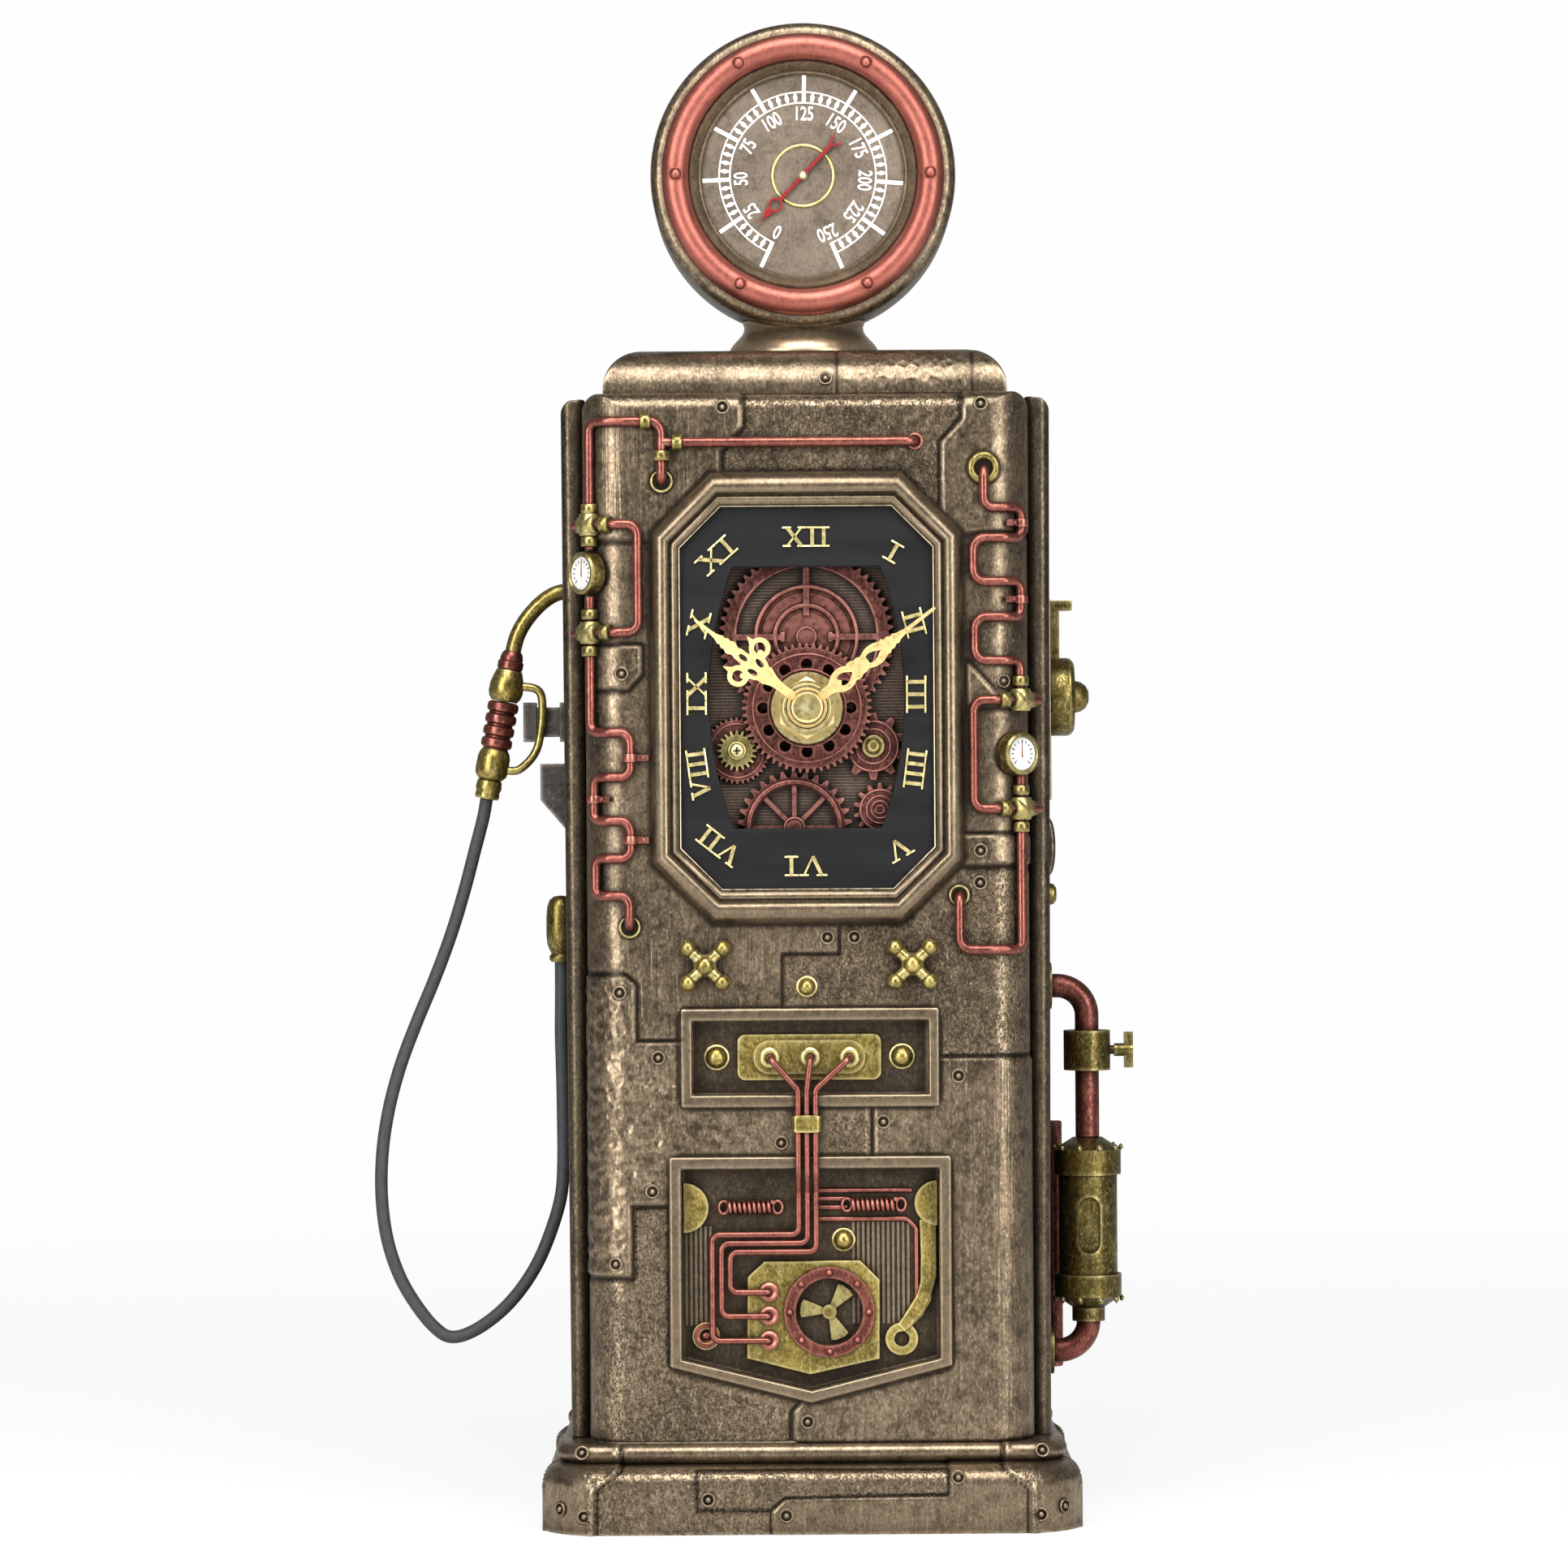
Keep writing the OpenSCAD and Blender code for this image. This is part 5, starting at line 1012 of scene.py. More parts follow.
def front_relief(x, z, looks):
    rise = np.zeros(x.shape)
    seam_and_shade = np.zeros(x.shape)
    for outline in PLATES:
        d = distance_to(x, z, outline)
        rise = np.maximum(rise, looks.plate_rise * (1 - ramp(d, -0.45, 0.15)))
        seam_and_shade = np.maximum(seam_and_shade, 1 - ramp(np.abs(d - 0.4), 0.32, 0.75))
    for line in SEAMS:
        d = distance_along(x, z, line)
        seam_and_shade = np.maximum(seam_and_shade, 1 - ramp(d, 0.2, 0.7))
    pitted = sum(1 - ramp(distance_to(x, z, o), -0.8, 0.1) for o in PITTED)
    hammered = sum(1 - ramp(distance_to(x, z, o), -1.6, 0.1) for o in HAMMERED)
    brushed = sum(1 - ramp(distance_to(x, z, o), -1.0, 0.2) for o in BRUSHED)
    lift = SKIN_LIFT + rise - looks.seam_depth * seam_and_shade
    lift -= np.clip(hammered, 0, 1) * dents(x, z, (-46, -4), (48, 110), 620, 0.2)
    lift = np.maximum(lift, SKIN_OFF)
    # Painted shade: dark rings round the screw heads, where they meet the skin
    for sx, sz in FRONT_SCREWS:
        seam_and_shade = np.maximum(seam_and_shade, 1 - ramp(np.hypot(x - sx, z - sz), 1.0, 1.35))
    # Painted shade round the rings that the pipes go in by
    for side, inset, dz, r in GROMMETS:
        away = np.hypot(x - side * (FRONT_W / 2 - inset), z - CLOCK_Z - dz)
        seam_and_shade = np.maximum(seam_and_shade, 1 - ramp(away, r + 0.1, r + 0.6))
    # Painted shade: a dark contact line round the bezel
    seam_and_shade = np.maximum(seam_and_shade, 0.85 * (1 - ramp(np.abs(distance_to(x, z, BEZEL) - 0.2), 0.3, 0.8)))
    for outline, depth in ((BAY, BAY_DEPTH), (TERMINAL_BOX, BOX_DEPTH)):
        d = distance_to(x, z, outline)
        # Painted shade: a dark contact line round the frames of the bay and the terminal box
        seam_and_shade = np.maximum(seam_and_shade, 0.85 * (1 - ramp(np.abs(d - FRAME_BAR - 0.3), 0.3, 0.8)))
        sunk = 1 - ramp(d, 0.1, 0.9)
        lift = lift * (1 - sunk) + (SKIN_LIFT - depth) * sunk
        for mask in (pitted, hammered, brushed, seam_and_shade):
            mask *= 1 - sunk
        # Painted shade on the sunk floors of the bay and the terminal box
        seam_and_shade = np.maximum(seam_and_shade, 0.7 * sunk)
    return lift, np.clip(pitted, 0, 1), np.clip(hammered, 0, 1), np.clip(brushed, 0, 1), np.clip(seam_and_shade, 0, 1)


def plate_height(x, z, looks):
    """Height of the skin's plates at one place."""
    on_plate = any(distance_to(np.array([x]), np.array([z]), outline)[0] < 0 for outline in PLATES)
    return SKIN_LIFT + looks.plate_rise * on_plate


def build_front(looks):
    step = looks.skin_step
    flat = FRONT_W / 2 - FRONT_R
    arc = FRONT_R * math.pi / 2
    reach = flat + arc + 3.0
    across = np.linspace(-reach, reach, int(2 * reach / step) + 1)
    over = TOP_R * math.pi / 2
    wall = BODY_TOP - TOP_R - BASE_TOP
    up = np.linspace(0, wall + over + 4.0, int((wall + over + 4.0) / step) + 1)
    side = np.sign(across)
    turn = np.clip((np.abs(across) - flat) / FRONT_R, 0, math.pi / 2)
    past = np.clip(np.abs(across) - flat - arc, 0, None)
    plan_x = side * np.where(turn > 0, flat + FRONT_R * np.sin(turn), np.abs(across))
    plan_y = FRONT_Y + FRONT_R * (1 - np.cos(turn)) + past
    normal_x, normal_y = side * np.sin(turn), -np.cos(turn)
    bend = np.clip((up - wall) / TOP_R, 0, math.pi / 2)
    inset = TOP_R * (1 - np.cos(bend)) + np.clip(up - wall - over, 0, None)
    height = BASE_TOP + np.where(up < wall, up, wall + TOP_R * np.sin(bend))
    grid_x = np.broadcast_to(plan_x, (len(up), len(across)))
    shadow_z = BASE_TOP + np.minimum(up, wall + over)
    grid_z = np.broadcast_to(shadow_z[:, None], grid_x.shape)
    lift, pitted, hammered, brushed, seam_and_shade = front_relief(grid_x.copy(), grid_z.copy(), looks)
    border = np.minimum(across + reach, reach - across) / 2.0
    lift = lift - 0.5 * (1 - np.clip(border, 0, 1))[None, :]
    lift[0, :] -= 0.4
    lift[-1, :] -= 0.5
    x = np.sign(grid_x) * np.minimum(np.abs(grid_x), FRONT_W / 2 - inset[:, None])
    y = np.maximum(np.broadcast_to(plan_y, grid_x.shape), FRONT_Y + inset[:, None])
    lean = np.cos(bend)[:, None]
    points = np.stack([x + lift * normal_x * lean, y + lift * normal_y * lean,
                       np.broadcast_to(height[:, None], grid_x.shape) + lift * np.sin(bend)[:, None]], -1)
    faces = grid_faces(grid_x.shape)[1]
    keep = (distance_to(grid_x.copy(), grid_z.copy(), BEZEL) > -2.0).ravel()
    faces = faces[keep[faces].all(1)]
    used = np.unique(faces)
    renamed = np.full(grid_x.size, -1)
    renamed[used] = np.arange(len(used))
    skin = new_object("front_skin", points.reshape(-1, 3)[used].tolist(), renamed[faces].tolist())
    for name, values in (("pitted", pitted), ("hammered", hammered), ("brushed", brushed), ("seam_and_shade", seam_and_shade)):
        field(skin, name, values.ravel()[used])
    skin.data.shade_smooth()
    carry(skin, "cast_bronze")
    coat("case_shell", "cast_bronze")


# Base
# Points on each side and each cut corner of the base
SIDE_POINTS = 190
CORNER_POINTS = 20


def octagon_ring(w, d, c):
    """Points round the base and the direction out of it at each."""
    corners = [Vector((x, -y)) for x, y in octagon(w, d, c)]
    ring, out = [], []
    for i, (a, b) in enumerate(zip(corners, corners[1:] + corners[:1])):
        cut = i % 2 == 0
        count = CORNER_POINTS if cut else SIDE_POINTS
        normal = Vector((b.y - a.y, a.x - b.x)).normalized()
        for k in range(count):
            bulge = 0.15 * c * math.sin(math.pi * k / count) if cut else 0.0
            ring.append(a.lerp(b, k / count) + normal * bulge)
            out.append(normal)
    return ring, out


# Place and direction of each screw on the base and the roof
BASE_SCREWS = [((x, -43.8 if abs(x) < 44 else -43.4, z), (0, -1, 0))
               for x, z in ((-20.3, 6.9), (-5.1, 3.7), (28.4, 11.0), (44.5, 3.6), (-44.5, 3.7))]
for end in (-1, 1):
    BASE_SCREWS += [((end * 49.3, -40.4, 4.9), (end * 0.7, -0.7, 0)),
                    ((end * 45.0, -38.6, 15.6), (end * 0.2, -0.9, 0.3))]
ROOF_SCREWS = [((4.1, -29.8, 226.0), (0, -0.95, 0.3)), ((36.5, -26.0, 228.0), (0.5, -0.7, 0.5))]


def screw_shade(points, screws):
    """Dark rings round screws, for points of a casting."""
    shade = np.zeros(points.shape[:-1])
    for spot, _ in screws:
        shade = np.maximum(shade, 1 - ramp(np.linalg.norm(points - np.array(spot), axis=-1), 1.0, 1.4))
    return shade


BASE_PATCH = [(-22.5, 12.4), (26.6, 12.4), (26.6, 7.4), (-5.2, 7.0), (-7.8, 4.8), (-22.5, 4.8)]
BASE_PLATE = [(-5.2, 7.0), (26.6, 7.4), (26.6, 13.4), (70, 13.4), (70, -2), (-7.8, -2), (-7.8, 4.8)]


def base_rings():
    """Width, depth, cut, height, and share of lift outward and upward, of each ring of points."""
    heights = (0.0, 0.5, *np.arange(1.0, BASE_SHOULDER, 0.45))
    rings = [(BASE_W, BASE_D, BASE_CUT, z, 1.0, 0.0) for z in heights]
    for a in np.linspace(0.1, math.pi / 2, 9):
        back = BASE_CROWN * (1 - math.cos(a))
        rings.append((BASE_W - 2 * back, BASE_D - 2 * back, BASE_CUT - 0.586 * back,
                      BASE_SHOULDER + BASE_CROWN * math.sin(a), math.cos(a), math.sin(a)))
    rings.append((BODY_W + 0.2, BODY_D + 0.2, 5.0, BASE_TOP - 2 * BEAD_R, 0.0, 1.0))
    for a in np.linspace(-math.pi / 2, math.pi / 2, 13):
        grow = 2 * BEAD_R * math.cos(a)
        rings.append((BODY_W + grow, BODY_D + grow, 5.0, BASE_TOP - BEAD_R + BEAD_R * math.sin(a),
                      math.cos(a), max(0.0, math.sin(a))))
    rings.append((80.0, 60.0, 5.0, BASE_TOP, 0.0, 0.0))
    return rings


def base_relief(spots, z):
    """Lift of one ring of the base, and where it is pitted, seamed and brushed."""
    back = 5.0 * ramp(np.array(z), 8.0, 13.0)
    along = np.minimum(np.abs(spots[:, 0]) - 42.6 + back, np.abs(spots[:, 1]) - 33.9 + back)
    guard = ramp(along, -0.3, 0.3)
    lip = ramp(along, -0.3, 0.4) * (1 - ramp(along, 0.5, 1.4))
    front = (spots[:, 1] < -30) & (np.abs(spots[:, 0]) < 44)
    plain = front & (guard < 0.5)
    heights = np.full(len(spots), z)
    patch = distance_to(spots[:, 0], heights, BASE_PATCH)
    plate = distance_to(spots[:, 0], heights, BASE_PLATE)
    raised = np.where(plain, 0.3 * (1 - ramp(plate, -0.4, 0.1)), 0)
    cut = np.maximum(1 - ramp(np.abs(patch), 0.1, 0.45), 1 - ramp(np.abs(plate - 0.3), 0.1, 0.45))
    cut = np.maximum(np.where(plain, cut, 0), 1 - ramp(np.abs(along + 0.6), 0.15, 0.5))
    lift = raised - 0.15 * cut + guard * 0.45 + lip * 0.35
    if z > BASE_TOP - 0.1:
        lift = lift * 0
    stipple = np.where(plain, np.clip(1 - ramp(plate, -0.2, 0.3), 0, 1), 1 - guard)
    under_crown = z < 12.8
    pitted = np.where(front, 1 - stipple, 0.75 * stipple) * under_crown
    return lift, {"pitted": pitted, "seam_and_shade": cut, "brushed": np.where(front, stipple, 0) * under_crown}


def build_base(looks):
    rings = base_rings()
    points, marks = [], []
    for w, d, c, z, out_part, up_part in rings:
        ring, normals = octagon_ring(w, d, c)
        spots = np.array([tuple(p) for p in ring])
        lift, mark = base_relief(spots, z)
        marks.append(mark)
        for spot, normal, rise in zip(spots, normals, lift):
            out = rise * out_part
            points.append((spot[0] + normal.x * out, spot[1] + normal.y * out, z + rise * up_part * 0.6))
    base = new_object("base_casting", points, band_faces(len(rings), len(points) // len(rings)))
    shade = screw_shade(np.array(points), BASE_SCREWS)
    for name in marks[0]:
        values = np.concatenate([mark[name] for mark in marks])
        field(base, name, np.maximum(values, shade) if name == "seam_and_shade" else values)
    base.data.shade_smooth()
    base.data.set_sharp_from_angle(angle=math.radians(50))
    carry(base, "base_bronze", stands_for=("base_plinth", "base_corner_guards"))


def roof_profile(width):
    """Places across the roof, their heights and how far they lean outward."""
    flat = width / 2 - ROOF_R
    arc = ROOF_R * math.pi / 2
    total = flat + arc + (ROOF_H - ROOF_R)
    s = np.linspace(-total, total, int(2 * total / 0.6))
    bend = np.clip((np.abs(s) - flat) / ROOF_R, 0, math.pi / 2)
    down = np.clip(np.abs(s) - flat - arc, 0, None)
    place = np.sign(s) * np.where(bend > 0, flat + ROOF_R * np.sin(bend), np.abs(s))
    return place, ROOF_H - ROOF_R * (1 - np.cos(bend)) - down, np.sign(s) * np.sin(bend)


# Left and right seam of the roof's hammered patch
PATCH_LEFT = 6.4
PATCH_RIGHT = 32.9


def build_roof(looks):
    xs, zx, tilt_x = roof_profile(ROOF_W)
    ys, zy, tilt_y = roof_profile(ROOF_D)
    x, y = np.meshgrid(xs, ys)
    z = np.minimum(zx[None, :], zy[:, None])
    seam_and_shade = 1 - ramp(np.minimum(np.abs(x - PATCH_LEFT), np.abs(x - PATCH_RIGHT)), 0.1, 0.6)
    hammered = ramp(x, PATCH_LEFT + 0.4, PATCH_LEFT + 1.2)
    hammered *= 1 - ramp(x, PATCH_RIGHT - 1.1, PATCH_RIGHT - 0.3)
    grow = SKIN_LIFT - 0.2 * seam_and_shade
    points = np.stack([x + tilt_x[None, :] * grow * 0.5, y + tilt_y[:, None] * grow,
                       z + ROOF_TOP - ROOF_H + grow * 0.6], -1)
    points[..., 2] = np.minimum(points[..., 2], ROOF_TOP + 0.1)
    index, faces = grid_faces(x.shape)
    rim = [*index[0, :], *index[1:, -1], *index[-1, -2::-1]]
    faces = faces.tolist() + [tuple(int(i) for i in reversed(rim))]
    roof = new_object("roof_casting", points.reshape(-1, 3).tolist(), faces)
    seam_and_shade = np.maximum(seam_and_shade * 0.9, screw_shade(points, ROOF_SCREWS))
    for name, values in (("hammered", hammered), ("seam_and_shade", seam_and_shade), ("brushed", 0.4 * (1 - hammered))):
        field(roof, name, values.ravel())
    roof.data.shade_smooth()
    carry(roof, "cast_bronze", stands_for=("roof_cap",))


# Gauge head
# Steps of the lines round the scale
ARC_STEPS = 120


def scale_arc(lines, radius):
    """A thin line round the gauge's scale."""
    low, high = GAUGE_FACE, GAUGE_FACE + 0.06
    band = [(radius - 0.14, low), (radius - 0.14, high), (radius + 0.14, high), (radius + 0.14, low)]
    points = []
    for k in range(ARC_STEPS + 1):
        a = math.radians(GAUGE_START + (GAUGE_MARKS - 1) * GAUGE_STEP * k / ARC_STEPS)
        points += [(r * math.sin(a), r * math.cos(a), h) for r, h in band]
    lines.add(points, band_faces(ARC_STEPS + 1, len(band)), on_head())


def on_gauge(mark, radius, lift=GAUGE_FACE):
    """Place at a mark of the scale, upright along the radius."""
    return on_head(lift) @ clockwise(GAUGE_START + GAUGE_STEP * mark) @ Matrix.Translation((0, radius, 0))


def build_gauge_scale():
    lines = Form()
    for radius in (SCALE_IN, SCALE_OUT):
        scale_arc(lines, radius)
    for i in range(GAUGE_MARKS):
        lines.words(str(25 * i), 3.9, on_gauge(i, 12.3))
    diamond = mirrored([(-0.13, SCALE_IN), (-0.46, 15.68), (-0.13, SCALE_OUT)])
    for i in range(5 * (GAUGE_MARKS - 1)):
        if i % 5:
            lines.slab(diamond, 0, 0.06, on_gauge(i / 5, 0))
    piece(lines, "gauge_scale", "scale_white")
    ticks = [(on_gauge(i, 17.3, -2.47), (0.8, 5.6, 0.1)) for i in range(GAUGE_MARKS)]
    bars("gauge_ticks", ticks, "scale_white")


def build_needle():
    needle = Form()
    place = on_head(-4) @ clockwise(223.4)
    blade = [(-0.62, 9.3), (-0.85, 10.2), (-0.42, 10.9), (-0.16, 11.6), (0, 13.9)]
    outline = blade + [(-x, y) for x, y in reversed(blade[:-1])]
    needle.slab(outline, 2.0, 2.5, place)
    loop = [(1.45, 2.02), (1.45, 2.52), (1.02, 2.52), (1.02, 2.02)]
    needle.lathe(loop, place @ Matrix.Translation((0, 8.1, 0)), 24, loop=True)
    stroke(needle, (0, 6.9), (0, -8.3), 0.7, 2.0, 2.5, place)
    for s in (-1, 1):
        stroke(needle, (0, -8.0), (s * 1.2, -10.0), 0.5, 2.01, 2.49, place)
    needle.lathe([(0, 0), (0.6, 0), (0.6, 2.05), (0, 2.05)], place, 16)
    piece(needle, "red_needle", "needle_red", "needle", ("gauge_needle",), edge=0.07)
    pin = Form().ball(0.95, on_head(-1.9), 0.9, low=0)
    piece(pin, "needle_pin", "fresh_brass", "needle")


def build_head(looks):
    r, inner = HEAD_R, HEAD_R - HEAD_ROUND
    curve = [(0, -HEAD_D), (inner, -HEAD_D)]
    curve += [(inner + HEAD_ROUND * math.sin(a), HEAD_ROUND * (1 - math.cos(a)) - HEAD_D)
              for a in np.linspace(0.15, math.pi / 2, 10)]
    curve += [(r, -2.2), (r - 0.25, -1.2), (r - 0.9, -0.4), (r - 1.8, 0), (22.6, 0), (22.6, -4), (0, -4)]
    piece(Form().lathe(curve, on_head(), 128), "head_casting", "cast_bronze",
          stands_for=("gauge_housing",))
    foot = [(0, 0), (15.25, 0), (15.3, 0.6), (15.15, 1.4), (14.7, 2.3), (14.0, 3.2), (13.2, 4.0), (12.5, 4.8),
            (12.1, 5.6), (12.0, 6.4), (12.4, 7.4), (0, 7.4)]
    neck = Form().lathe(foot, Matrix.Translation((0, 0, ROOF_TOP)), 72)
    # The neck wears the lit copy of the bronze: painted light
    piece(neck, "neck_casting", "painted_lit_bronze", stands_for=("gauge_neck",))
    ring = [(25.5 + 2.7 * math.cos(a), 2.7 * math.sin(a)) for a in np.linspace(0, math.pi, 21)]
    ring += [(22.8, -0.2), (28.2, -0.2)]
    piece(Form().lathe(ring, on_head(), 144, loop=True), "copper_ring", "ring_copper",
          stands_for=("gauge_bezel",), angle=60)
    rim = [(22.75, 0.3), (22.3, 0.5), (21.9, 0.1), (21.2, -1.3), (20.9, -1.6), (20.5, -1.5), (20.2, -1.8),
           (20.2, -2.6), (22.75, -2.6)]
    piece(Form().lathe(rim, on_head(), 128, loop=True), "dial_rim", "dull_bronze", angle=25)
    face = [(0.66, -4), (0.66, GAUGE_FACE), (22.5, GAUGE_FACE), (22.5, -4)]
    piece(Form().lathe(face, on_head(), 128, loop=True), "gauge_face", "gauge_ground",
          stands_for=("gauge_dial",))
    hoop = circle(6.1, GAUGE_FACE, 0.36, 11)
    piece(Form().lathe(hoop, on_head(), 64, loop=True), "dial_hoop", "old_brass", angle=80)
    build_gauge_scale()
    build_needle()
    rivets = []
    for i in range(6):
        a = math.radians(60 * i)
        spot = on_head(2.6) @ Vector((25.4 * math.cos(a), 25.4 * math.sin(a), 0))
        rivets.append((spot, (0, -1, 0), 1.15))
    studs("ring_rivets", rivets, "ring_copper", dome=0.85, ring=1.12, wire=0.14)


# Clock
HOUR_HALF = [(0.95, 3.2), (0.85, 5.6), (0.95, 7.4), (1.2, 8.6), (1.6, 9.5), (1.8, 10.2), (1.75, 10.8),
             (2.1, 11.4), (2.4, 12.2), (2.45, 13.0), (2.1, 13.9), (1.6, 14.7), (1.2, 15.4), (1.15, 16.2),
             (1.15, 17.0), (0.95, 17.9), (1.3, 18.7), (1.3, 19.3), (1.0, 19.8), (1.15, 20.4), (0.8, 21.0),
             (0.92, 21.6), (0.6, 22.3), (0.38, 23.6), (0.34, 25.5), (0.26, 27.5), (0.1, 27.8)]
MINUTE_HALF = [(1.0, 3.2), (0.95, 5.5), (1.2, 6.3), (1.9, 7.2), (2.25, 8.4), (2.3, 9.4), (2.05, 10.3),
               (1.75, 10.9), (2.0, 11.5), (1.9, 12.2), (1.6, 12.8), (1.75, 13.4), (1.5, 14.0), (1.6, 14.6),
               (2.0, 15.6), (2.1, 16.8), (1.9, 18.0), (1.5, 18.9), (1.65, 19.4), (1.25, 20.0), (1.35, 20.6),
               (0.95, 21.3), (1.1, 21.9), (0.75, 22.6), (0.6, 23.6), (0.42, 24.6), (0.36, 28.0), (0.3, 31.3),
               (0.12, 31.6)]


def flat_line(points):
    line = smooth_line([(x, y, 0) for x, y in points], 3)
    return [(p.x, p.y) for p in line]


def build_hands(looks):
    hour = Form()
    place = on_front(0, SHAFT_Z, 4.5) @ clockwise(308.3)
    gaps = [oval(0, 15.8, 0.5, 1.0), oval(1.15, 12.6, 0.58, 1.05, -0.2), oval(-1.15, 12.6, 0.58, 1.05, 0.2)]
    hour.slab(mirrored(flat_line(HOUR_HALF)), 0, 0.6, place, gaps)
    hour.lathe([(2.65, 0.01), (2.65, 0.61), (3.95, 0.61), (3.95, 0.01)], place, 48, loop=True)
    for s in (-1, 1):
        hoop = [(1.15, 0.005), (1.15, 0.605), (2.1, 0.605), (2.1, 0.005)]
        hour.lathe(hoop, place @ Matrix.Translation((s * 3.45, 14.4, 0)), 36, loop=True)
        hour.slab([(s * 1.2, 15.2), (s * 2.4, 15.9), (s * 3.8, 17.9), (s * 4.0, 16.3), (s * 3.0, 15.9),
                   (s * 2.2, 14.6)], 0.003, 0.603, place)
        hour.slab([(s * 1.6, 11.6), (s * 2.9, 12.6), (s * 2.6, 13.6), (s * 1.6, 14.2)], 0.004, 0.604, place)
        hour.slab(circle(s * 2.85, 13.7, 0.55), 0.002, 0.602, place)
    piece(hour, "pierced_hour_hand", "hand_gold", "hour", ("hour_hand",), edge=0.06)
    minute = Form()
    place = on_front(0, SHAFT_Z, 5.7) @ clockwise(52.4)
    gaps = [mirrored(flat_line(half)) for half in (
        [(0.02, 8.5), (0.75, 8.0), (1.15, 8.6), (1.1, 9.5), (0.6, 10.4), (0.02, 11.2)],
        [(0.02, 15.0), (0.7, 15.0), (0.95, 15.8), (0.65, 17.0), (0.02, 18.1)])]
    minute.slab(mirrored(flat_line(MINUTE_HALF)), 0, 0.6, place, gaps)
    minute.lathe([(1.52, 0.01), (1.52, 0.61), (3.95, 0.61), (3.95, 0.01)], place, 48, loop=True)
    piece(minute, "pierced_minute_hand", "minute_gold", "minute", ("minute_hand",), edge=0.06)
    cap = [(1.5, 0), (3.3, 0), (3.4, 0.25), (3.4, 1.2), (3.25, 1.6), (3.0, 1.85), (2.75, 1.9), (2.6, 1.7),
           (0, 1.65)]
    cap += [(0, 0.95), (1.5, 0.95)]
    piece(Form().lathe(cap, on_front(0, SHAFT_Z, 6.3), 56), "hand_button", "fresh_brass",
          "minute", ("hand_cap",), angle=30)


# Text of each numeral, its place from the shaft, its turn and its width
NUMERALS = [("XII", 0, 33.5, 0, 9.3), ("I", 17.1, 30.4, 30, 2.9), ("II", 21.1, 16.5, 76, 5.4),
            ("III", 21.4, 2.5, 90, 7.3), ("IIII", 21.1, -12.1, 97, 7.7), ("V", 17.8, -27.8, 150, 5.2),
            ("VI", -0.4, -31, 180, 8.4), ("VII", -17.3, -27, 218, 9.2), ("VIII", -21.3, -12.9, 262, 9.9),
            ("IX", -21.6, 2.9, 270, 8.4), ("X", -21.1, 16.5, 284, 5.4), ("XI", -17.6, 29.9, 318, 8.3)]
# Width of each letter, its strokes and its serifs, as shares of its width and height
LETTERS = {
    "I": (2.1, [(0.5, 0, 0.5, 1, 0.72)], [(0, 1, 0), (0, 1, 1)]),
    "V": (4.4, [(0.19, 1, 0.5, 0, 0.72), (0.81, 1, 0.5, 0, 0.38)], [(0, 0.38, 1), (0.64, 0.98, 1)]),
    "X": (4.4, [(0.19, 1, 0.81, 0, 0.72), (0.81, 1, 0.19, 0, 0.38)],
          [(0, 0.38, 1), (0.64, 0.98, 1), (0.02, 0.36, 0), (0.62, 1, 0)]),
}


def build_numerals():
    form = Form()
    for text, x, z, turn, width in NUMERALS:
        place = on_front(x, SHAFT_Z + z) @ clockwise(turn)
        stretch = width / sum(LETTERS[letter][0] for letter in text)
        left = -width / 2
        for letter in text:
            span, strokes, serifs = LETTERS[letter]
            span *= stretch
            for x0, y0, x1, y1, thick in strokes:
                ends = [(left + u * span, 3.7 * (v - 0.5)) for u, v in ((x0, y0), (x1, y1))]
                stroke(form, *ends, thick, 0, 0.5, place)
            for x0, x1, v in serifs:
                height = 3.6 * (v - 0.5)
                stroke(form, (left + x0 * span, height), (left + x1 * span, height), 0.36, 0, 0.48, place)
            left += span
    piece(form, "raised_numerals", "numeral_gold", stands_for=("dial_numerals",), edge=0.06)


NUT_BORE = 4.15


def ring_sweep(form, outline_at, profile, place):
    """A moulding round an outline: each profile point is an inset and a height."""
    loops = [[(x, y, lift) for x, y in outline_at(inset)] for inset, lift in profile]
    form.add([p for loop in loops for p in loop], band_faces(len(loops), len(loops[0]), True), place)


def hex_nut(form, flats, low, high, place):
    """A nut with a corner up, its corners cut back by a cone and a low collar on top."""
    rows = []
    shoulder = 0.515 * flats
    for a in full_turn(72):
        off = (a + math.pi / 6) % (math.pi / 3) - math.pi / 6
        wall = flats / 2 / math.cos(math.pi / 6 - abs(off))
        top = high - 0.6 * max(0.0, wall - shoulder)
        sides = [(NUT_BORE, low), (wall, low), (wall, top), (min(wall, shoulder), high), (4.7, high),
                 (4.6, high + 0.25), (NUT_BORE, high + 0.25)]
        rows.append([(r * math.sin(a), r * math.cos(a), h) for r, h in sides])
    form.add([p for row in rows for p in row], band_faces(len(rows), len(rows[0]), True), place)


# Places of the relief wheels from the shaft
TOP_WHEEL = (0, 14)
LOW_WHEEL = (-2.6, -23.5)
RIGHT_WHEEL = (13, -7.6)
CORNER_WHEEL = (14.3, -20.1)
PINION = (-13.8, -8.3)
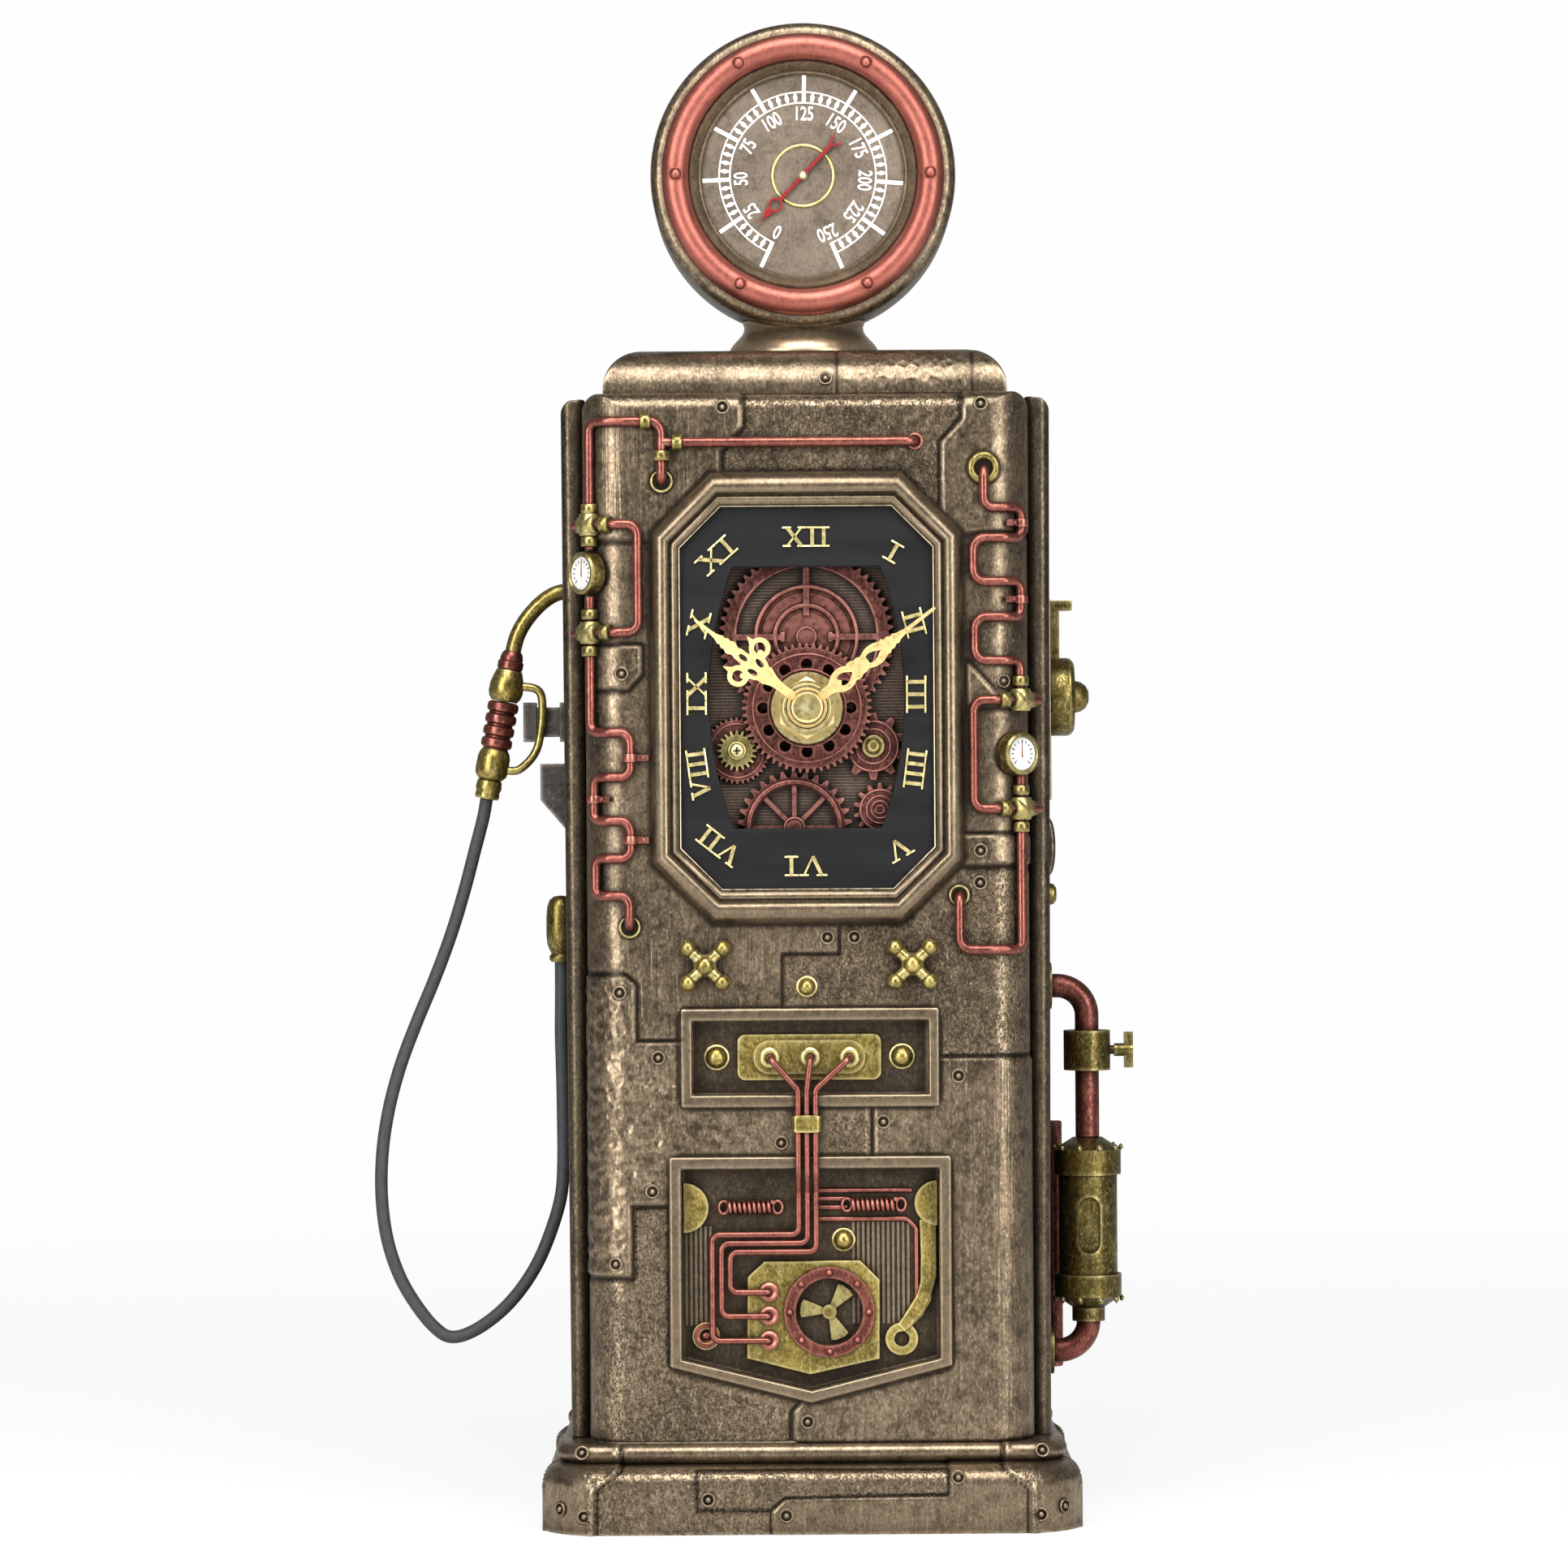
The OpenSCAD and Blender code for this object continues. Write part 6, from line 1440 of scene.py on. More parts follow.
# Wheel, lift, radius and wire of each round ridge on the wheels
RIDGES = [(TOP_WHEEL, GEAR_FACE - wire / 2, r, wire)
          for r, wire in ((14.1, 0.22), (9.95, 0.5), (6.2, 0.58), (1.85, 0.25))]
RIDGES += [((0, 0), -2.6, r, 0.2) for r in (10.6, 7.6)]
RIDGES += [(LOW_WHEEL, GEAR_FACE, 9.0, 0.75), (LOW_WHEEL, GEAR_FACE, 1.9, 0.3),
           (PINION, GEAR_FACE, 5.3, 0.22)]
RIDGES += [(RIGHT_WHEEL, GEAR_FACE, r, 0.25) for r in (4.9, 3.4)]
RIDGES += [(CORNER_WHEEL, GEAR_FACE, r, 0.25) for r in (3.9, 2.7, 1.7, 0.8)]


def on_shaft(spot, lift=0.0):
    return on_front(spot[0], SHAFT_Z + spot[1], lift)


def build_gears():
    top, at_top = Form(), on_shaft(TOP_WHEEL)
    inner = [(13.8 * math.sin(a), 13.8 * math.cos(a)) for a in np.linspace(2.65, -2.65, 81)]
    top.slab(teeth(56, 17.3, 16.2, -24, 25) + inner, GEAR_BACK, GEAR_FACE, at_top)
    stroke(top, (0, 4.2), (0, 14.4), 1.15, GEAR_BACK, -4.4, at_top)
    for s in (-1, 1):
        stroke(top, (s * 4.3, 0), (s * 14.4, 0), 1.15, GEAR_BACK, -4.4, at_top)
        stroke(top, (s * 4.7, -0.95), (s * 4.7, 0.95), 0.8, GEAR_BACK, -4.41, at_top)
    piece(top, "top_gear_wheel", "gear_copper", stands_for=("top_gear",), edge=0.14)
    low, at_low = Form(), on_shaft(LOW_WHEEL)
    low.slab(teeth(30, 11.3, 9.9), GEAR_BACK, GEAR_FACE, at_low, [circle(0, 0, 8.2, 56)])
    for k in range(8):
        turned = at_low @ clockwise(45 * k)
        stroke(low, (0, 1.5), (0, 8.5), 0.85, GEAR_BACK, -4.7, turned)
    low.lathe([(0, GEAR_BACK), (2.0, GEAR_BACK), (2.0, GEAR_FACE), (0, GEAR_FACE)], at_low, 32)
    piece(low, "bottom_gear_wheel", "gear_copper", stands_for=("bottom_gear",), edge=0.14)
    for node in ("centre_gear", "small_gears"):
        eased(node, "gear_copper", edge=0.16)


def build_brass_wheels():
    wheels = Form()
    wheels.slab(teeth(20, 4.0, 3.1), GEAR_FACE, -3.7, on_shaft(PINION))
    wheels.lathe([(0, -3.7), (1.9, -3.7), (1.8, -3.4), (1.5, -3.3), (0, -3.3)], on_shaft(PINION), 28)
    wheels.lathe([(0, GEAR_FACE), (2.3, GEAR_FACE), (2.3, -3.9), (2.1, -3.7), (1.7, -3.7), (1.5, -3.9),
                  (1.35, -3.9), (1.3, -3.3), (1.05, -3.1), (0.8, -3.1), (0.7, -3.2), (0, -3.15)],
                 on_shaft(RIGHT_WHEEL), 32)
    piece(wheels, "brass_wheels", "dark_brass", stands_for=("brass_pinion",), edge=0.08)


def build_fixing():
    fixing, at_shaft = Form(), on_shaft((0, 0))
    fixing.lathe([(NUT_BORE, -2.6), (6.9, -2.6), (7.1, -2.4), (7.1, -1.75), (6.95, -1.6), (NUT_BORE, -1.6)],
                 at_shaft, 72, loop=True)
    hex_nut(fixing, 10.5, -1.6, 1.6, at_shaft)
    piece(fixing, "nut_and_washer", "fresh_brass", stands_for=("movement_fixings",), angle=20)


def build_gear_relief():
    ridges = Form()
    for wheel, lift, r, wire in RIDGES:
        ridges.lathe(circle(r, 0, wire, 8), on_shaft(wheel, lift), 56, loop=True)
    piece(ridges, "gear_ridges", "gear_copper", angle=80)
    disc = Form()
    for r, lift in ((10.2, -5.5), (8.7, -5.2), (4.9, -5.0), (1.9, -4.6)):
        disc.lathe([(0, GEAR_BACK), (r, GEAR_BACK), (r, lift), (0, lift)], on_shaft(TOP_WHEEL), 64)
    piece(disc, "top_gear_web", "web_copper")
    lines = [(on_front(0, SHAFT_Z - 30 + 0.62 * i, -5.98), (42, 0.2, 0.12)) for i in range(98)]
    bars("ground_lines", lines, "gear_ground")


def build_pinion_screw():
    screw = Form()
    place = on_shaft(PINION, -3.5)
    screw.ball(1.5, place, 0.5, low=0)
    piece(screw, "pinion_screw", "old_brass")
    # Painted shade: black bars on the dome stand in for the shade inside the screw's cross slot
    slot = place @ Matrix.Translation((0, 0, 0.72))
    cross = [(slot, (1.5, 0.34, 0.12)), (slot, (0.34, 1.5, 0.12))]
    bars("painted_slot_shade", cross, "tick_black")


def bezel_outline(inset):
    """Outline of the bezel's moulding at a distance inward from its outer edge."""
    return octagon(BEZEL_W - 2 * inset, BEZEL_H - 2 * inset * 7.0 / 5.9, BEZEL_CUT - inset * 0.68)


def build_clock(looks):
    moulding = [(0, 0), (0, 0.5), (0.15, 1.0), (0.5, 1.9), (1.0, 2.7), (1.6, 3.25), (2.3, 3.5), (2.9, 3.4),
                (3.4, 3.0), (3.65, 2.45), (3.75, 1.9), (3.95, 1.75), (4.15, 2.05), (4.6, 2.15), (5.1, 1.8),
                (5.45, 1.35), (5.55, 1.2), (5.65, 1.4), (5.8, 1.35), (5.9, 1.0), (5.9, 0)]
    form = Form()
    ring_sweep(form, bezel_outline, moulding, on_front(0, CLOCK_Z))
    piece(form, "bezel_moulding", "trim_bronze", stands_for=("clock_bezel",), angle=44)
    eased("dial_plate", "dial_black", edge=0.3)
    build_numerals()
    coat("gear_plate", "gear_ground")
    build_gears()
    build_brass_wheels()
    build_fixing()
    build_gear_relief()
    build_pinion_screw()


# Pipes on the front
def skin_path(side, spots):
    return [on_skin(side, inset, dz) for inset, dz in spots]


def entry_end(side, inset, dz):
    return (side * (FRONT_W / 2 - inset), FRONT_Y + 2.5, CLOCK_Z + dz)


def rail_stub(side, z):
    x = FRONT_W / 2 + 2
    return [(side * (FRONT_W / 2 - 0.4), FRONT_Y + 1.6, z), (side * x, FRONT_Y + 4.2, z),
            (side * x, FRONT_Y + 11.5, z)]


LEFT_RUNS = [
    [(15.3, 42.5), (15.3, 54.3), (8, 54.3), (4.5, 54.3), (1, 54.3), (1, 29.4)],
    [(1, 20), (1, -6.6), (4.5, -6.6), (8.8, -6.6), (8.8, -15.4), (4.5, -15.4), (1.6, -15.4), (1.6, -23.9),
     (4.5, -23.9), (8.8, -23.9), (8.8, -31.3), (4.5, -31.3), (1.8, -31.3), (1.8, -38.6), (4.5, -38.6),
     (8.5, -38.6), (8.5, -44.8)],
    [(15.3, 50.1), (40, 50.1), (65, 50.1)],
    [(1, 34.2), (6, 34.2), (10.5, 34.2), (10.5, 13), (6, 13), (1, 13)],
]
RIGHT_RUNS = [
    [(8.6, 44.8), (8.6, 37), (4.5, 37), (1.2, 37), (1.2, 31.1), (4.5, 31.1), (10.8, 31.1), (10.8, 22.5),
     (4.5, 22.5), (1.4, 22.5), (1.4, 15.6), (4.5, 15.6), (10.6, 15.6), (10.6, 7), (4.5, 7), (1.6, 7),
     (1.6, -2.4)],
    [(1.6, -0.7), (6.5, -0.7), (10.9, -0.7), (10.9, -22), (6.5, -22), (1.6, -22)],
    [(1.6, -7.2), (1.6, -49.6), (4.5, -49.6), (8, -49.6), (13.9, -49.6), (13.9, -38.9)],
]


def collar(form, spot, along, r, length):
    """A barrel-shaped band round a pipe."""
    half = length / 2
    profile = [(0.8, -half), (r - 0.05, -half), (r + 0.1, -half + 0.14), (r + 0.15, 0),
               (r + 0.1, half - 0.14), (r - 0.05, half), (0.8, half)]
    turn = Vector((0, 0, 1)).rotation_difference(Vector(along)).to_matrix().to_4x4()
    form.lathe(profile, Matrix.Translation(spot) @ turn, 24, loop=True)


def junction(form, side, inset, dz):
    """A brass crossing of two barrels on the rounded corner."""
    spot = on_skin(side, inset, dz, 1.2)
    ahead = Vector(on_skin(side, inset + 1.4, dz)) - Vector(on_skin(side, inset - 0.8, dz))
    for along in ((0, 0, 1), ahead):
        collar(form, spot, along, 1.85, 4.4)


def build_fittings(looks):
    form = Form()
    up, across = (0, 0, 1), (1, 0, 0)
    collar(form, on_skin(-1, 15.3, 47.5), up, 1.55, 2.0)
    for inset, dz in ((12.2, 54.3), (18.4, 50.1)):
        collar(form, on_skin(-1, inset, dz), across, 1.55, 2.0)
    for side, inset, heights in ((-1, 1, (37.3, 30.9, 16.6, 9.4)), (1, 1.6, (3.0, -18.4, -25.6))):
        for dz in heights:
            collar(form, on_skin(side, inset, dz), up, 1.5, 2.0)
    for side, inset, inner, outer, lip, heights in ((-1, 1, 5, 3.2, -0.9, (34.2, 13.0)),
                                                    (1, 1.6, 5.6, 4, -0.7, (-0.7, -22.0))):
        for dz in heights:
            junction(form, side, inset, dz)
            ahead = Vector(on_skin(side, inner, dz)) - Vector(on_skin(side, outer, dz))
            collar(form, on_skin(side, (inner + outer) / 2, dz), ahead, 1.5, 1.9)
            collar(form, on_skin(side, lip, dz, 0.9), (side * 0.6, 0.8, 0), 1.4, 1.6)
    for side, inset, dz, r in GROMMETS:
        wire = 0.85 if r > 3 else 0.3
        x, z = side * (FRONT_W / 2 - inset), CLOCK_Z + dz
        place = on_front(x, z, plate_height(x, z, looks) + 0.1)
        form.lathe(circle(r - wire, 0, wire, 12), place, 36, loop=True)
    piece(form, "brass_fittings", "dark_brass", stands_for=("pipe_fittings",), angle=60)
    strap = [(-2.8, 0), (-2.8, 2.6), (-2.3, 3.2), (2.3, 3.2), (2.8, 2.6), (2.8, 0)]
    upright = on_front(-0.6, 79.6) @ UPRIGHT
    piece(Form().slab(strap, -1.7, 1.7, upright), "clamp_strap", "old_brass", edge=0.45)


def build_clips():
    clips = Form()
    for side, inset, dz in ((-1, 8.8, -11.6), (-1, 1.6, -19.7), (-1, 8.8, -27.7), (1, 1.2, 34.0),
                            (1, 1.4, 19.0)):
        spot = on_skin(side, inset, dz)
        clips.lathe([(1.0, -0.8), (1.3, -0.8), (1.4, -0.4), (1.4, 0.4), (1.3, 0.8), (1.0, 0.8)],
                    Matrix.Translation(spot), 20, loop=True)
        lean = math.asin(min(1.0, max(0.0, FRONT_R - inset) / FRONT_R))
        tab = Matrix.Translation(spot) @ Matrix.Rotation(side * lean, 4, "Z") @ UPRIGHT
        clips.slab([(side * 1.5, -0.6), (side * 1.5, 0.6), (-side * 3.6, 0.6), (-side * 3.6, -0.6)], -1.2,
                   0.1, tab)
        clips.ball(0.4, tab @ Matrix.Translation((-side * 2.6, 0, 0.05)), 0.7, low=0, steps=12, rings=5)
    piece(clips, "pipe_clips", "red_copper", angle=50)


def build_pipes(looks):
    for side, runs, entries, stubs, name, node in (
            (-1, LEFT_RUNS, {0: "start", 1: "end", 2: "end"}, (13, 34.2), "left_copper_pipe", "left_pipe"),
            (1, RIGHT_RUNS, {0: "start", 2: "end"}, (-0.7, -22), "right_copper_pipe", "right_pipe")):
        form = Form()
        for i, run in enumerate(runs):
            path = skin_path(side, run)
            if entries.get(i) == "start":
                path = [entry_end(side, *run[0])] + path
            if entries.get(i) == "end":
                path = path + [entry_end(side, *run[-1])]
            form.tube(rounded(path, PIPE_BEND), PIPE_R, 16)
        for dz in stubs:
            form.tube(rounded(rail_stub(side, CLOCK_Z + dz), PIPE_BEND), PIPE_R, 16)
        if side < 0:
            rim = circle(1.35, 0, 0.4, 12)
            form.lathe(rim, on_front(LEFT_RUNS[2][-1][0] - FRONT_W / 2, CLOCK_Z + 50.1, 0.15), 28, loop=True)
        piece(form, name, "red_copper", stands_for=(node,), angle=60)
    build_fittings(looks)
    build_clips()
    for side, dz, angle in ((-1, 24.7, 50), (1, -11.3, 36)):
        build_mini_gauge(side, dz, math.radians(angle))


def build_mini_gauge(side, dz, angle):
    reach = FRONT_R + 0.3
    place = (Matrix.Translation((side * (FRONT_W / 2 - FRONT_R + reach * math.sin(angle)),
                                 FRONT_Y + FRONT_R - reach * math.cos(angle), CLOCK_Z + dz))
             @ Matrix.Rotation(side * angle, 4, "Z") @ UPRIGHT)
    label = "left" if side < 0 else "right"
    body = [(0, 0), (4.0, 0), (4.3, 0.4), (4.3, 2.4), (4.15, 3.0), (3.8, 3.35), (3.45, 3.4), (3.3, 3.2),
            (3.2, 2.7), (0, 2.7)]
    nodes = ("mini_gauges",) if side < 0 else ()
    piece(Form().lathe(body, place, 48), label + "_gauge_case", "dark_brass", stands_for=nodes,
          angle=30)
    piece(Form().lathe([(0, 2.7), (3.2, 2.7), (3.2, 2.85), (0, 2.85)], place, 40), label + "_gauge_face",
          "mini_white")
    ticks = []
    for i in range(13):
        turn = clockwise(-135 + 22.5 * i)
        span = (0.2, 0.75 if i % 3 == 0 else 0.45, 0.04)
        ticks.append((place @ turn @ Matrix.Translation((0, 2.35, 2.87)), span))
    bars(label + "_gauge_ticks", ticks, "tick_black")
    needle = Form().slab([(-0.12, -0.7), (0.12, -0.7), (0.05, 2.1), (-0.05, 2.1)], 2.88, 2.95, place)
    piece(needle, label + "_gauge_needle", "needle_red")


# Lower front
# Terminal, column, height of the turn, way down and height of the port of each supply pipe
SUPPLY = [(-7.8, -2.3, -15.6, -19.3, -36.4), (0.2, -0.6, -17.3, -17.5, -31.6), (7.9, 1.1, -19, -15.8, -26.9)]
PORT_X = -8.2


def build_ball_studs():
    balls = Form()
    for x, z, lift, r in ((-18.2, TERMINAL_Z, -BOX_DEPTH, 2.2), (18.2, TERMINAL_Z, -BOX_DEPTH, 2.2),
                          (6.5, ENGINE_Z - 16.9, -BAY_DEPTH, 2.0), (-0.4, VALVE_Z - 4.3, 0, 1.75)):
        balls.lathe([(0, 0), (r + 0.35, 0), (r + 0.3, 0.35), (r, 0.5), (0, 0.5)], on_front(x, z, lift), 32)
        balls.ball(r, on_front(x, z, lift + 0.3), 1.0, low=0, steps=32)
    piece(balls, "ball_studs", "old_brass", stands_for=("brass_studs",), angle=40)


def build_valves():
    for side, node, body in ((-1, "left_valve_handle", "left_valve"),
                             (1, "right_valve_handle", "right_valve")):
        form = Form()
        place = on_front(side * 20.3, VALVE_Z)
        form.lathe([(0, -4.6), (1, -4.6), (1, 0.2), (1.5, 0.5), (1.9, 0.9), (2.2, 1.4), (2.2, 2.7),
                    (1.8, 3.3), (1.75, 3.9), (1.4, 4.5), (0.8, 4.85), (0, 4.95)], place, 28)
        for k in range(4):
            arm = place @ Matrix.Rotation(math.radians(45 + 90 * k), 4, "Z") @ Matrix.Translation((0, 0, 2.1))
            arm = arm @ Matrix.Rotation(math.pi / 2, 4, "Y")
            form.lathe([(0, 0.5), (1.5, 0.5), (1.3, 1.6), (1.1, 2.6), (1.15, 3.4), (1.35, 3.6), (0, 3.9)],
                       arm, 18)
            form.ball(1.62, arm @ Matrix.Translation((0, 0, 4.75)), 1.0, steps=20)
        piece(form, node + "_cross", "old_brass", body, (node,), angle=35)


def build_supply():
    supply = Form()
    for x, column, turn, down, rise in SUPPLY:
        low = ENGINE_Z + turn
        port = ENGINE_Z + rise
        spots = [(x, TERMINAL_Z, -1.4), (x, TERMINAL_Z, 2.3), (column, TERMINAL_Z - 6.2, 2.3),
                 (column, ENGINE_Z - 3.5, 2.3), (column, ENGINE_Z - 7.1, -0.2), (column, low, -0.2),
                 (down, low, -0.2), (down, port, -0.2), (PORT_X, port, -0.2), (PORT_X, port, -1.4)]
        supply.tube(rounded([(a, FRONT_Y - c, b) for a, b, c in spots], 1.5), 0.66, 14)
    piece(supply, "supply_lines", "red_copper", stands_for=("supply_pipes",), angle=60)
    small = Form()
    for spots in ([(1.5, 66.2), (19.9, 66.2)], [(1.5, 64.6), (7.2, 64.6)], [(1.5, 62.9), (7.2, 62.9)],
                  [(1.5, 60.6), (18.9, 60.6), (20.8, 58.7), (20.8, 44)]):
        small.tube(rounded([(x, FRONT_Y + 2.9, z) for x, z in spots], 1.5), 0.5, 12)
    piece(small, "engine_lines", "red_copper", angle=60)
    ends, ports = Form(), Form()
    collar_end = [(0.7, 0), (1.9, 0), (1.95, 0.4), (1.6, 0.7), (1.2, 0.75), (0.7, 0.5)]
    collar_port = [(0.7, 0), (1.9, 0), (1.85, 0.5), (1.4, 0.75), (0.7, 0.5)]
    for x, _, _, _, rise in SUPPLY:
        ends.lathe(collar_end, on_front(x, TERMINAL_Z, -0.15), 24, loop=True)
        ports.lathe(collar_port, on_front(PORT_X, ENGINE_Z + rise, -1.1), 24, loop=True)
    piece(ends, "terminal_collars", "old_brass")
    piece(ports, "engine_collars", "red_copper")


def build_springs():
    coil = Form()
    for x, dz in ((-16.4, -10.4), (7.8, -10.0)):
        count = 9 * 16
        path = []
        for k in range(count + 1):
            a = 2 * math.pi * k / 16
            path.append((0.4 + 8.6 * k / count, 1.05 * math.cos(a), 1.05 * math.sin(a)))
        place = on_front(x, ENGINE_Z + dz, -2.1)
        coil.tube(path, 0.42, 8, place)
        turns = np.linspace(0, 2 * math.pi, 19)
        for middle in (-0.6, 10.0):
            loop = [(middle + 0.95 * math.cos(a), 1.25 * math.sin(a), -0.2) for a in turns]
            coil.tube(loop, 0.34, 8, place)
    piece(coil, "coil_springs", "red_copper", stands_for=("engine_springs",), angle=70)


def build_bay():
    strap = [(24.85, -12), (24.85, -24), (23.9, -27.5), (22.2, -31.2), (19.4, -34.4), (18.4, -35.2),
             (16.9, -33.6), (18.4, -31.4), (20.6, -28), (21.5, -25), (21.6, -20), (21.4, -13)]
    piece(Form().slab(strap, -BAY_DEPTH, -2.1, on_front(0, ENGINE_Z)), "link_strap", "old_brass",
          edge=0.35)
    ribs = [(on_front(-24.4 + 0.95 * i, 49.5, -3.35), (0.5, 19.5, 0.5)) for i in range(6)]
    ribs += [(on_front(8.4 + 0.98 * i, 50.0, -3.35), (0.5, 20.0, 0.5)) for i in range(12)]
    bars("bay_ribs", ribs, "dull_bronze")
    eye = Form()
    eye.lathe([(1.0, 0), (2.7, 0), (2.8, 0.6), (2.5, 1.1), (2.2, 1.2), (1.7, 1.2), (1.3, 0.9), (1.0, 0.6)],
              on_front(-20.6, ENGINE_Z - 35.6, -3.4), 32, loop=True)
    eye.ball(1.0, on_front(-20.6, ENGINE_Z - 35.6, -3.4), 0.8, low=0)
    piece(eye, "copper_eye", "red_copper")


def build_lower_front(looks):
    eased("panel_frames", "trim_bronze", edge=0.55)
    eased("terminal_plate", "old_brass", edge=0.22)
    eased("engine_plate", "old_brass", edge=0.3)
    eased("porthole_ring", "deep_copper", edge=0.2)
    eased("engine_brackets", "old_brass", edge=0.3)
    eased("fan", "dark_brass", "fan_rotor", edge=0.14)
    build_ball_studs()
    build_valves()
    build_supply()
    build_springs()
    build_bay()


# Sides
RAIL_DRAFT = 0.9
SPOUT = [(-58.6, 176.4), (-56.7, 179.8), (-53.6, 183.2), (-50.2, 185.2), (-46.0, 185.6)]


def build_lever():
    eased("side_lever", "dark_brass", "lever", edge=0.5)
    outward = Matrix.Rotation(math.pi / 2, 4, "Y")
    drum = [(0, 0), (7.8, 0), (7.9, 0.4), (7.9, 3.6), (7.5, 4.4), (6.8, 4.9), (3.4, 5.0), (3.2, 5.4),
            (3.0, 6.3), (2.3, 7.3), (1.2, 7.9), (0, 8.0)]
    piece(Form().lathe(drum, Matrix.Translation((49.4, SIDE_Y, LEVER_Z)) @ outward, 56), "lever_drum",
          "dark_brass", "lever", angle=35)
    stub = [(0, -1), (2.2, -1), (2.3, 1.6), (2.0, 2.6), (1.3, 3.1), (0, 3.2)]
    piece(Form().lathe(stub, Matrix.Translation((47.4, SIDE_Y, 123.4)) @ outward, 28), "side_stub",
          "dark_brass", angle=35)
    turns = np.linspace(0, 2 * math.pi, 29)
    link = [(48.6 + math.cos(a), SIDE_Y, 133 + 5.2 * math.sin(a)) for a in turns]
    piece(Form().tube(link, 0.85, 12), "side_link", "painted_shaded_bronze", angle=60)


def build_loop():
    eased("loop_pipe", "deep_copper", edge=0.3)
    eased("loop_filter", "deep_brass", edge=0.35)
    eased("loop_fittings", "deep_brass", edge=0.5)
    rivets = []
    for z in (41.9, 72.4):
        for k in range(10):
            a = math.radians(36 * k + 18)
            facing = Vector((math.sin(a), -math.cos(a), 0))
            rivets.append((Vector((*FILTER, z)) + facing * 6.7, facing, 0.6))
    studs("filter_rivets", rivets, "deep_brass", dome=0.8, ring=1.1, wire=0.12)
    eased("loop_tap", "deep_brass", "tap", edge=0.4)


def build_nozzle():
    gland = [(0, 110.3), (2.0, 110.3), (2.35, 110.8), (2.35, 111.5), (1.95, 112.0), (2.25, 112.6),
             (2.75, 113.8), (2.95, 115.6), (2.95, 119.4), (2.75, 121.6), (2.25, 122.9), (1.4, 123.6),
             (0, 123.8)]
    piece(Form().lathe(gland, Matrix.Translation((HOSE_ROUTE[0][0], SIDE_Y, 0)), 36), "gland_barrel",
          "dark_brass", stands_for=("hose_gland",), angle=45)
    nozzle = Form()
    place = Matrix.Translation(nozzle_point(0)) @ Matrix.Rotation(NOZZLE_LEAN, 4, "Y")
    nozzle.lathe([(0, 0), (2.2, 0), (2.5, 0.4), (2.4, 1.6), (2.65, 2.2), (2.5, 3.6), (2.2, 3.9), (2.5, 4.1),
                  (3.2, 4.9), (3.35, 6), (3.3, 8.6), (3.0, 9.6), (2.5, 10.3), (0, 10.3)], place, 36)
    nozzle.lathe([(0, 20.1), (2.6, 20.1), (3.2, 20.9), (3.5, 22), (3.45, 23.6), (3.1, 25), (2.6, 26.5),
                  (0, 26.5)], place, 36)
    spout = [nozzle_point(29.5)] + [(x, SIDE_Y, z) for x, z in SPOUT]
    nozzle.tube(smooth_line(spout, 5), 1.6, 20)
    guard = [nozzle_point(23.7, 2.8), nozzle_point(22.7, 7.2), nozzle_point(12.6, 8.4),
             nozzle_point(7.3, 5.8), nozzle_point(6.3, 2.8)]
    nozzle.tube(smooth_line(guard, 7), 0.85, 12)
    piece(nozzle, "nozzle_brass", "old_brass", "nozzle", ("nozzle_body",), angle=35)
    grip = Form()
    profile = [(0, 10.3), (2.5, 10.3)]
    for i in range(4):
        low = 10.3 + 2.45 * i
        profile += [(2.6, low + 0.15), (3.1, low + 0.5), (3.2, low + 1.2), (3.1, low + 1.95),
                    (2.6, low + 2.3)]
    profile += [(0, 20.1)]
    grip.lathe(profile, place, 36)
    grip.lathe([(0, 26.5), (2.3, 26.5), (2.6, 26.9), (2.6, 28.2), (2.3, 28.5), (2.35, 28.9), (2.1, 29.9),
                (1.7, 30.4), (0, 30.4)], place, 32)
    piece(grip, "nozzle_copper", "red_copper", "nozzle", ("nozzle_grip",), angle=35)


def build_sides(looks):
    for node in ("left_side_panel", "right_side_panel"):
        panel = eased(node, "painted_shaded_bronze", edge=0.5)
        spots = np.array([v.co for v in panel.data.vertices])
        draft = RAIL_DRAFT * MM * np.clip((spots[:, 2] - 0.03) / 0.19, 0, 1)
        spots[:, 0] += np.where(np.abs(spots[:, 0]) > 0.0455, np.sign(spots[:, 0]) * draft, 0)
        panel.data.vertices.foreach_set("co", spots.ravel())
    eased("back_panel", "cast_bronze", edge=0.5)
    eased("case_screws", "dark_steel", edge=0.25)
    eased("nozzle_holder", "dark_steel", edge=0.5)
    eased("lever_plate", "trim_bronze", edge=0.5)
    build_lever()
    build_loop()
    build_nozzle()


# Screws and rivets
def build_screws(looks):
    r = looks.screw_radius
    spots = []
    for x, z in FRONT_SCREWS:
        inset = FRONT_W / 2 - abs(x)
        spots.append(((x, skin_y(inset, plate_height(x, z, looks)), z), skin_normal(x), r))
    for spot, facing in BASE_SCREWS + ROOF_SCREWS:
        spots.append((spot, facing, r))
    studs("plate_screws", spots, "dull_bronze", dome=0.85, ring=2.0, wire=0.42)


def build_movement(looks):
    for node, finish in (("movement_case", "movement_black"), ("movement_back", "movement_black"),
                         ("quartz_drive", "circuit_green"), ("battery", "cell_wrap"),
                         ("minute_arbor", "fresh_brass"), ("hour_wheel", "wheel_plastic"),
                         ("minute_wheel", "wheel_plastic"), ("set_knob", "movement_black")):
        coat(node, finish)


class DressStep:
    """Shared part of the steps: each calls its builder with the clock's looks."""

    bl_options = {"REGISTER", "UNDO"}

    def execute(self, context):
        type(self).build(context.scene.clock_looks)
        return {"FINISHED"}


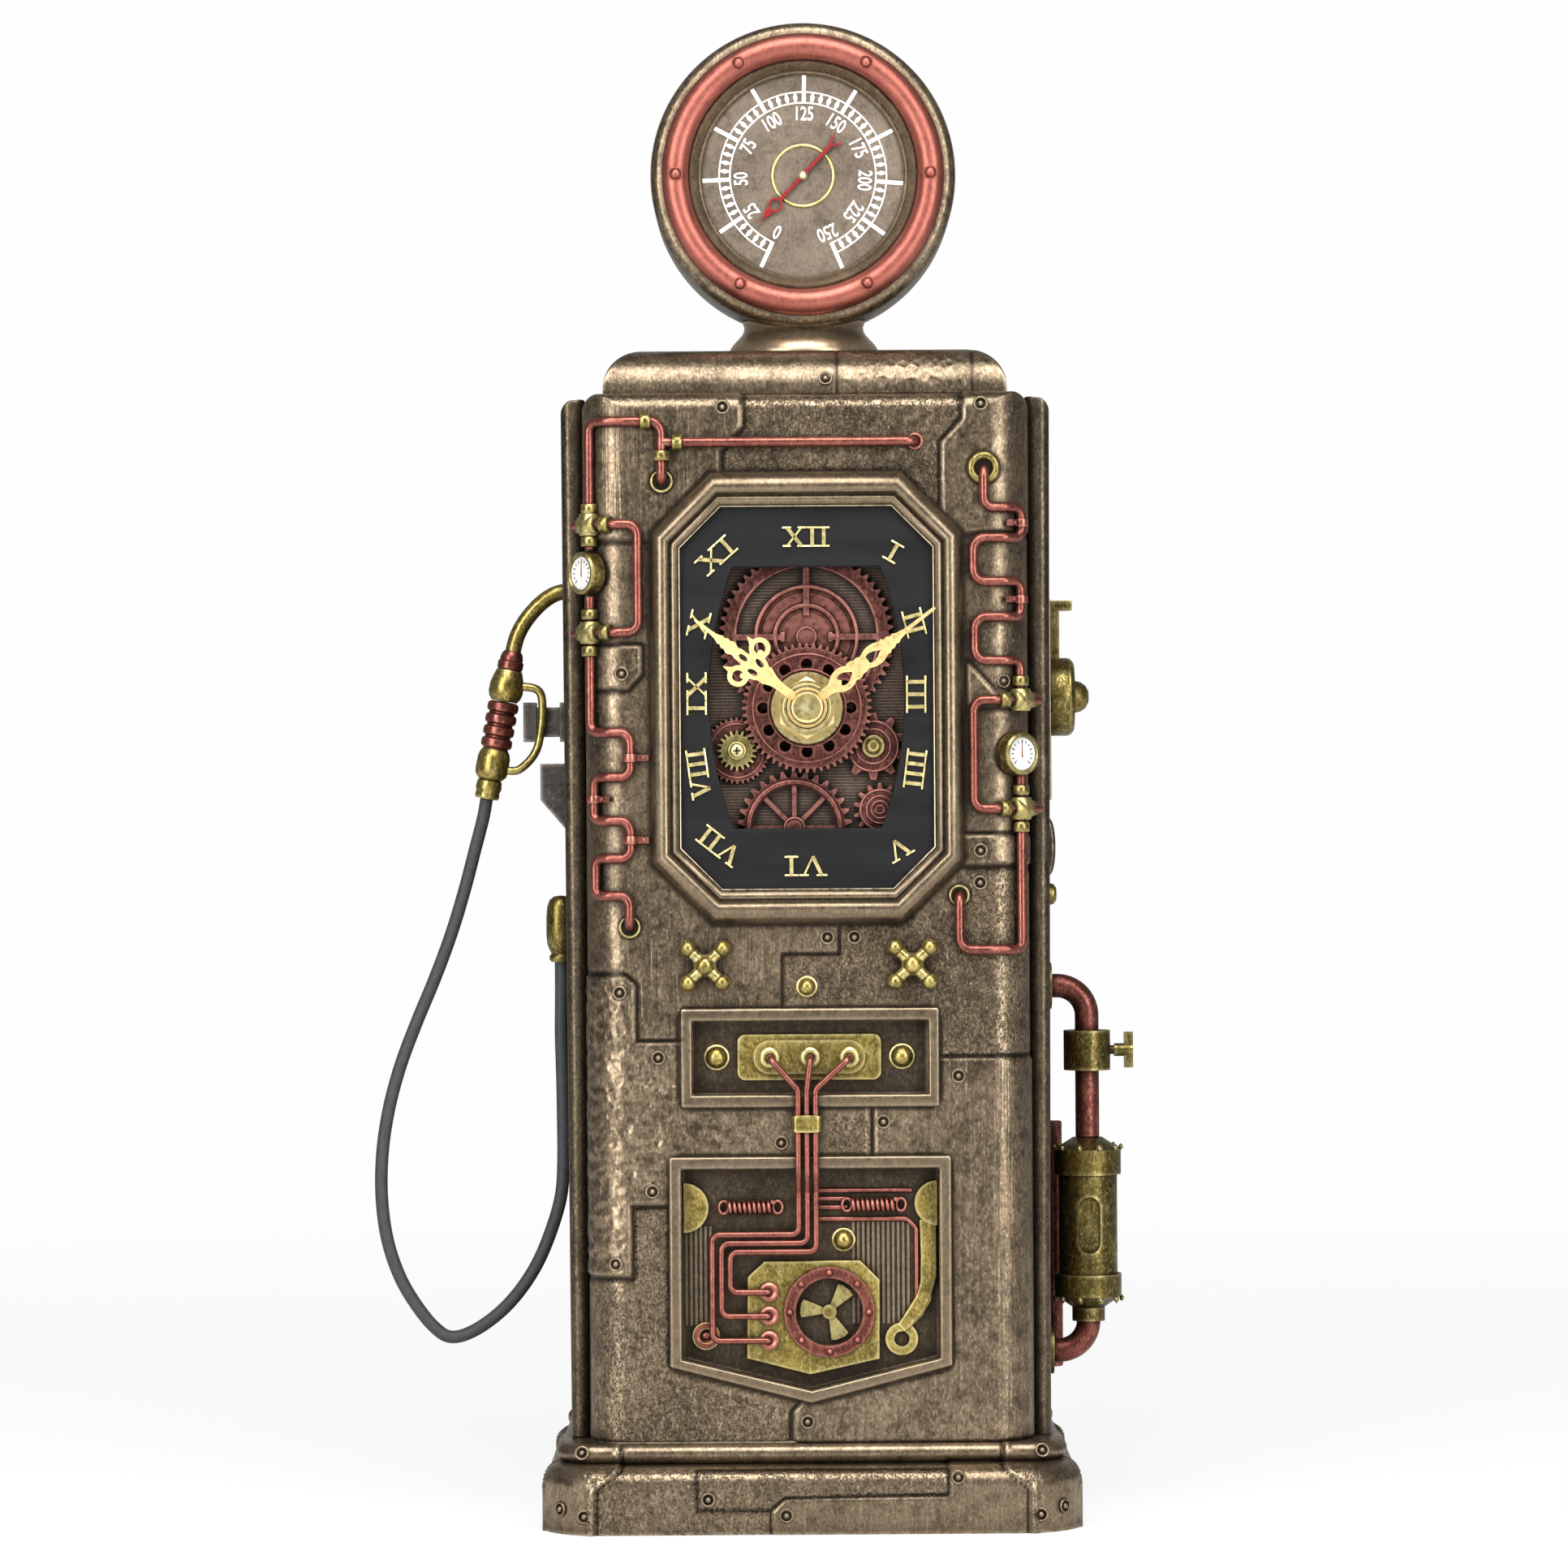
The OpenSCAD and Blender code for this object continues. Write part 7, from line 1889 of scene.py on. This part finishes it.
class CLOCK_OT_finishes(DressStep, bpy.types.Operator):
    """Metals, paints and the trees for screws and bars"""

    bl_idname = "clock.finishes"
    bl_label = "Finishes"
    build = staticmethod(make_finishes)


class CLOCK_OT_stage(DressStep, bpy.types.Operator):
    """Floor, light and camera"""

    bl_idname = "clock.stage"
    bl_label = "Stage"
    build = staticmethod(build_stage)


class CLOCK_OT_hose(DressStep, bpy.types.Operator):
    """Rubber hose from the gland to the nozzle"""

    bl_idname = "clock.hose"
    bl_label = "Hose"
    build = staticmethod(build_hose)


class CLOCK_OT_front(DressStep, bpy.types.Operator):
    """Cast skin of the front with its plates and seams"""

    bl_idname = "clock.front"
    bl_label = "Front skin"
    build = staticmethod(build_front)


class CLOCK_OT_base(DressStep, bpy.types.Operator):
    """Base casting with its corner guards"""

    bl_idname = "clock.base"
    bl_label = "Base"
    build = staticmethod(build_base)


class CLOCK_OT_roof(DressStep, bpy.types.Operator):
    """Roof casting with its hammered patch"""

    bl_idname = "clock.roof"
    bl_label = "Roof"
    build = staticmethod(build_roof)


class CLOCK_OT_head(DressStep, bpy.types.Operator):
    """Gauge head with its ring, dial and needle"""

    bl_idname = "clock.head"
    bl_label = "Gauge head"
    build = staticmethod(build_head)


class CLOCK_OT_clock(DressStep, bpy.types.Operator):
    """Bezel, dial, numerals and relief gears"""

    bl_idname = "clock.clock"
    bl_label = "Clock face"
    build = staticmethod(build_clock)


class CLOCK_OT_hands(DressStep, bpy.types.Operator):
    """Pierced hands and their button"""

    bl_idname = "clock.hands"
    bl_label = "Hands"
    build = staticmethod(build_hands)


class CLOCK_OT_pipes(DressStep, bpy.types.Operator):
    """Copper pipes on the front, their fittings, clips and small gauges"""

    bl_idname = "clock.pipes"
    bl_label = "Front pipes"
    build = staticmethod(build_pipes)


class CLOCK_OT_lower(DressStep, bpy.types.Operator):
    """Handles, terminal box and engine bay"""

    bl_idname = "clock.lower"
    bl_label = "Lower front"
    build = staticmethod(build_lower_front)


class CLOCK_OT_sides(DressStep, bpy.types.Operator):
    """Side panels, nozzle, lever and pipe loop"""

    bl_idname = "clock.sides"
    bl_label = "Sides"
    build = staticmethod(build_sides)


class CLOCK_OT_screws(DressStep, bpy.types.Operator):
    """Screw heads on the plates"""

    bl_idname = "clock.screws"
    bl_label = "Screws"
    build = staticmethod(build_screws)


class CLOCK_OT_movement(DressStep, bpy.types.Operator):
    """Finishes of the quartz movement"""

    bl_idname = "clock.movement"
    bl_label = "Movement"
    build = staticmethod(build_movement)


STEPS = (CLOCK_OT_finishes, CLOCK_OT_stage, CLOCK_OT_hose, CLOCK_OT_front, CLOCK_OT_base, CLOCK_OT_roof,
         CLOCK_OT_head, CLOCK_OT_clock, CLOCK_OT_hands, CLOCK_OT_pipes, CLOCK_OT_lower, CLOCK_OT_sides,
         CLOCK_OT_screws, CLOCK_OT_movement)


class CLOCK_PT_looks(bpy.types.Panel):
    """Lists the steps and the looks they use"""

    bl_idname = "CLOCK_PT_looks"
    bl_label = "Desk clock"
    bl_space_type = "VIEW_3D"
    bl_region_type = "UI"
    bl_category = "Clock"

    def draw(self, context):
        for name in ClockLooks.__annotations__:
            self.layout.prop(context.scene.clock_looks, name)
        for step in STEPS:
            self.layout.operator(step.bl_idname)


CLASSES = (ClockLooks, *STEPS, CLOCK_PT_looks)


def register():
    for item in CLASSES:
        bpy.utils.register_class(item)
    bpy.types.Scene.clock_looks = bpy.props.PointerProperty(type=ClockLooks)


def unregister():
    del bpy.types.Scene.clock_looks
    for item in reversed(CLASSES):
        bpy.utils.unregister_class(item)


def main():
    register()
    for step in STEPS:
        group, name = step.bl_idname.split(".")
        getattr(getattr(bpy.ops, group), name)()


if __name__ == "__main__":
    main()
